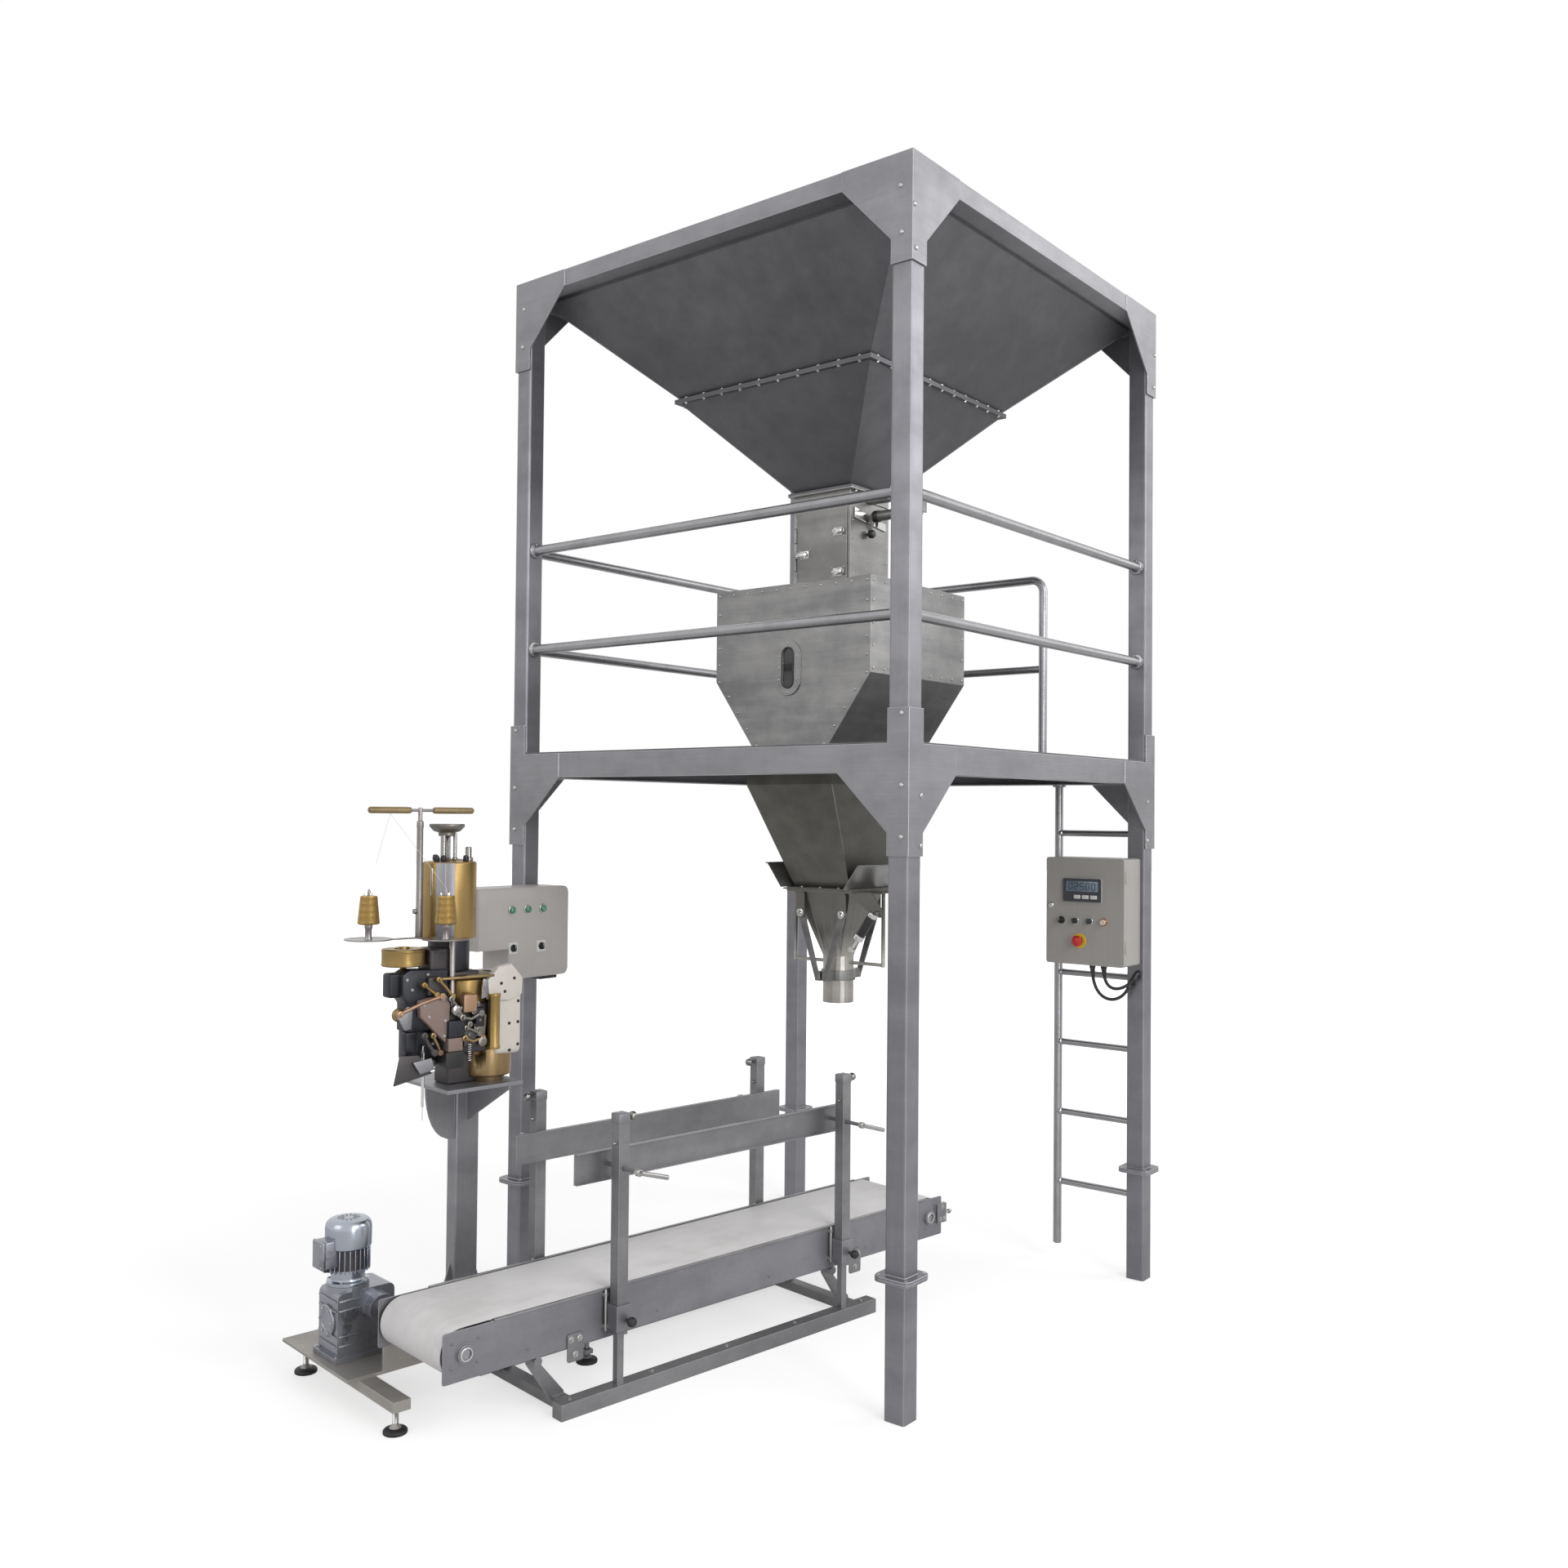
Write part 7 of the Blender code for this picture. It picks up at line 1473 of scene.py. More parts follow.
@dataclass
class ChuteDressing(Assembly):
    """The feed chute with its door, latches, gate drive and flange bolts."""

    half: Pair = (0.13, 0.136)
    low: float = 2.7353
    high: float = 3.1228
    lip: float = 0.01
    door_x: float = -0.1343
    drive_z: float = 3.0277

    def build(self) -> None:
        """Coat the chute and fit what hangs on it."""
        coat(CHUTE_STEEL, "feed_chute", "chute_door")
        coat(JAW_STEEL, "feed_gate")
        self.latches()
        self.bolts()
        self.drive()

    def latch(self) -> Object:
        """Model one toggle latch lying across, facing -X.

        Returns:
            The latch, as a master.
        """
        block((-0.003, -0.021, -0.016), (0, 0.021, 0.016), 0.001)
        plate(rounded((-0.027, -0.007), (0.018, 0.007), 0.005), Plane.YZ, -0.013, 0.004)
        for z in (-0.009, 0.009):
            block((-0.013, -0.006, z - 0.0015), (-0.002, 0.014, z + 0.0015), 0.0006)
        turned([(0.003, -0.013), (0.003, 0.013)], (-0.01, 0.008, 0), UP, 16, 0.0006)
        half = ((0.008, 0.01), (-0.03, 0.01), (-0.034, 0.006))
        bow = [*((y, -z) for y, z in half), *reversed(half)]
        tube([(-0.01, y, z) for y, z in bow], 0.0016, 2)
        return Bench.shelve()

    def latches(self) -> None:
        """Fit the latches on the door."""
        master = self.latch()
        flip = Matrix.Rotation(math.pi, 4, "X")
        spots = ((0.083, 2.882, flip), (-0.08, 2.958, Matrix()), (-0.08, 2.799, Matrix()))
        Bench.copies(master, [Matrix.Translation((self.door_x, y, z)) @ turn for y, z, turn in spots])
        self.fix("door_latches", CHROME, body="inspection_door")
        screws = []
        for y, z, _ in spots:
            screws += [((self.door_x, y + dy * 0.028, z + dz * 0.02), LEFT) for dy, dz in CORNERS]
        self.fit("door_screws", Head.DOME, 0.0034, screws, body="inspection_door")

    def bolts(self) -> None:
        """Bolt the chute's flanges and its corner seams."""
        spots, seams = [], []
        x, y = (half + self.lip for half in self.half)
        for run in (-0.108, -0.036, 0.036, 0.108):
            for z, facing in ((self.low + 0.008, UP), (self.high - 0.008, DOWN)):
                for side in SIDES:
                    spots.append(((run, side * y, z), facing))
                    if facing == UP or side > 0:
                        spots.append(((side * x, run, z), facing))
        x, y = self.half
        for side in SIDES:
            for z in (2.79, 2.86, 2.93, 3.0):
                seams += [
                    ((side * 0.112, -y, z), NEAR), ((side * 0.112, y, z), FAR),
                    ((x, side * 0.118, z), RIGHT),
                ]
        self.fit("chute_flange_bolts", Head.HEX, 0.0052, spots)
        self.fit("chute_seam_bolts", Head.DOME, 0.0042, seams)

    def drive(self) -> None:
        """Fit the bracket, end caps, knob and elbows of the gate drive."""
        y = -self.half[1]
        plate([(-0.108, 3.01), (-0.108, 3.05), (0.102, 3.016), (0.102, 2.986)], Plane.XZ, y - 0.004, 0.006)
        self.fix("gate_bracket", CHROME)
        for start, length in ((-0.182, 0.022), (-0.372, 0.024)):
            cap = [(0.0206, 0), (0.0232, 0), (0.0232, length), (0.0206, length)]
            turned(cap, (0, start, self.drive_z), FAR, 28, 0.001, True)
        self.fix("gate_drive_caps", BLACK, "black_plastic")
        knob = [(0.005, 0), (0.005, 0.01), (0.015, 0.012), (0.0165, 0.018), (0.0165, 0.028), (0.012, 0.034)]
        turned([*knob, (0.004, 0.035)], (-0.017, y, 2.957), NEAR, 24, 0.0008)
        self.fix("gate_lock_knob", BLACK, "black_plastic")
        port = [(0.007, 0), (0.007, 0.012), (0.005, 0.013), (0.005, 0.022)]
        for place in (-0.17, -0.36):
            turned(port, (0, place, self.drive_z - 0.02), DOWN, 6, 0.0006)
        side = [(0.012, 0), (0.012, 0.016), (0.009, 0.018), (0.009, 0.03)]
        turned(side, (0.118, y, 3.05), NEAR, 20, 0.0008)
        self.fix("gate_drive_ports", BLACK, "black_plastic")


@dataclass
class HousingDressing(Assembly):
    """The weigh housing with its bolt rows, sight glass and trims."""

    half: Pair = (0.325, 0.373)
    top: float = 2.735
    knee: float = 2.378
    foot_y: float = 0.166
    foot: float = 2.0916
    inset: float = 0.017
    pitch: float = 0.074
    sight: Pair = (0.007, 2.415)

    def build(self) -> None:
        """Coat the housing and fit its bolts and sight glass."""
        coat(HOUSING_STEEL, "weigh_housing")
        coat(JAW_STEEL, "weigh_bucket", "bucket_flap")
        coat(SIGHT_PANE, "sight_glass")
        self.bolts()
        self.feet()
        self.glass()

    def row(self, start: Point, end: Point, facing: Point) -> list[Spot]:
        """List evenly spaced bolts along one edge."""
        count = max(2, round((Vector(end) - Vector(start)).length / self.pitch) + 1)
        return [(point, facing) for point in along(start, end, count)]

    def slope(self, face: float, end: int, z: float) -> Point:
        """Give a place just inside a wall's slanting edge."""
        share = (self.knee - z) / (self.knee - self.foot)
        return face, end * (self.half[1] + (self.foot_y - self.half[1]) * share - self.inset * 1.4), z

    def bolts(self) -> None:
        """Run a row of bolts along each edge of the four walls."""
        x, y = (half - self.inset for half in self.half)
        top, knee = self.top - self.inset, self.knee + self.inset
        spots = []
        for side in SIDES:
            face, facing = side * self.half[0], (side, 0, 0)
            spots += self.row((face, -y, top), (face, y, top), facing)
            for end in SIDES:
                spots += self.row((face, end * y, top - self.pitch), (face, end * y, self.knee), facing)
                start = self.slope(face, end, self.knee - 0.06)
                spots += self.row(start, self.slope(face, end, self.foot + 0.03), facing)
            wall, facing = side * self.half[1], (0, side, 0)
            spots += self.row((-x, wall, top), (x, wall, top), facing)
            for end in SIDES:
                spots += self.row((end * x, wall, top - self.pitch), (end * x, wall, knee), facing)
            spots += self.row((0.09 - self.half[0], wall, knee), (self.half[0] - 0.09, wall, knee), facing)
        self.fit("housing_bolts", Head.DOME, 0.0052, spots)

    def feet(self) -> None:
        """Bolt the housing's foot to the deck."""
        spots = []
        for run in (-0.26, -0.13, 0.0, 0.13, 0.26):
            for side in SIDES:
                spots.append(((run, side * (self.foot_y + 0.02), self.foot), UP))
                spots.append(((side * (self.half[0] + 0.02), run * 0.55, self.foot), UP))
        self.fit("housing_foot_bolts", Head.HEX, 0.006, spots)

    def glass(self) -> None:
        """Fit the sight glass's gasket and its bolts."""
        y, z = self.sight
        plate(oblong(self.sight, 0.06, 0.16), Plane.YZ, -0.3318, 0.003, 0.0008)
        plate(oblong(self.sight, 0.047, 0.147), Plane.YZ, -0.332, 0.02, 0.0)
        Bench.cut()
        self.fix("sight_gasket", BLACK, "black_plastic")
        spots = [(side * 0.043, up) for side in SIDES for up in (0.045, 0.0, -0.045)]
        spots += [(0.0, 0.094), (0.0, -0.094)]
        bolts = [((-0.331, y + across, z + up), LEFT) for across, up in spots]
        self.fit("sight_bolts", Head.DOME, 0.0044, bolts)


@dataclass
class SpoutDressing(Assembly):
    """The discharge hopper, the bag spout, its clamp and their fixings."""

    wall: Pair = (0.33, 0.207)
    wall_z: float = 2.03
    knee: float = 1.97
    outlet: Pair = (0.1095, 0.1325)
    flange: Pair = (0.123, 0.146)
    flange_z: float = 1.57
    pivot: Pair = (0.1, 1.47)
    lug_x: float = 0.1213
    head: Point = (-0.146, -0.272, 1.485)
    lean: float = 36.0

    def build(self) -> None:
        """Coat the spout's parts and fit pins, nuts, the ram's sleeve, welds and guides."""
        coat(DISCHARGE_STEEL, "discharge_hopper")
        coat(SPOUT_STEEL, "bag_spout")
        coat(JAW_STEEL, "clamp_jaw_left", "clamp_jaw_right")
        coat(CHROME, "clamp_rod")
        self.bolts()
        self.ram()
        self.weld((0.3285, 0.2055), self.knee, self.outlet, self.flange_z + 0.006, 16, 0.0024)
        self.fix("discharge_welds", JAW_STEEL, "hopper_steel")
        self.guides()

    def bolts(self) -> None:
        """Bolt the outlet flange, the jaw pivots and the discharge hopper's walls."""
        x, y = self.flange
        level = self.flange_z + 0.0002
        spots, rows = [], []
        for shift in (-0.09, 0.0, 0.09):
            for side in SIDES:
                spots += [((side * x, shift, level), UP), ((shift, side * y, level), UP)]
        self.fit("outlet_flange_bolts", Head.HEX, 0.0055, spots)
        across, up = self.pivot
        nuts = [((side * self.lug_x, end * across, up), (side, 0, 0)) for side, end in CORNERS]
        self.fit("jaw_pivot_nuts", Head.HEX, 0.0098, nuts, CHROME)
        x, y = self.wall
        for side in SIDES:
            for point in along((-0.26, 0, 0), (0.26, 0, 0), 6):
                rows.append(((point.x, side * y, self.wall_z), (0, side, 0)))
            for point in along((-0.15, 0, 0), (0.15, 0, 0), 4):
                rows.append(((side * x, point.x, self.wall_z), (side, 0, 0)))
        self.fit("discharge_bolts", Head.DOME, 0.005, rows)

    def ram(self) -> None:
        """Sleeve the clamp's air cylinder and fit its end rings."""
        lean = math.radians(self.lean)
        axis = (0, math.sin(lean), -math.cos(lean))
        sleeve = [(0.0161, 0.016), (0.0178, 0.016), (0.0178, 0.104), (0.0161, 0.104)]
        turned(sleeve, self.head, axis, 32, 0.0006, True)
        self.fix("ram_sleeve", BLACK, "black_plastic")
        for start, stop in ((-0.003, 0.016), (0.104, 0.1255)):
            ring = [(0.007, start), (0.0192, start), (0.0192, stop), (0.007, stop)]
            turned(ring, self.head, axis, 32, 0.0012, True)
        self.fix("ram_ends", CHROME, "needle_chrome")

    def guides(self) -> None:
        """Stand a flared plate on each side of the outlet flange."""
        flare = (
            (0.15, 1.5705), (0.154, 1.5705), (0.222, 1.662), (0.232, 1.662), (0.232, 1.666), (0.219, 1.666),
        )
        for side in SIDES:
            plate([(side * across, z) for across, z in flare], Plane.YZ, -0.01, 0.34, 0.0006)
        self.fix("bag_guides", JAW_STEEL)


# Control panel


@dataclass
class ControlCables(Assembly):
    """The two black cables under the control enclosure."""

    slot: str = "black_plastic"
    gland: Pair = (0.7547, 1.242)
    starts: Pair = (-0.7275, -0.7775)
    ends: Profile = ((-0.8675, 1.181952), (-0.8915, 1.216952))
    post_x: float = 0.8222
    radius: float = 0.0065
    lead: float = 0.022
    drop: float = 0.15
    nest: float = 0.035
    steps: int = 30
    gap: float = 0.0003

    def route(self, index: int) -> list[Vector]:
        """List one cable's points, from its gland to the elbow on the post.

        Args:
            index: Which cable it is.

        Returns:
            The points of a smooth curve, in the station's frame.
        """
        end_y, end_z = self.ends[index]
        start = Vector((self.gland[0], self.starts[index], self.gland[1] - self.gap))
        bend = Vector((self.post_x - self.lead, end_y, end_z))
        first = start - Vector((0, 0, self.drop - self.nest * index))
        second = bend + Vector((-self.lead, self.lead, self.nest * index - self.drop * 0.6))
        points = []
        for step in range(self.steps + 1):
            t = step / self.steps
            back = 1 - t
            near = start * back ** 3 + first * (3 * back ** 2 * t)
            points.append(near + second * (3 * back * t ** 2) + bend * t ** 3)
        return points

    def build(self) -> None:
        for index, letter in enumerate("ab"):
            local = self.route(index)
            path = [STATION.point(point) for point in local]
            piece = drawn(f"panel_cable_{letter}", path, self.radius, 5)
            dress(piece, RUBBER, WORLD, replaces=(f"control_cable_{letter}",))
            self.relief(letter, local)
            self.elbow(letter, local)

    def relief(self, letter: str, path: Sequence[Vector]) -> None:
        """Fit the ribbed taper that a cable leaves its gland through.

        Args:
            letter: The cable's letter.
            path: The cable's points.
        """
        profile = [(0.0066, 0), (0.0108, 0)]
        for rib in range(6):
            radius, height = 0.0108 - 0.0006 * rib, 0.005 * rib
            valley = radius - 0.0012
            profile += [(radius, height + 0.003), (valley, height + 0.0034), (valley, height + 0.0047)]
        profile += [(0.007, 0.031), (0.0066, 0.031)]
        turned(profile, path[0], path[4] - path[0], 24, 0.0, True)
        self.fix(f"cable_relief_{letter}", BLACK)

    def elbow(self, letter: str, path: Sequence[Vector]) -> None:
        """Fit the elbow that a cable enters the post through.

        Args:
            letter: The cable's letter.
            path: The cable's points.
        """
        bend, ahead = path[-1], (path[-1] - path[-2]).normalized()
        nut = [(0.0105, 0), (0.0125, 0.003), (0.0125, 0.016), (0.0105, 0.018)]
        turned(nut, bend - ahead * 0.016, ahead, 20, 0.0005)
        corner = bend + ahead * 0.01
        wall = Vector((self.post_x, corner.y, corner.z))
        inner = wall + Vector((0.001, 0, 0))
        tube([bend, corner.lerp(bend, 0.3), corner.lerp(inner, 0.25), inner], 0.0105, 5)
        turned([(0.0165, 0), (0.0165, 0.005), (0.014, 0.007)], wall, LEFT, 6, 0.0006)
        self.fix(f"cable_elbow_{letter}", BLACK)


@dataclass
class PanelDressing(Assembly):
    """The control enclosure's door, display and push buttons."""

    slot: str = "black_plastic"
    face: float = 0.6709
    left: float = -0.5625
    right: float = -0.9025
    low: float = 1.262
    high: float = 1.692
    display: Pair = (-0.7245, 1.562)
    row_z: float = 1.438
    row_y: Sequence[float] = (-0.6305, -0.6925, -0.7545, -0.8165)
    estop: Pair = (-0.7105, 1.358)
    gland_x: float = 0.7547
    gland_y: Pair = (-0.7275, -0.7775)

    def build(self) -> None:
        """Dress the enclosure, its door and its controls."""
        coat(BOX_ENAMEL, "control_enclosure", "control_door")
        coat(GRAPHITE, "display_unit")
        self.door()
        self.screen()
        self.buttons()
        self.mushroom()
        self.glands()

    def on_door(self, name: str, finish: Finish, slot: str) -> None:
        """Fix the loose parts to the door."""
        self.fix(name, finish, slot, "panel_door")

    def door(self) -> None:
        """Fit the lock, the hinges and the seal."""
        face, low, high = self.face, self.low, self.high
        lock = [(0.0125, 0), (0.0125, 0.002), (0.0105, 0.004), (0.0105, 0.007), (0.009, 0.008)]
        turned(lock, (face, -0.583, 1.496), LEFT, 28, 0.0005)
        block((face - 0.02, -0.5845, 1.49), (face - 0.0045, -0.5815, 1.502), 0.0)
        Bench.cut()
        self.on_door("panel_lock", CHROME, "needle_chrome")
        barrel = [(0.0035, -0.024), (0.005, -0.022), (0.005, 0.022), (0.0035, 0.024)]
        for z in (low + 0.075, high - 0.075):
            turned(barrel, (face + 0.016, self.right, z), UP, 16, 0.0005)
        self.fix("panel_hinges", BOX_ENAMEL, "enclosure_paint")
        seal = rounded((self.right + 0.004, low + 0.004), (self.left - 0.004, high - 0.004), 0.008)
        plate(seal, Plane.YZ, face + 0.0161, 0.0008, 0.0)
        block((face, self.right + 0.016, low + 0.016), (face + 0.03, self.left - 0.016, high - 0.016), 0.0)
        Bench.cut()
        self.fix("panel_seal", BLACK)

    def screen(self) -> None:
        """Fit the screen with plain figures, the keys under it and the bezel."""
        y, z = self.display
        floor = self.face - 0.0068
        pane = rounded((y - 0.07, z - 0.0055), (y + 0.07, z + 0.0355), 0.002)
        plate(pane, Plane.YZ, floor - 0.0004, 0.0008, 0.0002)
        self.on_door("display_pane", SCREEN_BLUE, "display_plastic")
        self.figures(floor - 0.001, y + 0.05, z + 0.015)
        self.on_door("display_figures", DIGIT_INK, "display_plastic")
        plate(rounded((-0.014, -0.0075), (0.014, 0.0075), 0.002), Plane.YZ, 0.0, 0.004, 0.0007)
        keys = [(self.face - 0.0093, y + shift, z - 0.027) for shift in (-0.052, -0.016, 0.02)]
        Bench.copies(Bench.shelve(), [Matrix.Translation(key) for key in keys])
        self.on_door("display_keys", KEY_WHITE, "button_plastic")
        bezel = rounded((y - 0.0835, z - 0.048), (y + 0.0835, z + 0.048), 0.006)
        plate(bezel, Plane.YZ, self.face - 0.0016, 0.0024, 0.0008)
        self.on_door("display_bezel", KEY_WHITE, "display_plastic")

    def figures(self, x: float, y: float, z: float, half: float = 0.0072, pitch: float = 0.025) -> None:
        """Lay a row of seven-bar figures.

        Args:
            x: Where the bars' middles are across the screen.
            y: The first figure's middle along the row.
            z: The row's height.
            half: Half a figure's width.
            pitch: The step from figure to figure.
        """
        bar = [
            (-0.0068, 0), (-0.0054, 0.0013), (0.0054, 0.0013), (0.0068, 0), (0.0054, -0.0013),
            (-0.0054, -0.0013),
        ]
        plate(bar, Plane.YZ, 0.0, 0.0006, 0.0)
        master = Bench.shelve()
        lit = {"0": "abcdef", "2": "abged", "5": "afgcd"}
        level = {"a": (0, 2), "d": (0, -2), "g": (0, 0)}
        upright = {"b": (-1, 1), "c": (-1, -1), "e": (1, -1), "f": (1, 1)}
        places = []
        for column, figure in enumerate("02500"):
            for name in lit[figure]:
                across, up = {**level, **upright}[name]
                spot = (x, y - pitch * column + across * half, z + up * half * 0.93)
                stand = Matrix.Rotation(math.pi / 2 if name in upright else 0.0, 4, "X")
                places.append(Matrix.Translation(spot) @ stand)
        Bench.copies(master, places)

    def ring(
        self, name: str, place: Pair, radii: Pair, high: float, finish: Finish, slot: str = "black_plastic"
    ) -> None:
        """Fit one bezel ring on the door.

        Args:
            name: The ring's name.
            place: Its middle on the door.
            radii: Its inner and outer radius.
            high: How far it stands out.
            finish: Its finish.
            slot: Not used.
        """
        inner, outer = radii
        profile = [(inner, 0), (outer, 0), (outer, high * 0.6), (outer - 0.001, high), (inner, high)]
        turned(profile, (self.face, *place), LEFT, 36, 0.0003, True)
        self.on_door(name, finish, slot)

    def buttons(self) -> None:
        """Fit the selector and the three push buttons with dished caps in their rings."""
        for index, y in enumerate(self.row_y):
            finish = (BLACK, CHROME, CHROME, COPPER)[index]
            slot = "needle_chrome" if index else "black_plastic"
            self.ring(f"button_ring_{index}", (y, self.row_z), (0.0118, 0.0152), 0.0038, finish, slot)
        cap = [(0.006, -0.011), (0.006, 0.005), (0.0115, 0.005), (0.0115, 0.013), (0.0104, 0.0155)]
        cap += [(0.0085, 0.0162), (0.0075, 0.0152), (0.003, 0.0147)]
        face, z = self.face, self.row_z
        for y, body, finish in zip(self.row_y[1:], ("start", "stop", "lamp"), (BLACK, GRAPHITE, LAMP_PALE)):
            turned(cap, (face, y, z), LEFT, 36, 0.0002)
            self.fix(f"{body}_cap", finish, "button_plastic", body, (f"{body}_button",))
        y = self.row_y[0]
        knob = [
            (0.006, -0.011), (0.006, 0.0005), (0.0115, 0.0005), (0.0115, 0.01), (0.0105, 0.012),
            (0.004, 0.0122),
        ]
        turned(knob, (face, y, z), LEFT, 32, 0.0004)
        block((face - 0.0235, y - 0.004, z - 0.0105), (face - 0.009, y + 0.004, z + 0.0105), 0.0012)
        self.fix("selector_lever", BLACK, body="selector", replaces=("selector_knob",))
        block((face - 0.0238, y - 0.0008, z + 0.001), (face - 0.0233, y + 0.0008, z + 0.0095), 0.0001)
        self.fix("selector_mark", KEY_WHITE, "button_plastic", "selector")

    def mushroom(self) -> None:
        """Fit the emergency stop's mushroom on its yellow disc."""
        self.ring("estop_disc", self.estop, (0.0075, 0.03), 0.0022, YELLOW, "button_plastic")
        self.ring("estop_collar", self.estop, (0.007, 0.015), 0.007, BLACK)
        cap = [(0.006, -0.0094), (0.006, 0.0136), (0.0135, 0.0136), (0.0135, 0.0162), (0.0205, 0.0185)]
        cap += [
            (0.022, 0.0215), (0.022, 0.0262), (0.02, 0.03), (0.015, 0.0326), (0.008, 0.0338),
            (0.003, 0.034),
        ]
        turned(cap, (self.face, *self.estop), LEFT, 40, 0.0004)
        self.fix("estop_mushroom", RED, "red_plastic", "estop", ("estop_button",))

    def glands(self) -> None:
        """Fit the nuts of the cable glands."""
        dome = [
            (0.0112, 0.007), (0.0128, 0.007), (0.0128, 0.014), (0.0112, 0.0195), (0.007, 0.0203),
            (0.007, 0.01),
        ]
        for y in self.gland_y:
            place = (self.gland_x, y, self.low)
            turned([(0.0155, 0), (0.0155, 0.007), (0.0135, 0.009)], place, DOWN, 6, 0.0008)
            turned(dome, place, DOWN, 20, 0.0, True)
        self.fix("gland_nuts", BLACK)


# Conveyor


@dataclass
class ConveyorDressing(Assembly):
    """The belt conveyor with its guides, knobs and lifting base."""

    axes: Axes = LINE
    slot: str = "line_steel"
    half: float = 0.1975
    drive_x: float = -1.815
    tail_x: float = 0.262
    axle_z: float = 0.267
    belt_out: float = 0.0744
    belt: float = 0.0038
    belt_half: float = 0.18
    post_x: Pair = (-1.285, -0.27)
    post_y: float = 0.235
    rod_z: float = 0.73

    def build(self) -> None:
        """Coat the conveyor and build its belt and fittings."""
        coat(LINE_STEEL, "conveyor_frame")
        coat(BASE_STEEL, "conveyor_base")
        coat(PLATE_STEEL, "drive_base")
        coat(GUIDE_STEEL, "guide_rail_front", "guide_rail_rear")
        coat(RAIL_STEEL, "drive_roller", "tail_roller")
        self.belting()
        self.lips()
        self.bearings()
        self.knobs()
        self.handles()
        self.clamps()
        self.brackets()
        self.feet()

    def posts(self) -> list[tuple[float, int]]:
        """List the guide posts' places along the line and their sides."""
        return [(x, side) for x in self.post_x for side in SIDES]

    def belting(self) -> None:
        """Build the belt as one smooth loop."""
        ends = ((self.drive_x, math.pi / 2), (self.tail_x, -math.pi / 2))
        loop = [p for x, start in ends for p in arc((x, self.axle_z), self.belt_out, start, math.pi, 28)]
        piece = Bench.outlined([Vector((x, -self.belt_half, z)) for x, z in loop], "NOTHING")
        Bench.pulled(piece, (0, 2 * self.belt_half, 0))
        Bench.shaped(piece, "SOLIDIFY", thickness=self.belt, offset=-1.0)
        Bench.ease(piece, 0.001, 2, 60)
        self.fix("belt_loop", BELT_WHITE, "belt", replaces=("conveyor_belt",))

    def lips(self) -> None:
        """Lay a black strip of painted shade in the gap and a folded lip along each side of the belt."""
        start, end = self.drive_x + 0.1, self.tail_x - 0.02
        strips = (
            # The first strip is black painted shade in the gap beside the belt.
            ("belt_gap_shade", (0.1806, 0.188), 0.3405, BLACK),
            ("panel_lips", (0.1885, 0.2), 0.3432, GUIDE_STEEL),
        )
        for name, reach, high, finish in strips:
            for side in SIDES:
                near, far = sorted(side * across for across in reach)
                block((start, near, 0.336), (end, far, high), 0.0008)
            self.fix(name, finish)

    def bearings(self) -> None:
        """Fit bearing rings, small screws and take-up screws at the roller ends."""
        ring = [(0.0165, 0), (0.021, 0), (0.021, 0.002), (0.0195, 0.0036), (0.0165, 0.0036)]
        for x, side in ((self.drive_x, -1), (self.tail_x, -1), (self.tail_x, 1)):
            turned(ring, (x, side * (self.half + 0.009), self.axle_z), (0, side, 0), 36, 0.0004, True)
        self.fix("roller_bearings", CHROME, "roller_steel")
        corners = ((-0.044, 0.038), (0.044, 0.036), (0.042, -0.034), (-0.045, -0.034))
        places = [(self.drive_x + dx, self.axle_z + dz) for dx, dz in corners]
        places += [(x, 0.225) for x in (-1.6, -1.1, -0.6, -0.1, 0.24)]
        screws, nuts = [], []
        for side in SIDES:
            screws += [((x, side * self.half, z), (0, side, 0)) for x, z in places]
            for x, z in ((0.318, 0.252), (0.342, 0.252), (0.33, 0.298)):
                nuts.append(((x, side * (self.half + 0.012), z), (0, side, 0)))
        self.fit("line_screws", Head.DOME, 0.0044, screws, HEAD_BOLT)
        self.fit("take_up_nuts", Head.HEX, 0.0058, nuts)
        rod = [
            (0.0045, 0), (0.0045, 0.018), (0.009, 0.018), (0.009, 0.026), (0.0045, 0.027), (0.0045, 0.036),
        ]
        for side in SIDES:
            turned(rod, (0.3535, side * (self.half + 0.006), 0.272), RIGHT, 12, 0.0005)
        self.fix("take_up_screws", BOLT_STEEL)

    def knobs(self) -> None:
        """Fit the ball knobs and the pins of the post sleeves."""
        ball = [(0.0045, 0), (0.0045, 0.01), (0.009, 0.0115), (0.0135, 0.0155), (0.0158, 0.0215)]
        ball += [(0.0162, 0.0265), (0.0148, 0.0325), (0.011, 0.0375), (0.005, 0.0395)]
        for x, side in self.posts():
            turned(ball, (x + 0.012, side * (self.post_y + 0.028), 0.252), (0, side, 0), 24, 0.0004)
        self.fix("sleeve_knobs", BLACK, "black_plastic")
        pin = [(0.0032, 0.214), (0.0044, 0.216), (0.0044, 0.34), (0.0032, 0.343)]
        for x, side in self.posts():
            turned(pin, (x - 0.0325, side * (self.half + 0.012), 0), UP, 16)
            low, high = sorted((side * (self.half - 0.001), side * (self.half + 0.016)))
            for z in (0.222, 0.322):
                block((x - 0.0385, low, z), (x - 0.0265, high, z + 0.012), 0.0012)
        self.fix("sleeve_pins", BOLT_STEEL)

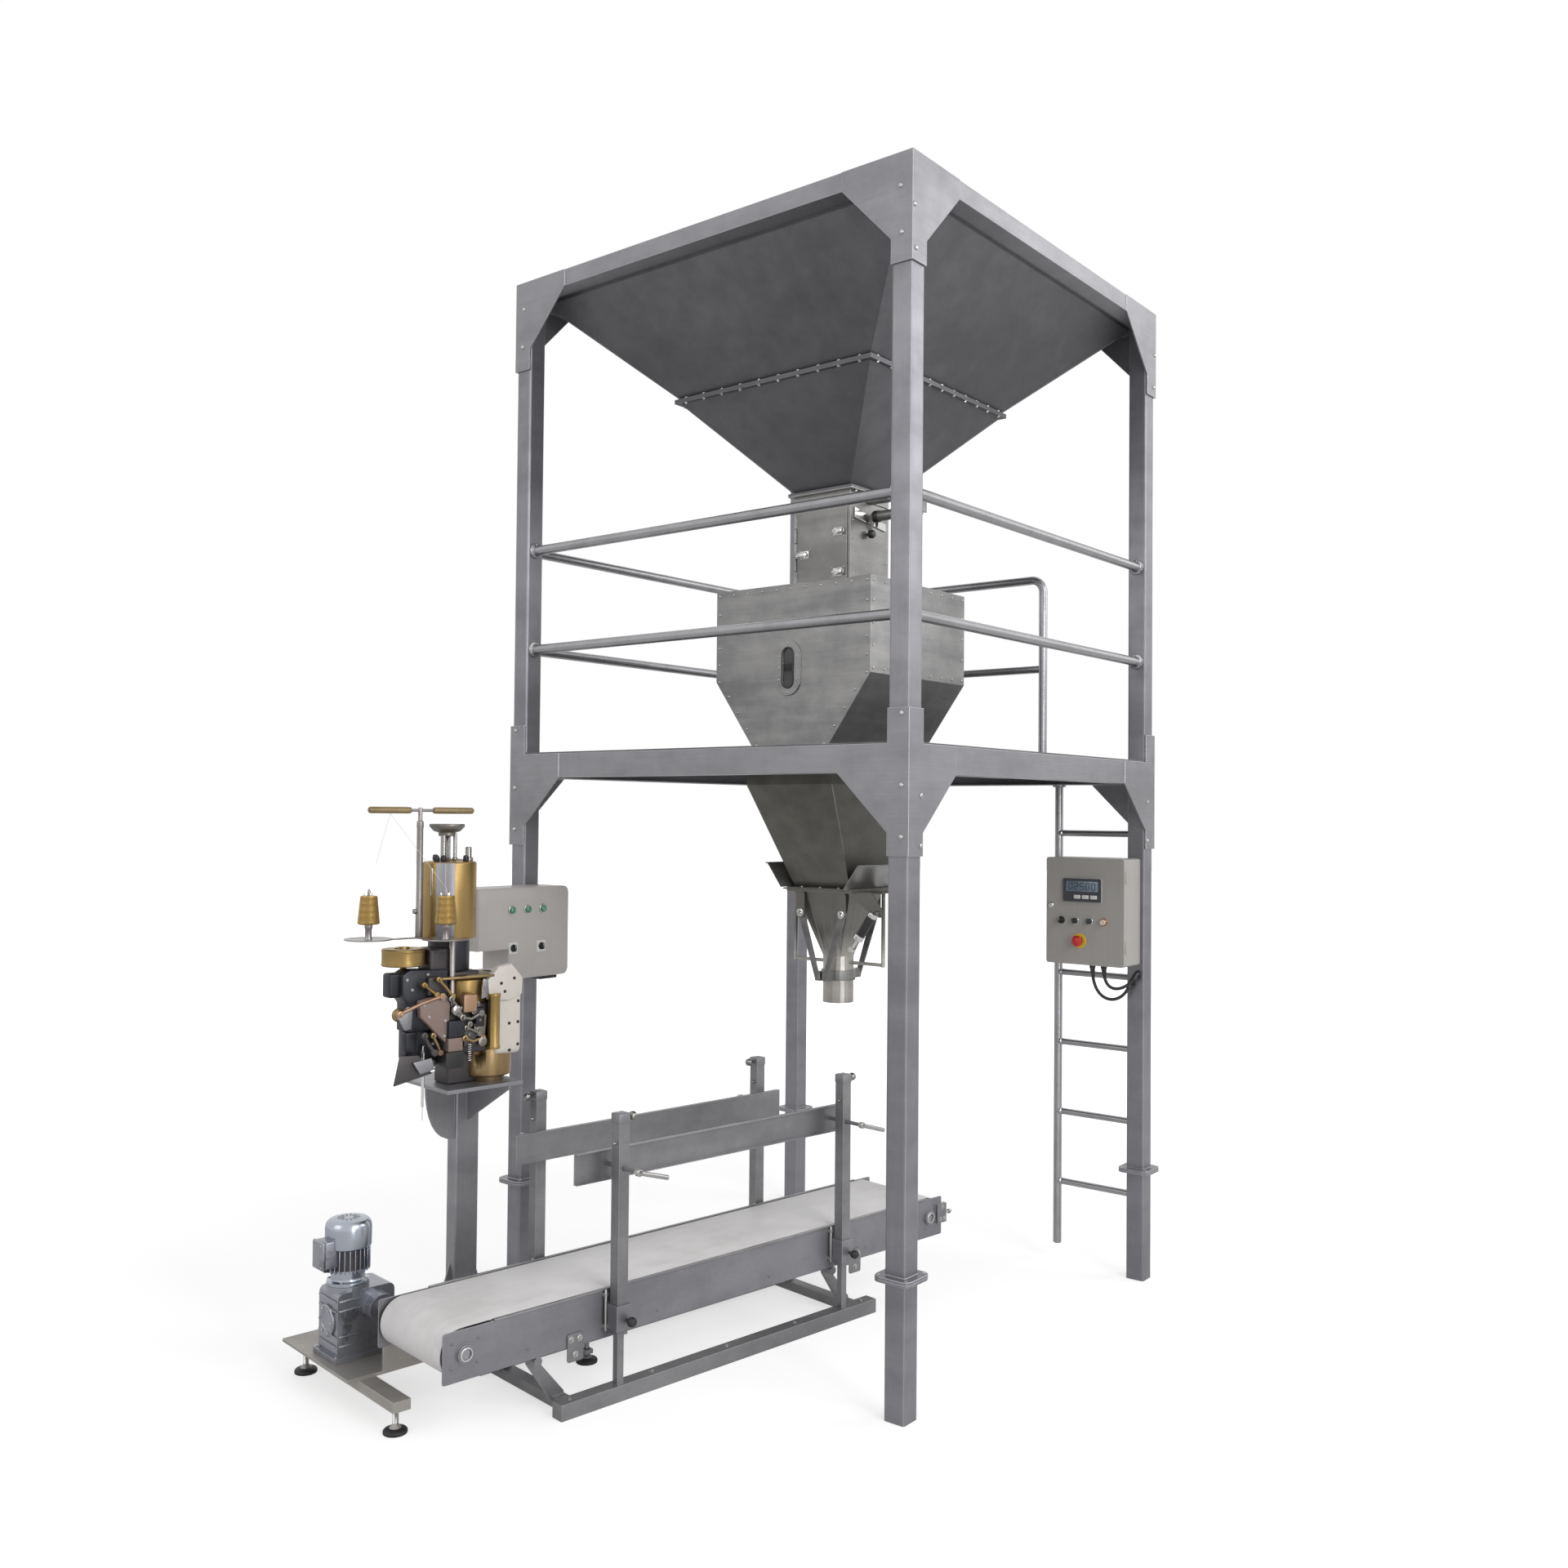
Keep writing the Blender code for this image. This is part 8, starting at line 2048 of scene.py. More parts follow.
    def handles(self) -> None:
        """Fit a slanting handle on the outer end of each guide rod."""
        hub = [(0.0095, -0.01), (0.0115, -0.008), (0.0115, 0.006), (0.0095, 0.008)]
        lean = Vector((0.115, 0, -0.034))
        for side, body in ((-1, "front_guide"), (1, "rear_guide")):
            for x in self.post_x:
                spot = Vector((x, side * 0.332, self.rod_z))
                tube(along(spot - lean * 0.12, spot + lean, 6), 0.0078, 4)
                turned(hub, spot, (0, side, 0), 24, 0.0006)
            self.fix(f"{body}_handles", BOLT_STEEL, body=body)

    def clamps(self) -> None:
        """Fit a clamp with a ball knob on top of each guide post, and a pin through it."""
        for x, side in self.posts():
            y = side * self.post_y
            block((x - 0.0225, y - 0.0225, 0.872), (x + 0.0225, y + 0.0225, 0.903), 0.003)
        self.fix("post_clamps", COLUMN_STEEL)
        knob = [(0.005, 0), (0.005, 0.012), (0.01, 0.0135), (0.0138, 0.0185), (0.0146, 0.025)]
        knob += [(0.013, 0.0315), (0.006, 0.0355)]
        pin = [(0.004, -0.03), (0.0052, -0.028), (0.0052, 0.028), (0.004, 0.03)]
        for x, side in self.posts():
            y = side * self.post_y
            turned(knob, (x - side * 0.022, y, 0.887), (-side, 0, 0), 20, 0.0004)
            turned(pin, (x, y, 0.808), RIGHT, 16, 0.0004)
        self.fix("post_knobs", ROD_STEEL, "needle_chrome")

    def brackets(self) -> None:
        """Fit the hanger plates under the side panels and bolt the base rails."""
        bolts = []
        for x in (-1.426, -0.165):
            for side in SIDES:
                hanger = rounded((x - 0.03, 0.145), (x + 0.03, 0.232), 0.008)
                plate(hanger, Plane.XZ, side * (self.half + 0.0026), 0.005)
                for dx, z in ((-0.016, 0.214), (0.016, 0.214), (0.0, 0.166)):
                    bolts.append(((x + dx, side * (self.half + 0.005), z), (0, side, 0)))
        self.fix("hanger_plates", GUIDE_STEEL)
        self.fit("hanger_bolts", Head.HEX, 0.0068, bolts)
        runs = (-1.47, -1.15, -0.83, -0.51, -0.17)
        rails = [((x, side * self.post_y, 0.05), UP) for x in runs for side in SIDES]
        self.fit("base_rail_bolts", Head.HEX, 0.0055, rails)

    def feet(self) -> None:
        """Shoe the levelling feet in black rubber with bright nuts and threaded stems."""
        feet = ((-1.9215, 0.015, 0.075), (-1.9215, 0.625, 0.075), (-1.185, 0.075, 0.045))
        shoe = [(0.0355, 0.0005), (0.0366, 0.002), (0.0366, 0.0085), (0.0335, 0.0125)]
        shoe += [(0.0215, 0.0168), (0.0125, 0.0178)]
        for x, y, _ in feet:
            turned(shoe, (x, y, 0), UP, 36, 0.0006)
        self.fix("foot_shoes", FOOT_RUBBER, "black_plastic")
        for x, y, top in feet:
            turned([(0.0145, 0), (0.0145, 0.009), (0.013, 0.0105)], (x, y, top), DOWN, 6, 0.0006)
            step = (top - 0.031) / 12
            stem = [(0.0088, 0.029)]
            for turn in range(12):
                z = 0.029 + step * (turn + 0.5)
                stem += [(0.01, z), (0.0088, z + step / 2)]
            turned(stem, (x, y, 0), UP, 20)
        self.fix("foot_stems", CHROME, "needle_chrome")


@dataclass
class DriveDressing(Assembly):
    """The upright motor with its fins, and the gearbox under it."""

    axes: Axes = LINE
    slot: str = "drive_aluminium"
    x: float = -1.885
    y: float = 0.41
    foot: float = 0.3426
    tall: float = 0.2054
    radius: float = 0.06
    cowl: float = 0.073
    fins: int = 26
    vents: int = 14
    gear_x: float = -1.815
    gear_z: float = 0.235

    def build(self) -> None:
        """Build the motor and dress the gearbox."""
        coat(ALUMINIUM, "drive_gearbox")
        self.motor()
        self.terminal()
        self.gearbox()

    def ringed(self, count: int) -> None:
        """Stand copies of the loose part evenly round the motor's axis.

        Args:
            count: How many copies.
        """
        stand = Matrix.Translation((self.x, self.y, self.foot))
        turns = [Matrix.Rotation(math.tau * index / count, 4, "Z") for index in range(count)]
        Bench.copies(Bench.shelve(), [stand @ turn for turn in turns])

    def motor(self) -> None:
        """Turn the motor's foot and cowl, stand fins round it and lay a dark sleeve of painted shade between
        them.
        """
        r, tall = self.cowl, self.tall
        base = (self.x, self.y, self.foot)
        shell = (
            (0.8, 0.22), (0.8, 0.56), (0.96, 0.565), (1, 0.58), (1, 0.86), (0.96, 0.93), (0.84, 0.98),
            (0.55, 1), (0.2, 1),
        )
        foot = [(0.066, 0), (0.066, 0.01), (0.054, 0.014), (0.052, 0.022)]
        turned([*foot, *((r * wide, tall * high) for wide, high in shell)], base, UP, 48, 0.0008)
        self.fix("motor_body", MOTOR_METAL, replaces=("drive_motor",))
        block((r * 0.66, -0.0016, tall * 0.2), (r * 0.95, 0.0016, tall * 0.562), 0.0006, 1)
        self.ringed(self.fins)
        self.fix("motor_fins", MOTOR_METAL)
        # A dark iron sleeve over the body between the fins is painted shade in their gaps.
        core = ((0.7, 0.21), (0.815, 0.24), (0.815, 0.558), (0.7, 0.562))
        turned([(r * wide, tall * high) for wide, high in core], base, UP, 48)
        self.fix("motor_core", HEAD_IRON)
        block((r * 0.22, -0.002, tall - 0.0012), (r * 0.5, 0.002, tall + 0.0004), 0.0004, 1)
        self.ringed(self.vents)
        self.fix("motor_vents", BLACK, "black_plastic")
        spots = circle(4, 0.06, math.pi / 4)
        bolts = [((self.x + dx, self.y + dy, self.foot + 0.01), UP) for dx, dy in spots]
        self.fit("motor_bolts", Head.HEX, 0.0052, bolts)

    def terminal(self) -> None:
        """Fit the terminal box on the motor's near side."""
        x, y = self.x, self.y
        low, high = self.foot + self.tall * 0.3, self.foot + self.tall * 0.72
        left = x - self.radius - 0.045
        block((left + 0.012, y - 0.034, low), (x - self.radius * 0.6, y + 0.034, high), 0.005, 3)
        block((left, y - 0.0355, low - 0.0015), (left + 0.0125, y + 0.0355, high + 0.0015), 0.0045, 3)
        self.fix("terminal_box", ALUMINIUM)
        spots = [((left, y + dy, z), LEFT) for dy in (-0.027, 0.027) for z in (low + 0.009, high - 0.009)]
        self.fit("terminal_screws", Head.SCREW, 0.0036, spots)
        gland = [(0.0105, 0), (0.0105, 0.008), (0.009, 0.01), (0.009, 0.016), (0.006, 0.018)]
        turned(gland, (left + 0.03, y, low + 0.001), DOWN, 6, 0.0006)
        self.fix("terminal_gland", BLACK, "black_plastic")

    def gearbox(self) -> None:
        """Fit the gearbox's covers, ribs and bolts."""
        x, y, z = self.gear_x, self.y, self.gear_z
        cover = [(0.05, 0), (0.05, 0.006), (0.046, 0.009), (0.03, 0.009), (0.028, 0.006), (0.012, 0.006)]
        turned(cover, (x, 0.475, z), FAR, 40, 0.0008)
        turned(cover, (-1.95, y, z), LEFT, 40, 0.0008)
        for rib in (0.165, 0.195, 0.275, 0.305):
            block((-1.9555, 0.352, rib - 0.003), (-1.9485, 0.468, rib + 0.003), 0.0015)
            block((-1.945, 0.3405, rib - 0.003), (-1.87, 0.3465, rib + 0.003), 0.0015)
        self.fix("gearbox_covers", ALUMINIUM)
        spots = []
        for across, up in circle(6, 0.04):
            spots += [((-1.9575, y + across, z + up), LEFT), ((x + across, 0.4825, z + up), FAR)]
        spots += [((foot_x, foot_y, 0.1335), UP) for foot_x in (-1.954, -1.751) for foot_y in (0.341, 0.479)]
        self.fit("gearbox_bolts", Head.HEX, 0.0048, spots)


# Sewing unit


@dataclass
class SewingUnit(Assembly):
    """The sewing column, its cast head, motor, pulley, thread stand and cones."""

    axes: Axes = LINE
    slot: str = "sewing_head"
    y: float = 0.3
    table: float = 0.9553
    column: Pair = (-1.422, 0.496)
    motor_x: float = -1.59
    motor_z: Pair = (1.33, 1.69)
    bar_z: float = 1.859
    tray_z: float = 1.45
    cone_x: Pair = (-1.888, -1.69)
    cone_shift: Pair = (0.0, -0.135)
    cone_z: Pair = (1.4953, 1.5873)

    def build(self) -> None:
        """Build the whole sewing unit."""
        coat(COLUMN_STEEL, "sewing_column")
        coat(CHROME, "needle_bar")
        x, y = self.column
        bolts = [((x + dx * 0.135, y + dy * 0.115, 0.012), UP) for dx, dy in CORNERS]
        self.fit("column_bolts", Head.HEX, 0.01, bolts, slot="sewing_column")
        self.castings()
        self.brasses()
        self.levers()
        self.small_parts()
        self.screws()
        self.pulley()
        self.motor()
        self.rods()
        self.stand()
        self.cones()
        self.threads()

    def at(self, place: Point) -> Point:
        """Give a place whose Y is counted from the head's middle."""
        return place[0], self.y + place[1], place[2]

    def blocks(self, rows: Iterable[tuple], steps: int) -> None:
        """Model and fix blocks.

        Args:
            rows: The name, both corners, the rounding and the finish of each.
            steps: How many faces the roundings have.
        """
        for name, low, high, ease, finish in rows:
            block(self.at(low), self.at(high), ease, steps)
            self.fix(name, finish)

    def sheet(
        self, name: str, finish: Finish, shift: float, outline: Profile, thick: float = 0.008,
        ease: float = 0.0016,
    ) -> None:
        """Cut and fix one upright plate, shifted from the head's middle."""
        plate(outline, Plane.XZ, self.y + shift, thick, ease)
        self.fix(name, finish)

    def castings(self) -> None:
        """Model the head's base, body, nose, cover, face plate and crown."""
        drum = [
            (0.058, 0), (0.058, 0.016), (0.078, 0.018), (0.082, 0.022), (0.082, 0.116), (0.079, 0.12),
            (0.03, 0.122),
        ]
        turned(drum, (-1.452, self.y, self.table), UP, 56, 0.001)
        turned([(0.014, -0.05), (0.014, 0.03)], (-1.51, self.y - 0.06, self.table + 0.1), FAR, 24)
        Bench.cut()
        self.fix("head_base", OLD_BRASS, "sewing_brass", replaces=("sewing_head",))
        self.blocks((
            ("head_body", (-1.655, -0.075, 1.06), (-1.415, 0.085, 1.226), 0.014, HEAD_IRON),
            ("head_pedestal", (-1.61, -0.02, 0.9556), (-1.5, 0.07, 1.07), 0.006, HEAD_IRON),
            ("nose_block", (-1.836, -0.045, 1.26), (-1.776, 0.005, 1.338), 0.008, DARK_IRON),
            ("neck_block", (-1.7, -0.055, 1.325), (-1.628, 0.03, 1.412), 0.01, HEAD_IRON),
            ("head_cover", (-1.478, -0.0875, 1.044), (-1.368, 0.0875, 1.318), 0.02, IVORY),
            ("motor_saddle", (-1.67, -0.05, 1.266), (-1.51, 0.08, 1.3297), 0.01, HEAD_IRON),
        ), 4)
        self.sheet("head_nose", DARK_IRON, -0.03, [
            (-1.64, 1.15), (-1.64, 1.342), (-1.775, 1.348), (-1.802, 1.334), (-1.802, 1.262),
            (-1.784, 1.24), (-1.784, 1.15),
        ], 0.075, 0.006)
        self.sheet("nose_leg", DARK_IRON, -0.013, [
            (-1.64, 1.03), (-1.64, 1.165), (-1.774, 1.165), (-1.774, 1.06), (-1.75, 1.032),
        ], 0.05, 0.006)
        self.sheet("face_plate", FACE_BROWN, -0.083, [
            (-1.757, 1.25), (-1.688, 1.262), (-1.659, 1.263), (-1.646, 1.232), (-1.649, 1.173),
            (-1.661, 1.108), (-1.703, 1.149), (-1.727, 1.174), (-1.752, 1.198),
        ], 0.024, 0.004)
        self.sheet("cover_crown", IVORY, -0.088, [
            (-1.506, 1.232), (-1.514, 1.3), (-1.47, 1.342), (-1.42, 1.35), (-1.376, 1.3),
            (-1.378, 1.242), (-1.43, 1.226),
        ], 0.03, 0.008)

    def brasses(self) -> None:
        """Turn the belt guard and lay its roof."""
        guard = [(0.078, 0), (0.08, 0.004), (0.08, 0.074), (0.074, 0.08), (0.03, 0.082)]
        turned(guard, (-1.545, self.y, 1.226), UP, 48, 0.0012)
        self.fix("belt_guard", BRASS, "sewing_brass")
        roof = [
            (-1.738, 0.262), (-1.67, 0.21), (-1.49, 0.196), (-1.44, 0.225), (-1.44, 0.33),
            (-1.56, 0.352), (-1.7, 0.315),
        ]
        plate(roof, Plane.XY, 1.314, 0.008, 0.002)
        self.fix("guard_roof", OLD_BRASS, "sewing_brass")

    def levers(self) -> None:
        """Model the levers, links and spring on the head's near face."""
        near = self.y - 0.1
        eye = ((1.7, -0.007), (1.9, -0.005), (1.9, 0.005), (1.7, 0.007), (0.9, 0.008), (0.9, 0.018))
        for name, path, radius, finish in (
            ("lever_long", ((-1.828, 1.216), (-1.752, 1.243), (-1.68, 1.261)), 0.0058, BRONZE),
            ("lever_cross", ((-1.745, 1.302), (-1.722, 1.284), (-1.7, 1.268)), 0.0048, BRASS),
            ("lever_arch", ((-1.694, 1.316), (-1.668, 1.29), (-1.642, 1.258)), 0.0048, BRASS),
            ("lever_drop", ((-1.648, 1.25), (-1.628, 1.228), (-1.618, 1.198)), 0.0055, HEAD_BOLT),
            ("link_low", ((-1.742, 1.14), (-1.722, 1.105), (-1.704, 1.082)), 0.006, HEAD_IRON),
            ("link_side", ((-1.712, 1.138), (-1.696, 1.11), (-1.684, 1.08)), 0.005, OLD_BRASS),
            ("link_high", ((-1.606, 1.186), (-1.572, 1.178), (-1.536, 1.194)), 0.006, HEAD_BOLT),
            ("link_cross", ((-1.592, 1.15), (-1.568, 1.142), (-1.542, 1.128)), 0.0052, HEAD_BOLT),
            ("link_end", ((-1.596, 1.118), (-1.566, 1.104), (-1.53, 1.112)), 0.006, OLD_BRASS),
        ):
            points = [(x, near, z) for x, z in path]
            tube(points, radius, 3)
            for point, facing in ((points[0], NEAR), (points[-1], FAR)):
                turned([(radius * share, height) for share, height in eye], point, facing, 20, 0.0005)
            self.fix(name, finish)
        coil = circle(12, 0.0075) * 8
        wire = [(-1.578 + dx, near + dy, 1.04 + 0.058 * step / 96) for step, (dx, dy) in enumerate(coil)]
        tube([*wire, (-1.5705, near, 1.098)], 0.0014, 2)
        self.fix("foot_spring", CHROME, "needle_chrome")

    def small_parts(self) -> None:
        """Model the blocks, plates, pillar and knobs of the head."""
        self.blocks((
            ("tan_block", (-1.606, -0.112, 1.202), (-1.557, -0.082, 1.259), 0.004, BRONZE),
            ("link_block", (-1.658, -0.108, 1.124), (-1.598, -0.074, 1.178), 0.003, DARK_IRON),
            ("slide_block", (-1.657, -0.104, 1.078), (-1.604, -0.074, 1.122), 0.003, FACE_BROWN),
            ("foot_block", (-1.668, -0.11, 1.026), (-1.602, -0.04, 1.078), 0.003, BLACK),
            ("hook_block", (-1.598, -0.1, 1.09), (-1.552, -0.07, 1.14), 0.004, HEAD_IRON),
            ("feed_block", (-1.556, -0.104, 1.15), (-1.524, -0.074, 1.212), 0.003, DARK_IRON),
            ("nose_guard", (-1.79, -0.068, 1.082), (-1.75, -0.03, 1.15), 0.006, DARK_IRON),
            ("nose_step", (-1.72, -0.085, 1.262), (-1.664, -0.06, 1.322), 0.005, HEAD_IRON),
        ), 3)
        throat = [(-1.842, 0.99), (-1.822, 1.082), (-1.758, 1.079), (-1.709, 1.016)]
        self.sheet("throat_plate", HEAD_IRON, -0.092, throat)
        feed = [(-1.782, 1.059), (-1.718, 1.067), (-1.705, 1.029), (-1.757, 1.02)]
        self.sheet("feed_plate", COLUMN_STEEL, -0.102, feed)
        shield = [(-1.826, 1.204), (-1.79, 1.236), (-1.774, 1.226), (-1.778, 1.162), (-1.8, 1.16)]
        self.sheet("needle_shield", COLUMN_STEEL, -0.08, shield)
        side = [(-1.566, 1.116), (-1.518, 1.122), (-1.512, 1.186), (-1.548, 1.2)]
        self.sheet("side_plate", HEAD_BOLT, -0.094, side)
        flap = [(-1.536, 1.24), (-1.492, 1.246), (-1.49, 1.296), (-1.528, 1.306)]
        self.sheet("cover_flap", ROD_STEEL, -0.096, flap)
        pillar = [(0.022, 0), (0.022, 0.01), (0.02, 0.014), (0.02, 0.168), (0.022, 0.172), (0.022, 0.182)]
        knob = [(0.007, 0), (0.007, 0.016), (0.015, 0.018), (0.017, 0.024), (0.017, 0.034), (0.004, 0.038)]
        wheel = [(0.01, 0), (0.02, 0.002), (0.022, 0.006), (0.022, 0.014), (0.018, 0.018), (0.006, 0.026)]
        stub = [(0.012, 0), (0.012, 0.02), (0.016, 0.021), (0.016, 0.03), (0.006, 0.032)]
        bush = [(0.0145, 0), (0.0145, 0.016), (0.012, 0.02)]
        for name, profile, place, axis, finish in (
            ("brass_pillar", pillar, (-1.486, -0.098, 1.072), UP, BRASS),
            ("tension_knob", knob, (-1.63, -0.075, 1.212), NEAR, ROD_STEEL),
            ("nose_wheel", wheel, (-1.806, -0.04, 1.206), NEAR, OLD_BRASS),
            ("hook_stub", stub, (-1.532, -0.078, 1.1), NEAR, HEAD_BOLT),
            ("needle_bush", bush, (-1.69, -0.042, 1.04), NEAR, HEAD_BOLT),
        ):
            turned(profile, self.at(place), axis, 28, 0.0006)
            self.fix(name, finish)

    def near(self, *rows: tuple[float, Profile]) -> list[Spot]:
        """List fastener spots that face the near side, from each row's shift and places."""
        return [(self.at((x, shift, z)), NEAR) for shift, row in rows for x, z in row]

    def screws(self) -> None:
        """Fit the screws and nuts of the head's near face."""
        cover = ((-1.386, 1.075), (-1.386, 1.15), (-1.386, 1.22), (-1.42, 1.148), (-1.418, 1.058))
        crown = ((-1.462, 1.286), (-1.412, 1.3), (-1.448, 1.258))
        self.fit("cover_screws", Head.SCREW, 0.0052, self.near((-0.0875, cover), (-0.103, crown)), DARK_IRON)
        face = ((-1.74, 1.236), (-1.672, 1.25), (-1.664, 1.18), (-1.668, 1.132), (-1.722, 1.198))
        nose = ((-1.788, 1.318), (-1.715, 1.33), (-1.77, 1.285), (-1.66, 1.29))
        leg = ((-1.774, 1.06), (-1.676, 1.1), (-1.768, 1.155))
        self.fit("head_screws", Head.SCREW, 0.0056, self.near((-0.095, face), (-0.07, nose), (-0.038, leg)))
        links = [(-1.6, 1.215), (-1.548, 1.224), (-1.54, 1.172), (-1.574, 1.16), (-1.56, 1.2), (-1.54, 1.14)]
        self.fit("head_nuts", Head.HEX, 0.0062, self.near((-0.098, [*links, (-1.58, 1.128)])), HEAD_BOLT)

    def pulley(self) -> None:
        """Turn the pulley with its groove and hub."""
        turned([
            (0.01, 1.2), (0.01, 1.352), (0.017, 1.356), (0.067, 1.356), (0.07, 1.359), (0.07, 1.364),
            (0.0685, 1.366), (0.0685, 1.402), (0.07, 1.404), (0.07, 1.409), (0.067, 1.412), (0.03, 1.412),
            (0.028, 1.407), (0.018, 1.407), (0.017, 1.418), (0.006, 1.418),
        ], (-1.765, self.y, 0), UP, 48, 0.0006)
        self.fix("pulley_wheel", BRASS, "sewing_brass", "pulley", ("sewing_pulley",))

    def motor(self) -> None:
        """Turn the sewing motor with its strips and slits."""
        low, high = self.motor_z
        base = (self.motor_x, self.y + 0.02, 0)
        neck = [(0.066, low), (0.068, low + 0.006), (0.068, low + 0.1), (0.06, low + 0.122)]
        turned(neck, base, UP, 48, 0.0008)
        self.fix("motor_neck", DARK_IRON)
        turned([
            (0.07, low + 0.104), (0.086, low + 0.106), (0.088, low + 0.11), (0.088, high - 0.008),
            (0.085, high - 0.001), (0.08, high), (0.048, high + 0.003), (0.04, high + 0.008),
        ], base, UP, 56, 0.0008)
        self.fix("sewing_motor_body", BRASS, "sewing_brass", replaces=("sewing_motor",))
        strip = ((0.084, -0.016, low + 0.108), (0.0897, 0.016, high - 0.003), 0.0012)
        slit = ((0.088, -0.004, high - 0.11), (0.0905, 0.004, high - 0.02), 0.0008)
        for name, bar, finish, turns in (
            ("motor_strips", strip, COLUMN_STEEL, (-138, -119, 62, 152)),
            ("motor_slits", slit, CHROME, (-159, 20, 105)),
        ):
            block(*bar)
            stands = [Matrix.Rotation(math.radians(turn), 4, "Z") for turn in turns]
            Bench.copies(Bench.shelve(), [Matrix.Translation(base) @ stand for stand in stands])
            self.fix(name, finish, "stand_steel")

    def rods(self) -> None:
        """Turn the dish over the motor, its rods and the motor's pins."""
        x, y, high = self.motor_x, self.y + 0.02, self.motor_z[1]
        turned([
            (0.024, 1.774), (0.028, 1.776), (0.028, 1.786), (0.044, 1.791), (0.0575, 1.806), (0.058, 1.811),
            (0.0565, 1.8145), (0.05, 1.807), (0.02, 1.799), (0.006, 1.798),
        ], (x - 0.012, y, 0), UP, 48)
        self.fix("dish", DISH_GREY, "stand_steel")
        for dx, dy, wide, top in (
            (-0.03, -0.01, 0.0095, 1.78), (0.006, -0.022, 0.006, 1.784), (0.002, 0.02, 0.006, 1.78),
            (0.058, -0.02, 0.0105, 1.738), (-0.004, -0.004, 0.003, 1.8145),
        ):
            rod = [(wide * 1.5, high), (wide * 1.5, high + 0.012), (wide, high + 0.014), (wide, top - 0.002)]
            turned([*rod, (wide * 0.8, top)], (x + dx, y + dy, 0), UP, 20, 0.0004)
        self.fix("dish_rods", ROD_STEEL, "needle_chrome")
        pin = [(0.008, high - 0.002), (0.01, high + 0.01), (0.008, high + 0.02), (0.003, high + 0.022)]
        for dx, dy in ((-0.062, -0.022), (-0.046, -0.04), (0.03, -0.052), (-0.02, 0.06)):
            turned(pin, (x + dx, y + dy, 0), UP, 16, 0.0005)
        self.fix("motor_pins", DARK_IRON)

    def spindles(self, z: float) -> list[Point]:
        """List the places of both cones' spindles at one height."""
        return [self.at((x, shift, z)) for x, shift in zip(self.cone_x, self.cone_shift)]

    def stand(self) -> None:
        """Build the thread stand's rods, trays and bars."""
        y = self.y
        rim = [(0.07, -0.005), (0.0745, -0.004), (0.076, -0.001), (0.0755, 0), (0.071, -0.0015)]
        hub = [(0.012, -0.0015), (0.0105, 0.003), (0.0105, 0.03), (0.0125, 0.033), (0.0125, 0.0445)]
        turned([*rim, *hub, (0.005, 0.045), (0.005, 0.15), (0.003, 0.158)], sides=48)
        tray = Bench.shelve()
        rod = [
            (0.0115, 1.445), (0.0115, 1.52), (0.0102, 1.526), (0.0102, 1.8), (0.0112, 1.803),
            (0.0112, 1.822),
        ]
        turned([*rod, (0.007, 1.826), (0.007, 1.868)], (-1.712, y, 0), UP, 24, 0.0005)
        tube(along((-1.895, y, self.bar_z), (-1.515, y, self.bar_z), 4), 0.005, 3)
        prop = [(0.012, 1.2155), (0.012, 1.235), (0.0098, 1.24), (0.0098, 1.446)]
        turned(prop, (-1.625, y - 0.064, 0), UP, 24, 0.0005)
        knuckle = [(0.006, 0), (0.006, 0.01), (0.009, 0.012), (0.009, 0.02)]
        turned(knuckle, (-1.712, y, 1.53), LEFT, 16, 0.0005)
        Bench.copies(tray, [Matrix.Translation(place) for place in self.spindles(self.tray_z)])
        block((-1.888, y - 0.012, 1.4415), (-1.712, y + 0.012, 1.4465), 0.0012)
        block((-1.724, y - 0.135, 1.441), (-1.69, y, 1.446), 0.0012)
        block((-1.712, y - 0.072, 1.4413), (-1.617, y - 0.056, 1.4463), 0.0012)
        self.fix("thread_stand_rods", TRAY_STEEL, "stand_steel", replaces=("thread_stand",))
        bar = [
            (0.0075, 0), (0.0102, 0.003), (0.0108, 0.012), (0.0108, 0.136), (0.0102, 0.145),
            (0.0075, 0.148),
        ]
        for x in (-1.893, -1.665):
            turned(bar, (x, y, self.bar_z), RIGHT, 20)
        self.fix("thread_bars", BAR_BRONZE, "sewing_brass")

    def cones(self) -> None:
        """Wind the two thread cones, strand beside strand."""
        turns, (low, high) = 26, self.cone_z
        tall = high - low
        step = (tall - 0.008) / turns
        profile = [(0.0075, 0), (0.03, 0), (0.0335, 0.002)]
        for index in range(turns):
            radius = 0.0352 - 0.008 * (index + 0.5) / turns
            height = 0.004 + step * index
            profile += [
                (radius - 0.0007, height), (radius, height + step * 0.35), (radius, height + step * 0.65),
            ]
        profile += [(0.025, tall - 0.001), (0.01, tall), (0.0075, tall)]
        for letter, place in zip("ab", self.spindles(low)):
            turned(profile, place, UP, 40, hollow=True)
            node = f"thread_cone_{letter}"
            self.fix(f"{node}_winding", GOLD_THREAD, "thread", replaces=(node,))
        for x, y, z in self.spindles(high):
            for angle in (0.4, 2.5, 4.6):
                spot = (x + 0.016 * math.cos(angle), y + 0.016 * math.sin(angle), z)
                turned([(0.0034, 0), (0.0034, 0.007), (0.0022, 0.009)], spot, sides=12)
        self.fix("cone_nubs", CHROME, "stand_steel")

    def threads(self) -> None:
        """String the two threads from the bar down to the cones."""
        start = LINE.point((-1.819, self.y - 0.0005, 1.8482))
        for letter, foot in zip("ab", self.spindles(1.6095)):
            end = LINE.point(foot)
            piece = drawn(f"sewing_thread_{letter}", along(start, end, 16), 0.0006, 1)
            dress(piece, WHITE_THREAD, WORLD)


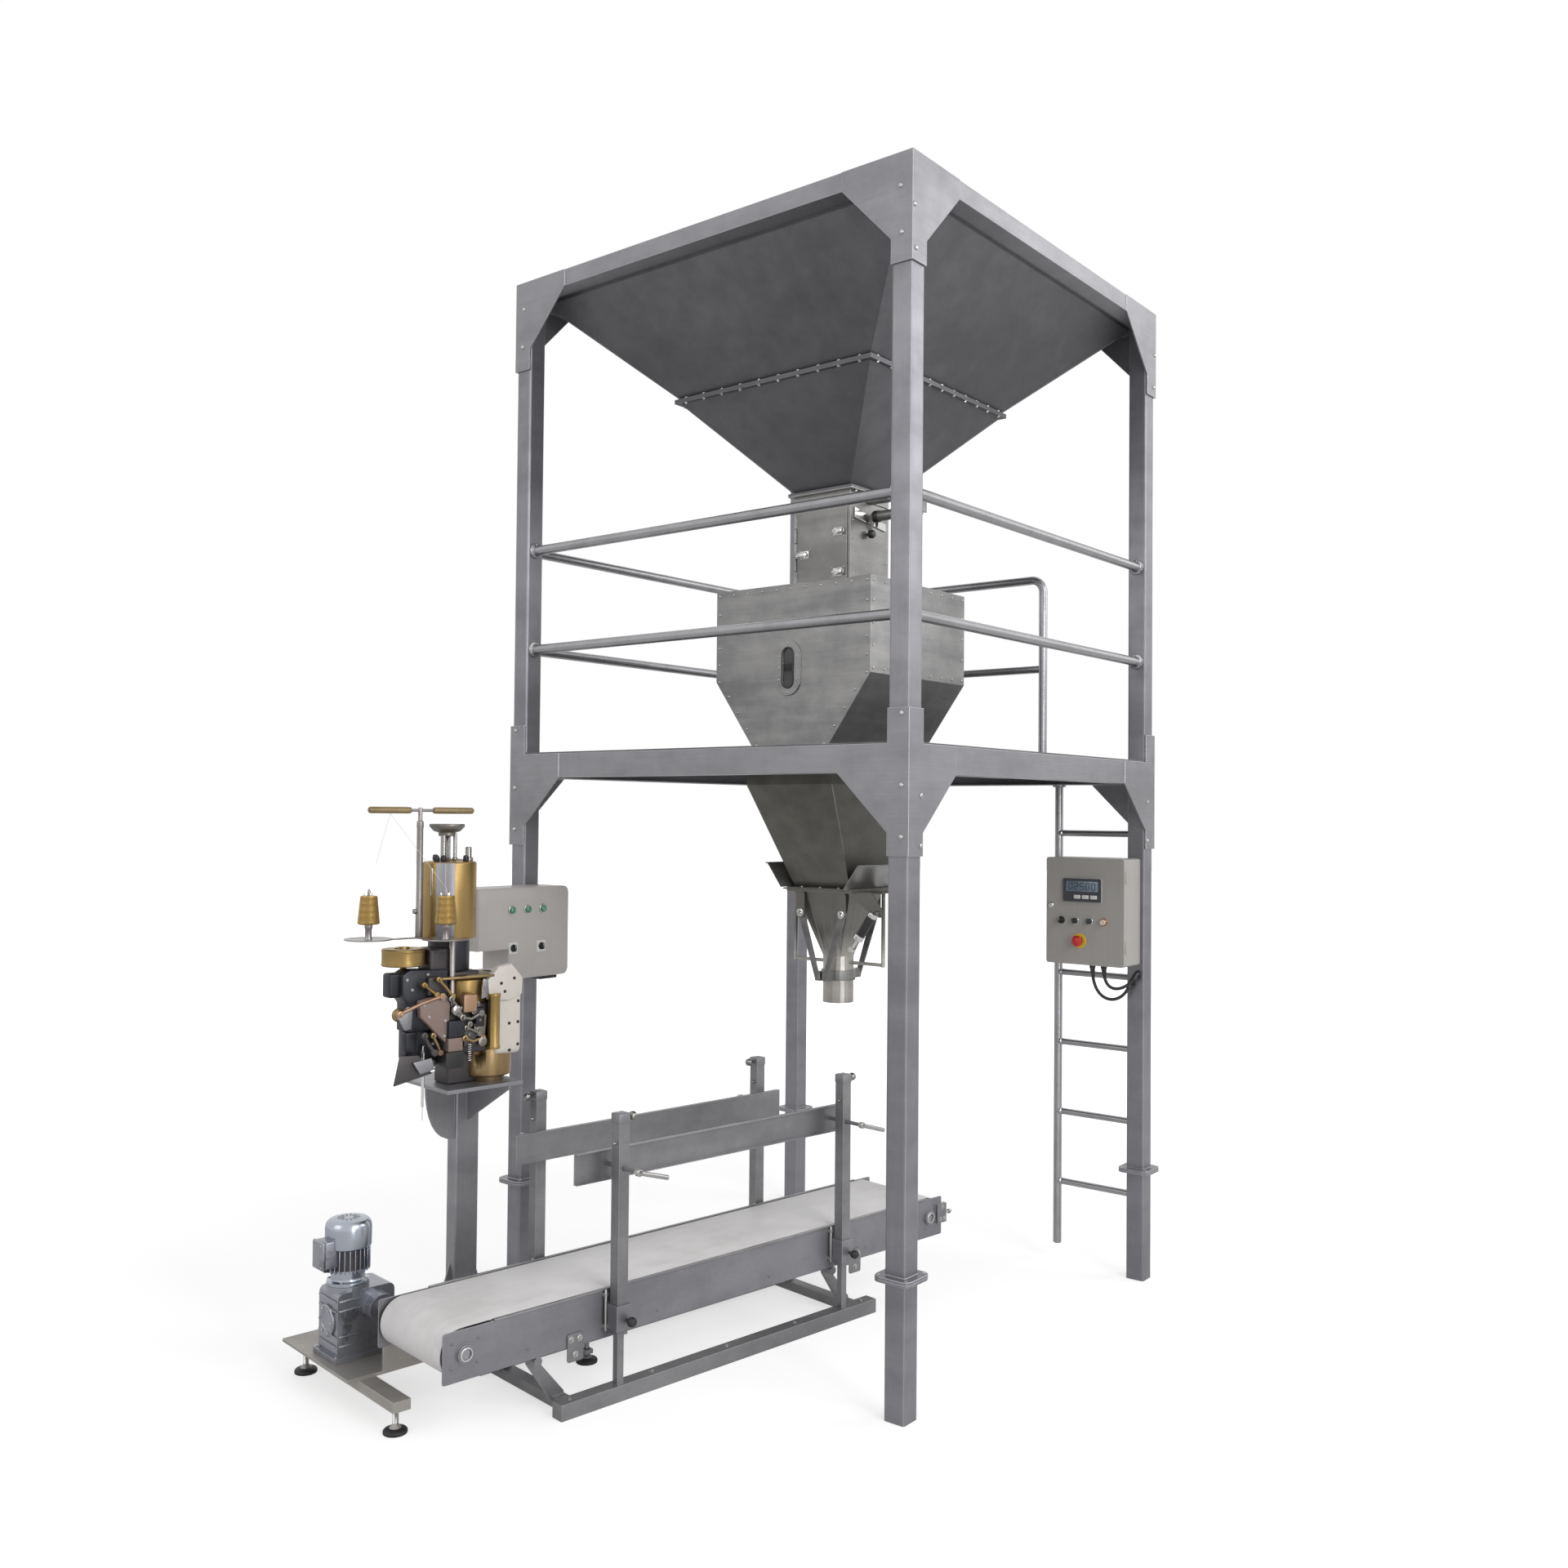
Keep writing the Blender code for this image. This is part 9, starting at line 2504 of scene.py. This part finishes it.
@dataclass
class SewboxDressing(Assembly):
    """The sewing unit's control box with its door, lamps and selectors."""

    slot: str = "enclosure_paint"
    front: float = 0.6997
    left: float = -1.2375
    lamp_z: float = 1.495
    lamp_x: Sequence[float] = (-0.9325, -1.007, -1.0815)
    knob_z: float = 1.355
    knob_x: Pair = (-1.0725, -0.9375)

    def build(self) -> None:
        """Coat the box and fit its door, lamps and selectors."""
        coat(SEWBOX_ENAMEL, "sewing_control_box")
        self.door()
        self.lamps()
        self.selectors()

    def door(self) -> None:
        """Fit the front door's skin, its hinge line, the side screws and the bracket."""
        front, left = self.front, self.left
        outline = [(-1.09, 1.2435), (-0.826, 1.2435)]
        for start, z in ((-math.pi / 2, 1.2655), (0.0, 1.5515)):
            outline += arc((-0.826, z), 0.022, start, math.pi / 2, 6)
        outline += [(-1.229, 1.5735), (-1.234, 1.5685), (-1.234, 1.356), (-1.229, 1.355), (-1.0905, 1.355)]
        plate(outline, Plane.XZ, front - 0.0012, 0.0024, 0.0009)
        self.fix("sewbox_door", SEWBOX_ENAMEL)
        hinge = [(0.0026, 1.362), (0.0036, 1.364), (0.0036, 1.564), (0.0026, 1.566)]
        turned(hinge, (left - 0.001, front + 0.012, 0), UP, 16)
        self.fix("sewbox_hinge", SEWBOX_ENAMEL)
        spots = [((left, front + deep, z), LEFT) for deep in (0.035, 0.115) for z in (1.545, 1.385)]
        self.fit("sewbox_screws", Head.SCREW, 0.0042, spots)
        block((-0.925, front + 0.015, 1.226), (-0.84, front + 0.11, 1.2395), 0.003)
        self.fix("sewbox_bracket", DARK_IRON, "frame_steel")

    def lamps(self) -> None:
        """Fit the three green lamps in their silver rings."""
        ring = [(0.0134, 0), (0.0178, 0), (0.0178, 0.0035), (0.016, 0.0058), (0.0134, 0.0058)]
        lens = [
            (0.0134, 0), (0.0134, 0.0072), (0.0128, 0.0105), (0.0105, 0.0132), (0.0065, 0.0148),
            (0.0025, 0.0152),
        ]
        bases = [(x, self.front - 0.0024, self.lamp_z) for x in self.lamp_x]
        for base in bases:
            turned(ring, base, NEAR, 32, 0.0004, True)
        self.fix("lamp_rings", CHROME, "needle_chrome")
        for base in bases:
            turned(lens, base, NEAR, 28)
        self.fix("lamp_lenses", GREEN_LENS, "button_plastic")

    def selectors(self) -> None:
        """Fit the rotary selectors on their light square plates."""
        front, z = self.front, self.knob_z
        disc = [
            (0.006, -0.01), (0.006, 0.0037), (0.0135, 0.0037), (0.0138, 0.005), (0.013, 0.0088),
            (0.006, 0.0092),
        ]
        for x, letter in zip(self.knob_x, "ab"):
            body = f"sew_selector_{letter}"
            back = rounded((x - 0.021, z - 0.021), (x + 0.021, z + 0.021), 0.004)
            plate(back, Plane.XZ, front - 0.0029, 0.0012, 0.0004)
            self.fix(f"selector_plate_{letter}", KEY_WHITE, "button_plastic")
            turned(disc, (x, front, z), NEAR, 32, 0.0004)
            block((x - 0.0045, front - 0.018, z - 0.0118), (x + 0.0045, front - 0.006, z + 0.0118), 0.0014)
            self.fix(f"sewing_knob_{letter}", BLACK, "black_plastic", body, (f"sewing_selector_{letter}",))
            block((x - 0.0009, front - 0.0183, z + 0.001), (x + 0.0009, front - 0.0178, z + 0.0105), 0.0001)
            self.fix(f"knob_mark_{letter}", KEY_WHITE, "button_plastic", body)


def main() -> None:
    """Build the stage, the cords and every sub-assembly."""
    logging.basicConfig(level=logging.INFO, format="%(name)s %(message)s")
    Stage().build()
    fixings = Fasteners()
    for assembly in (
        ControlCables, FrameDressing, Rails, HopperDressing, ChuteDressing, HousingDressing, SpoutDressing,
        PanelDressing, ConveyorDressing, DriveDressing, SewingUnit, SewboxDressing,
    ):
        assembly(fixings).build()


if __name__ == "__main__":
    main()
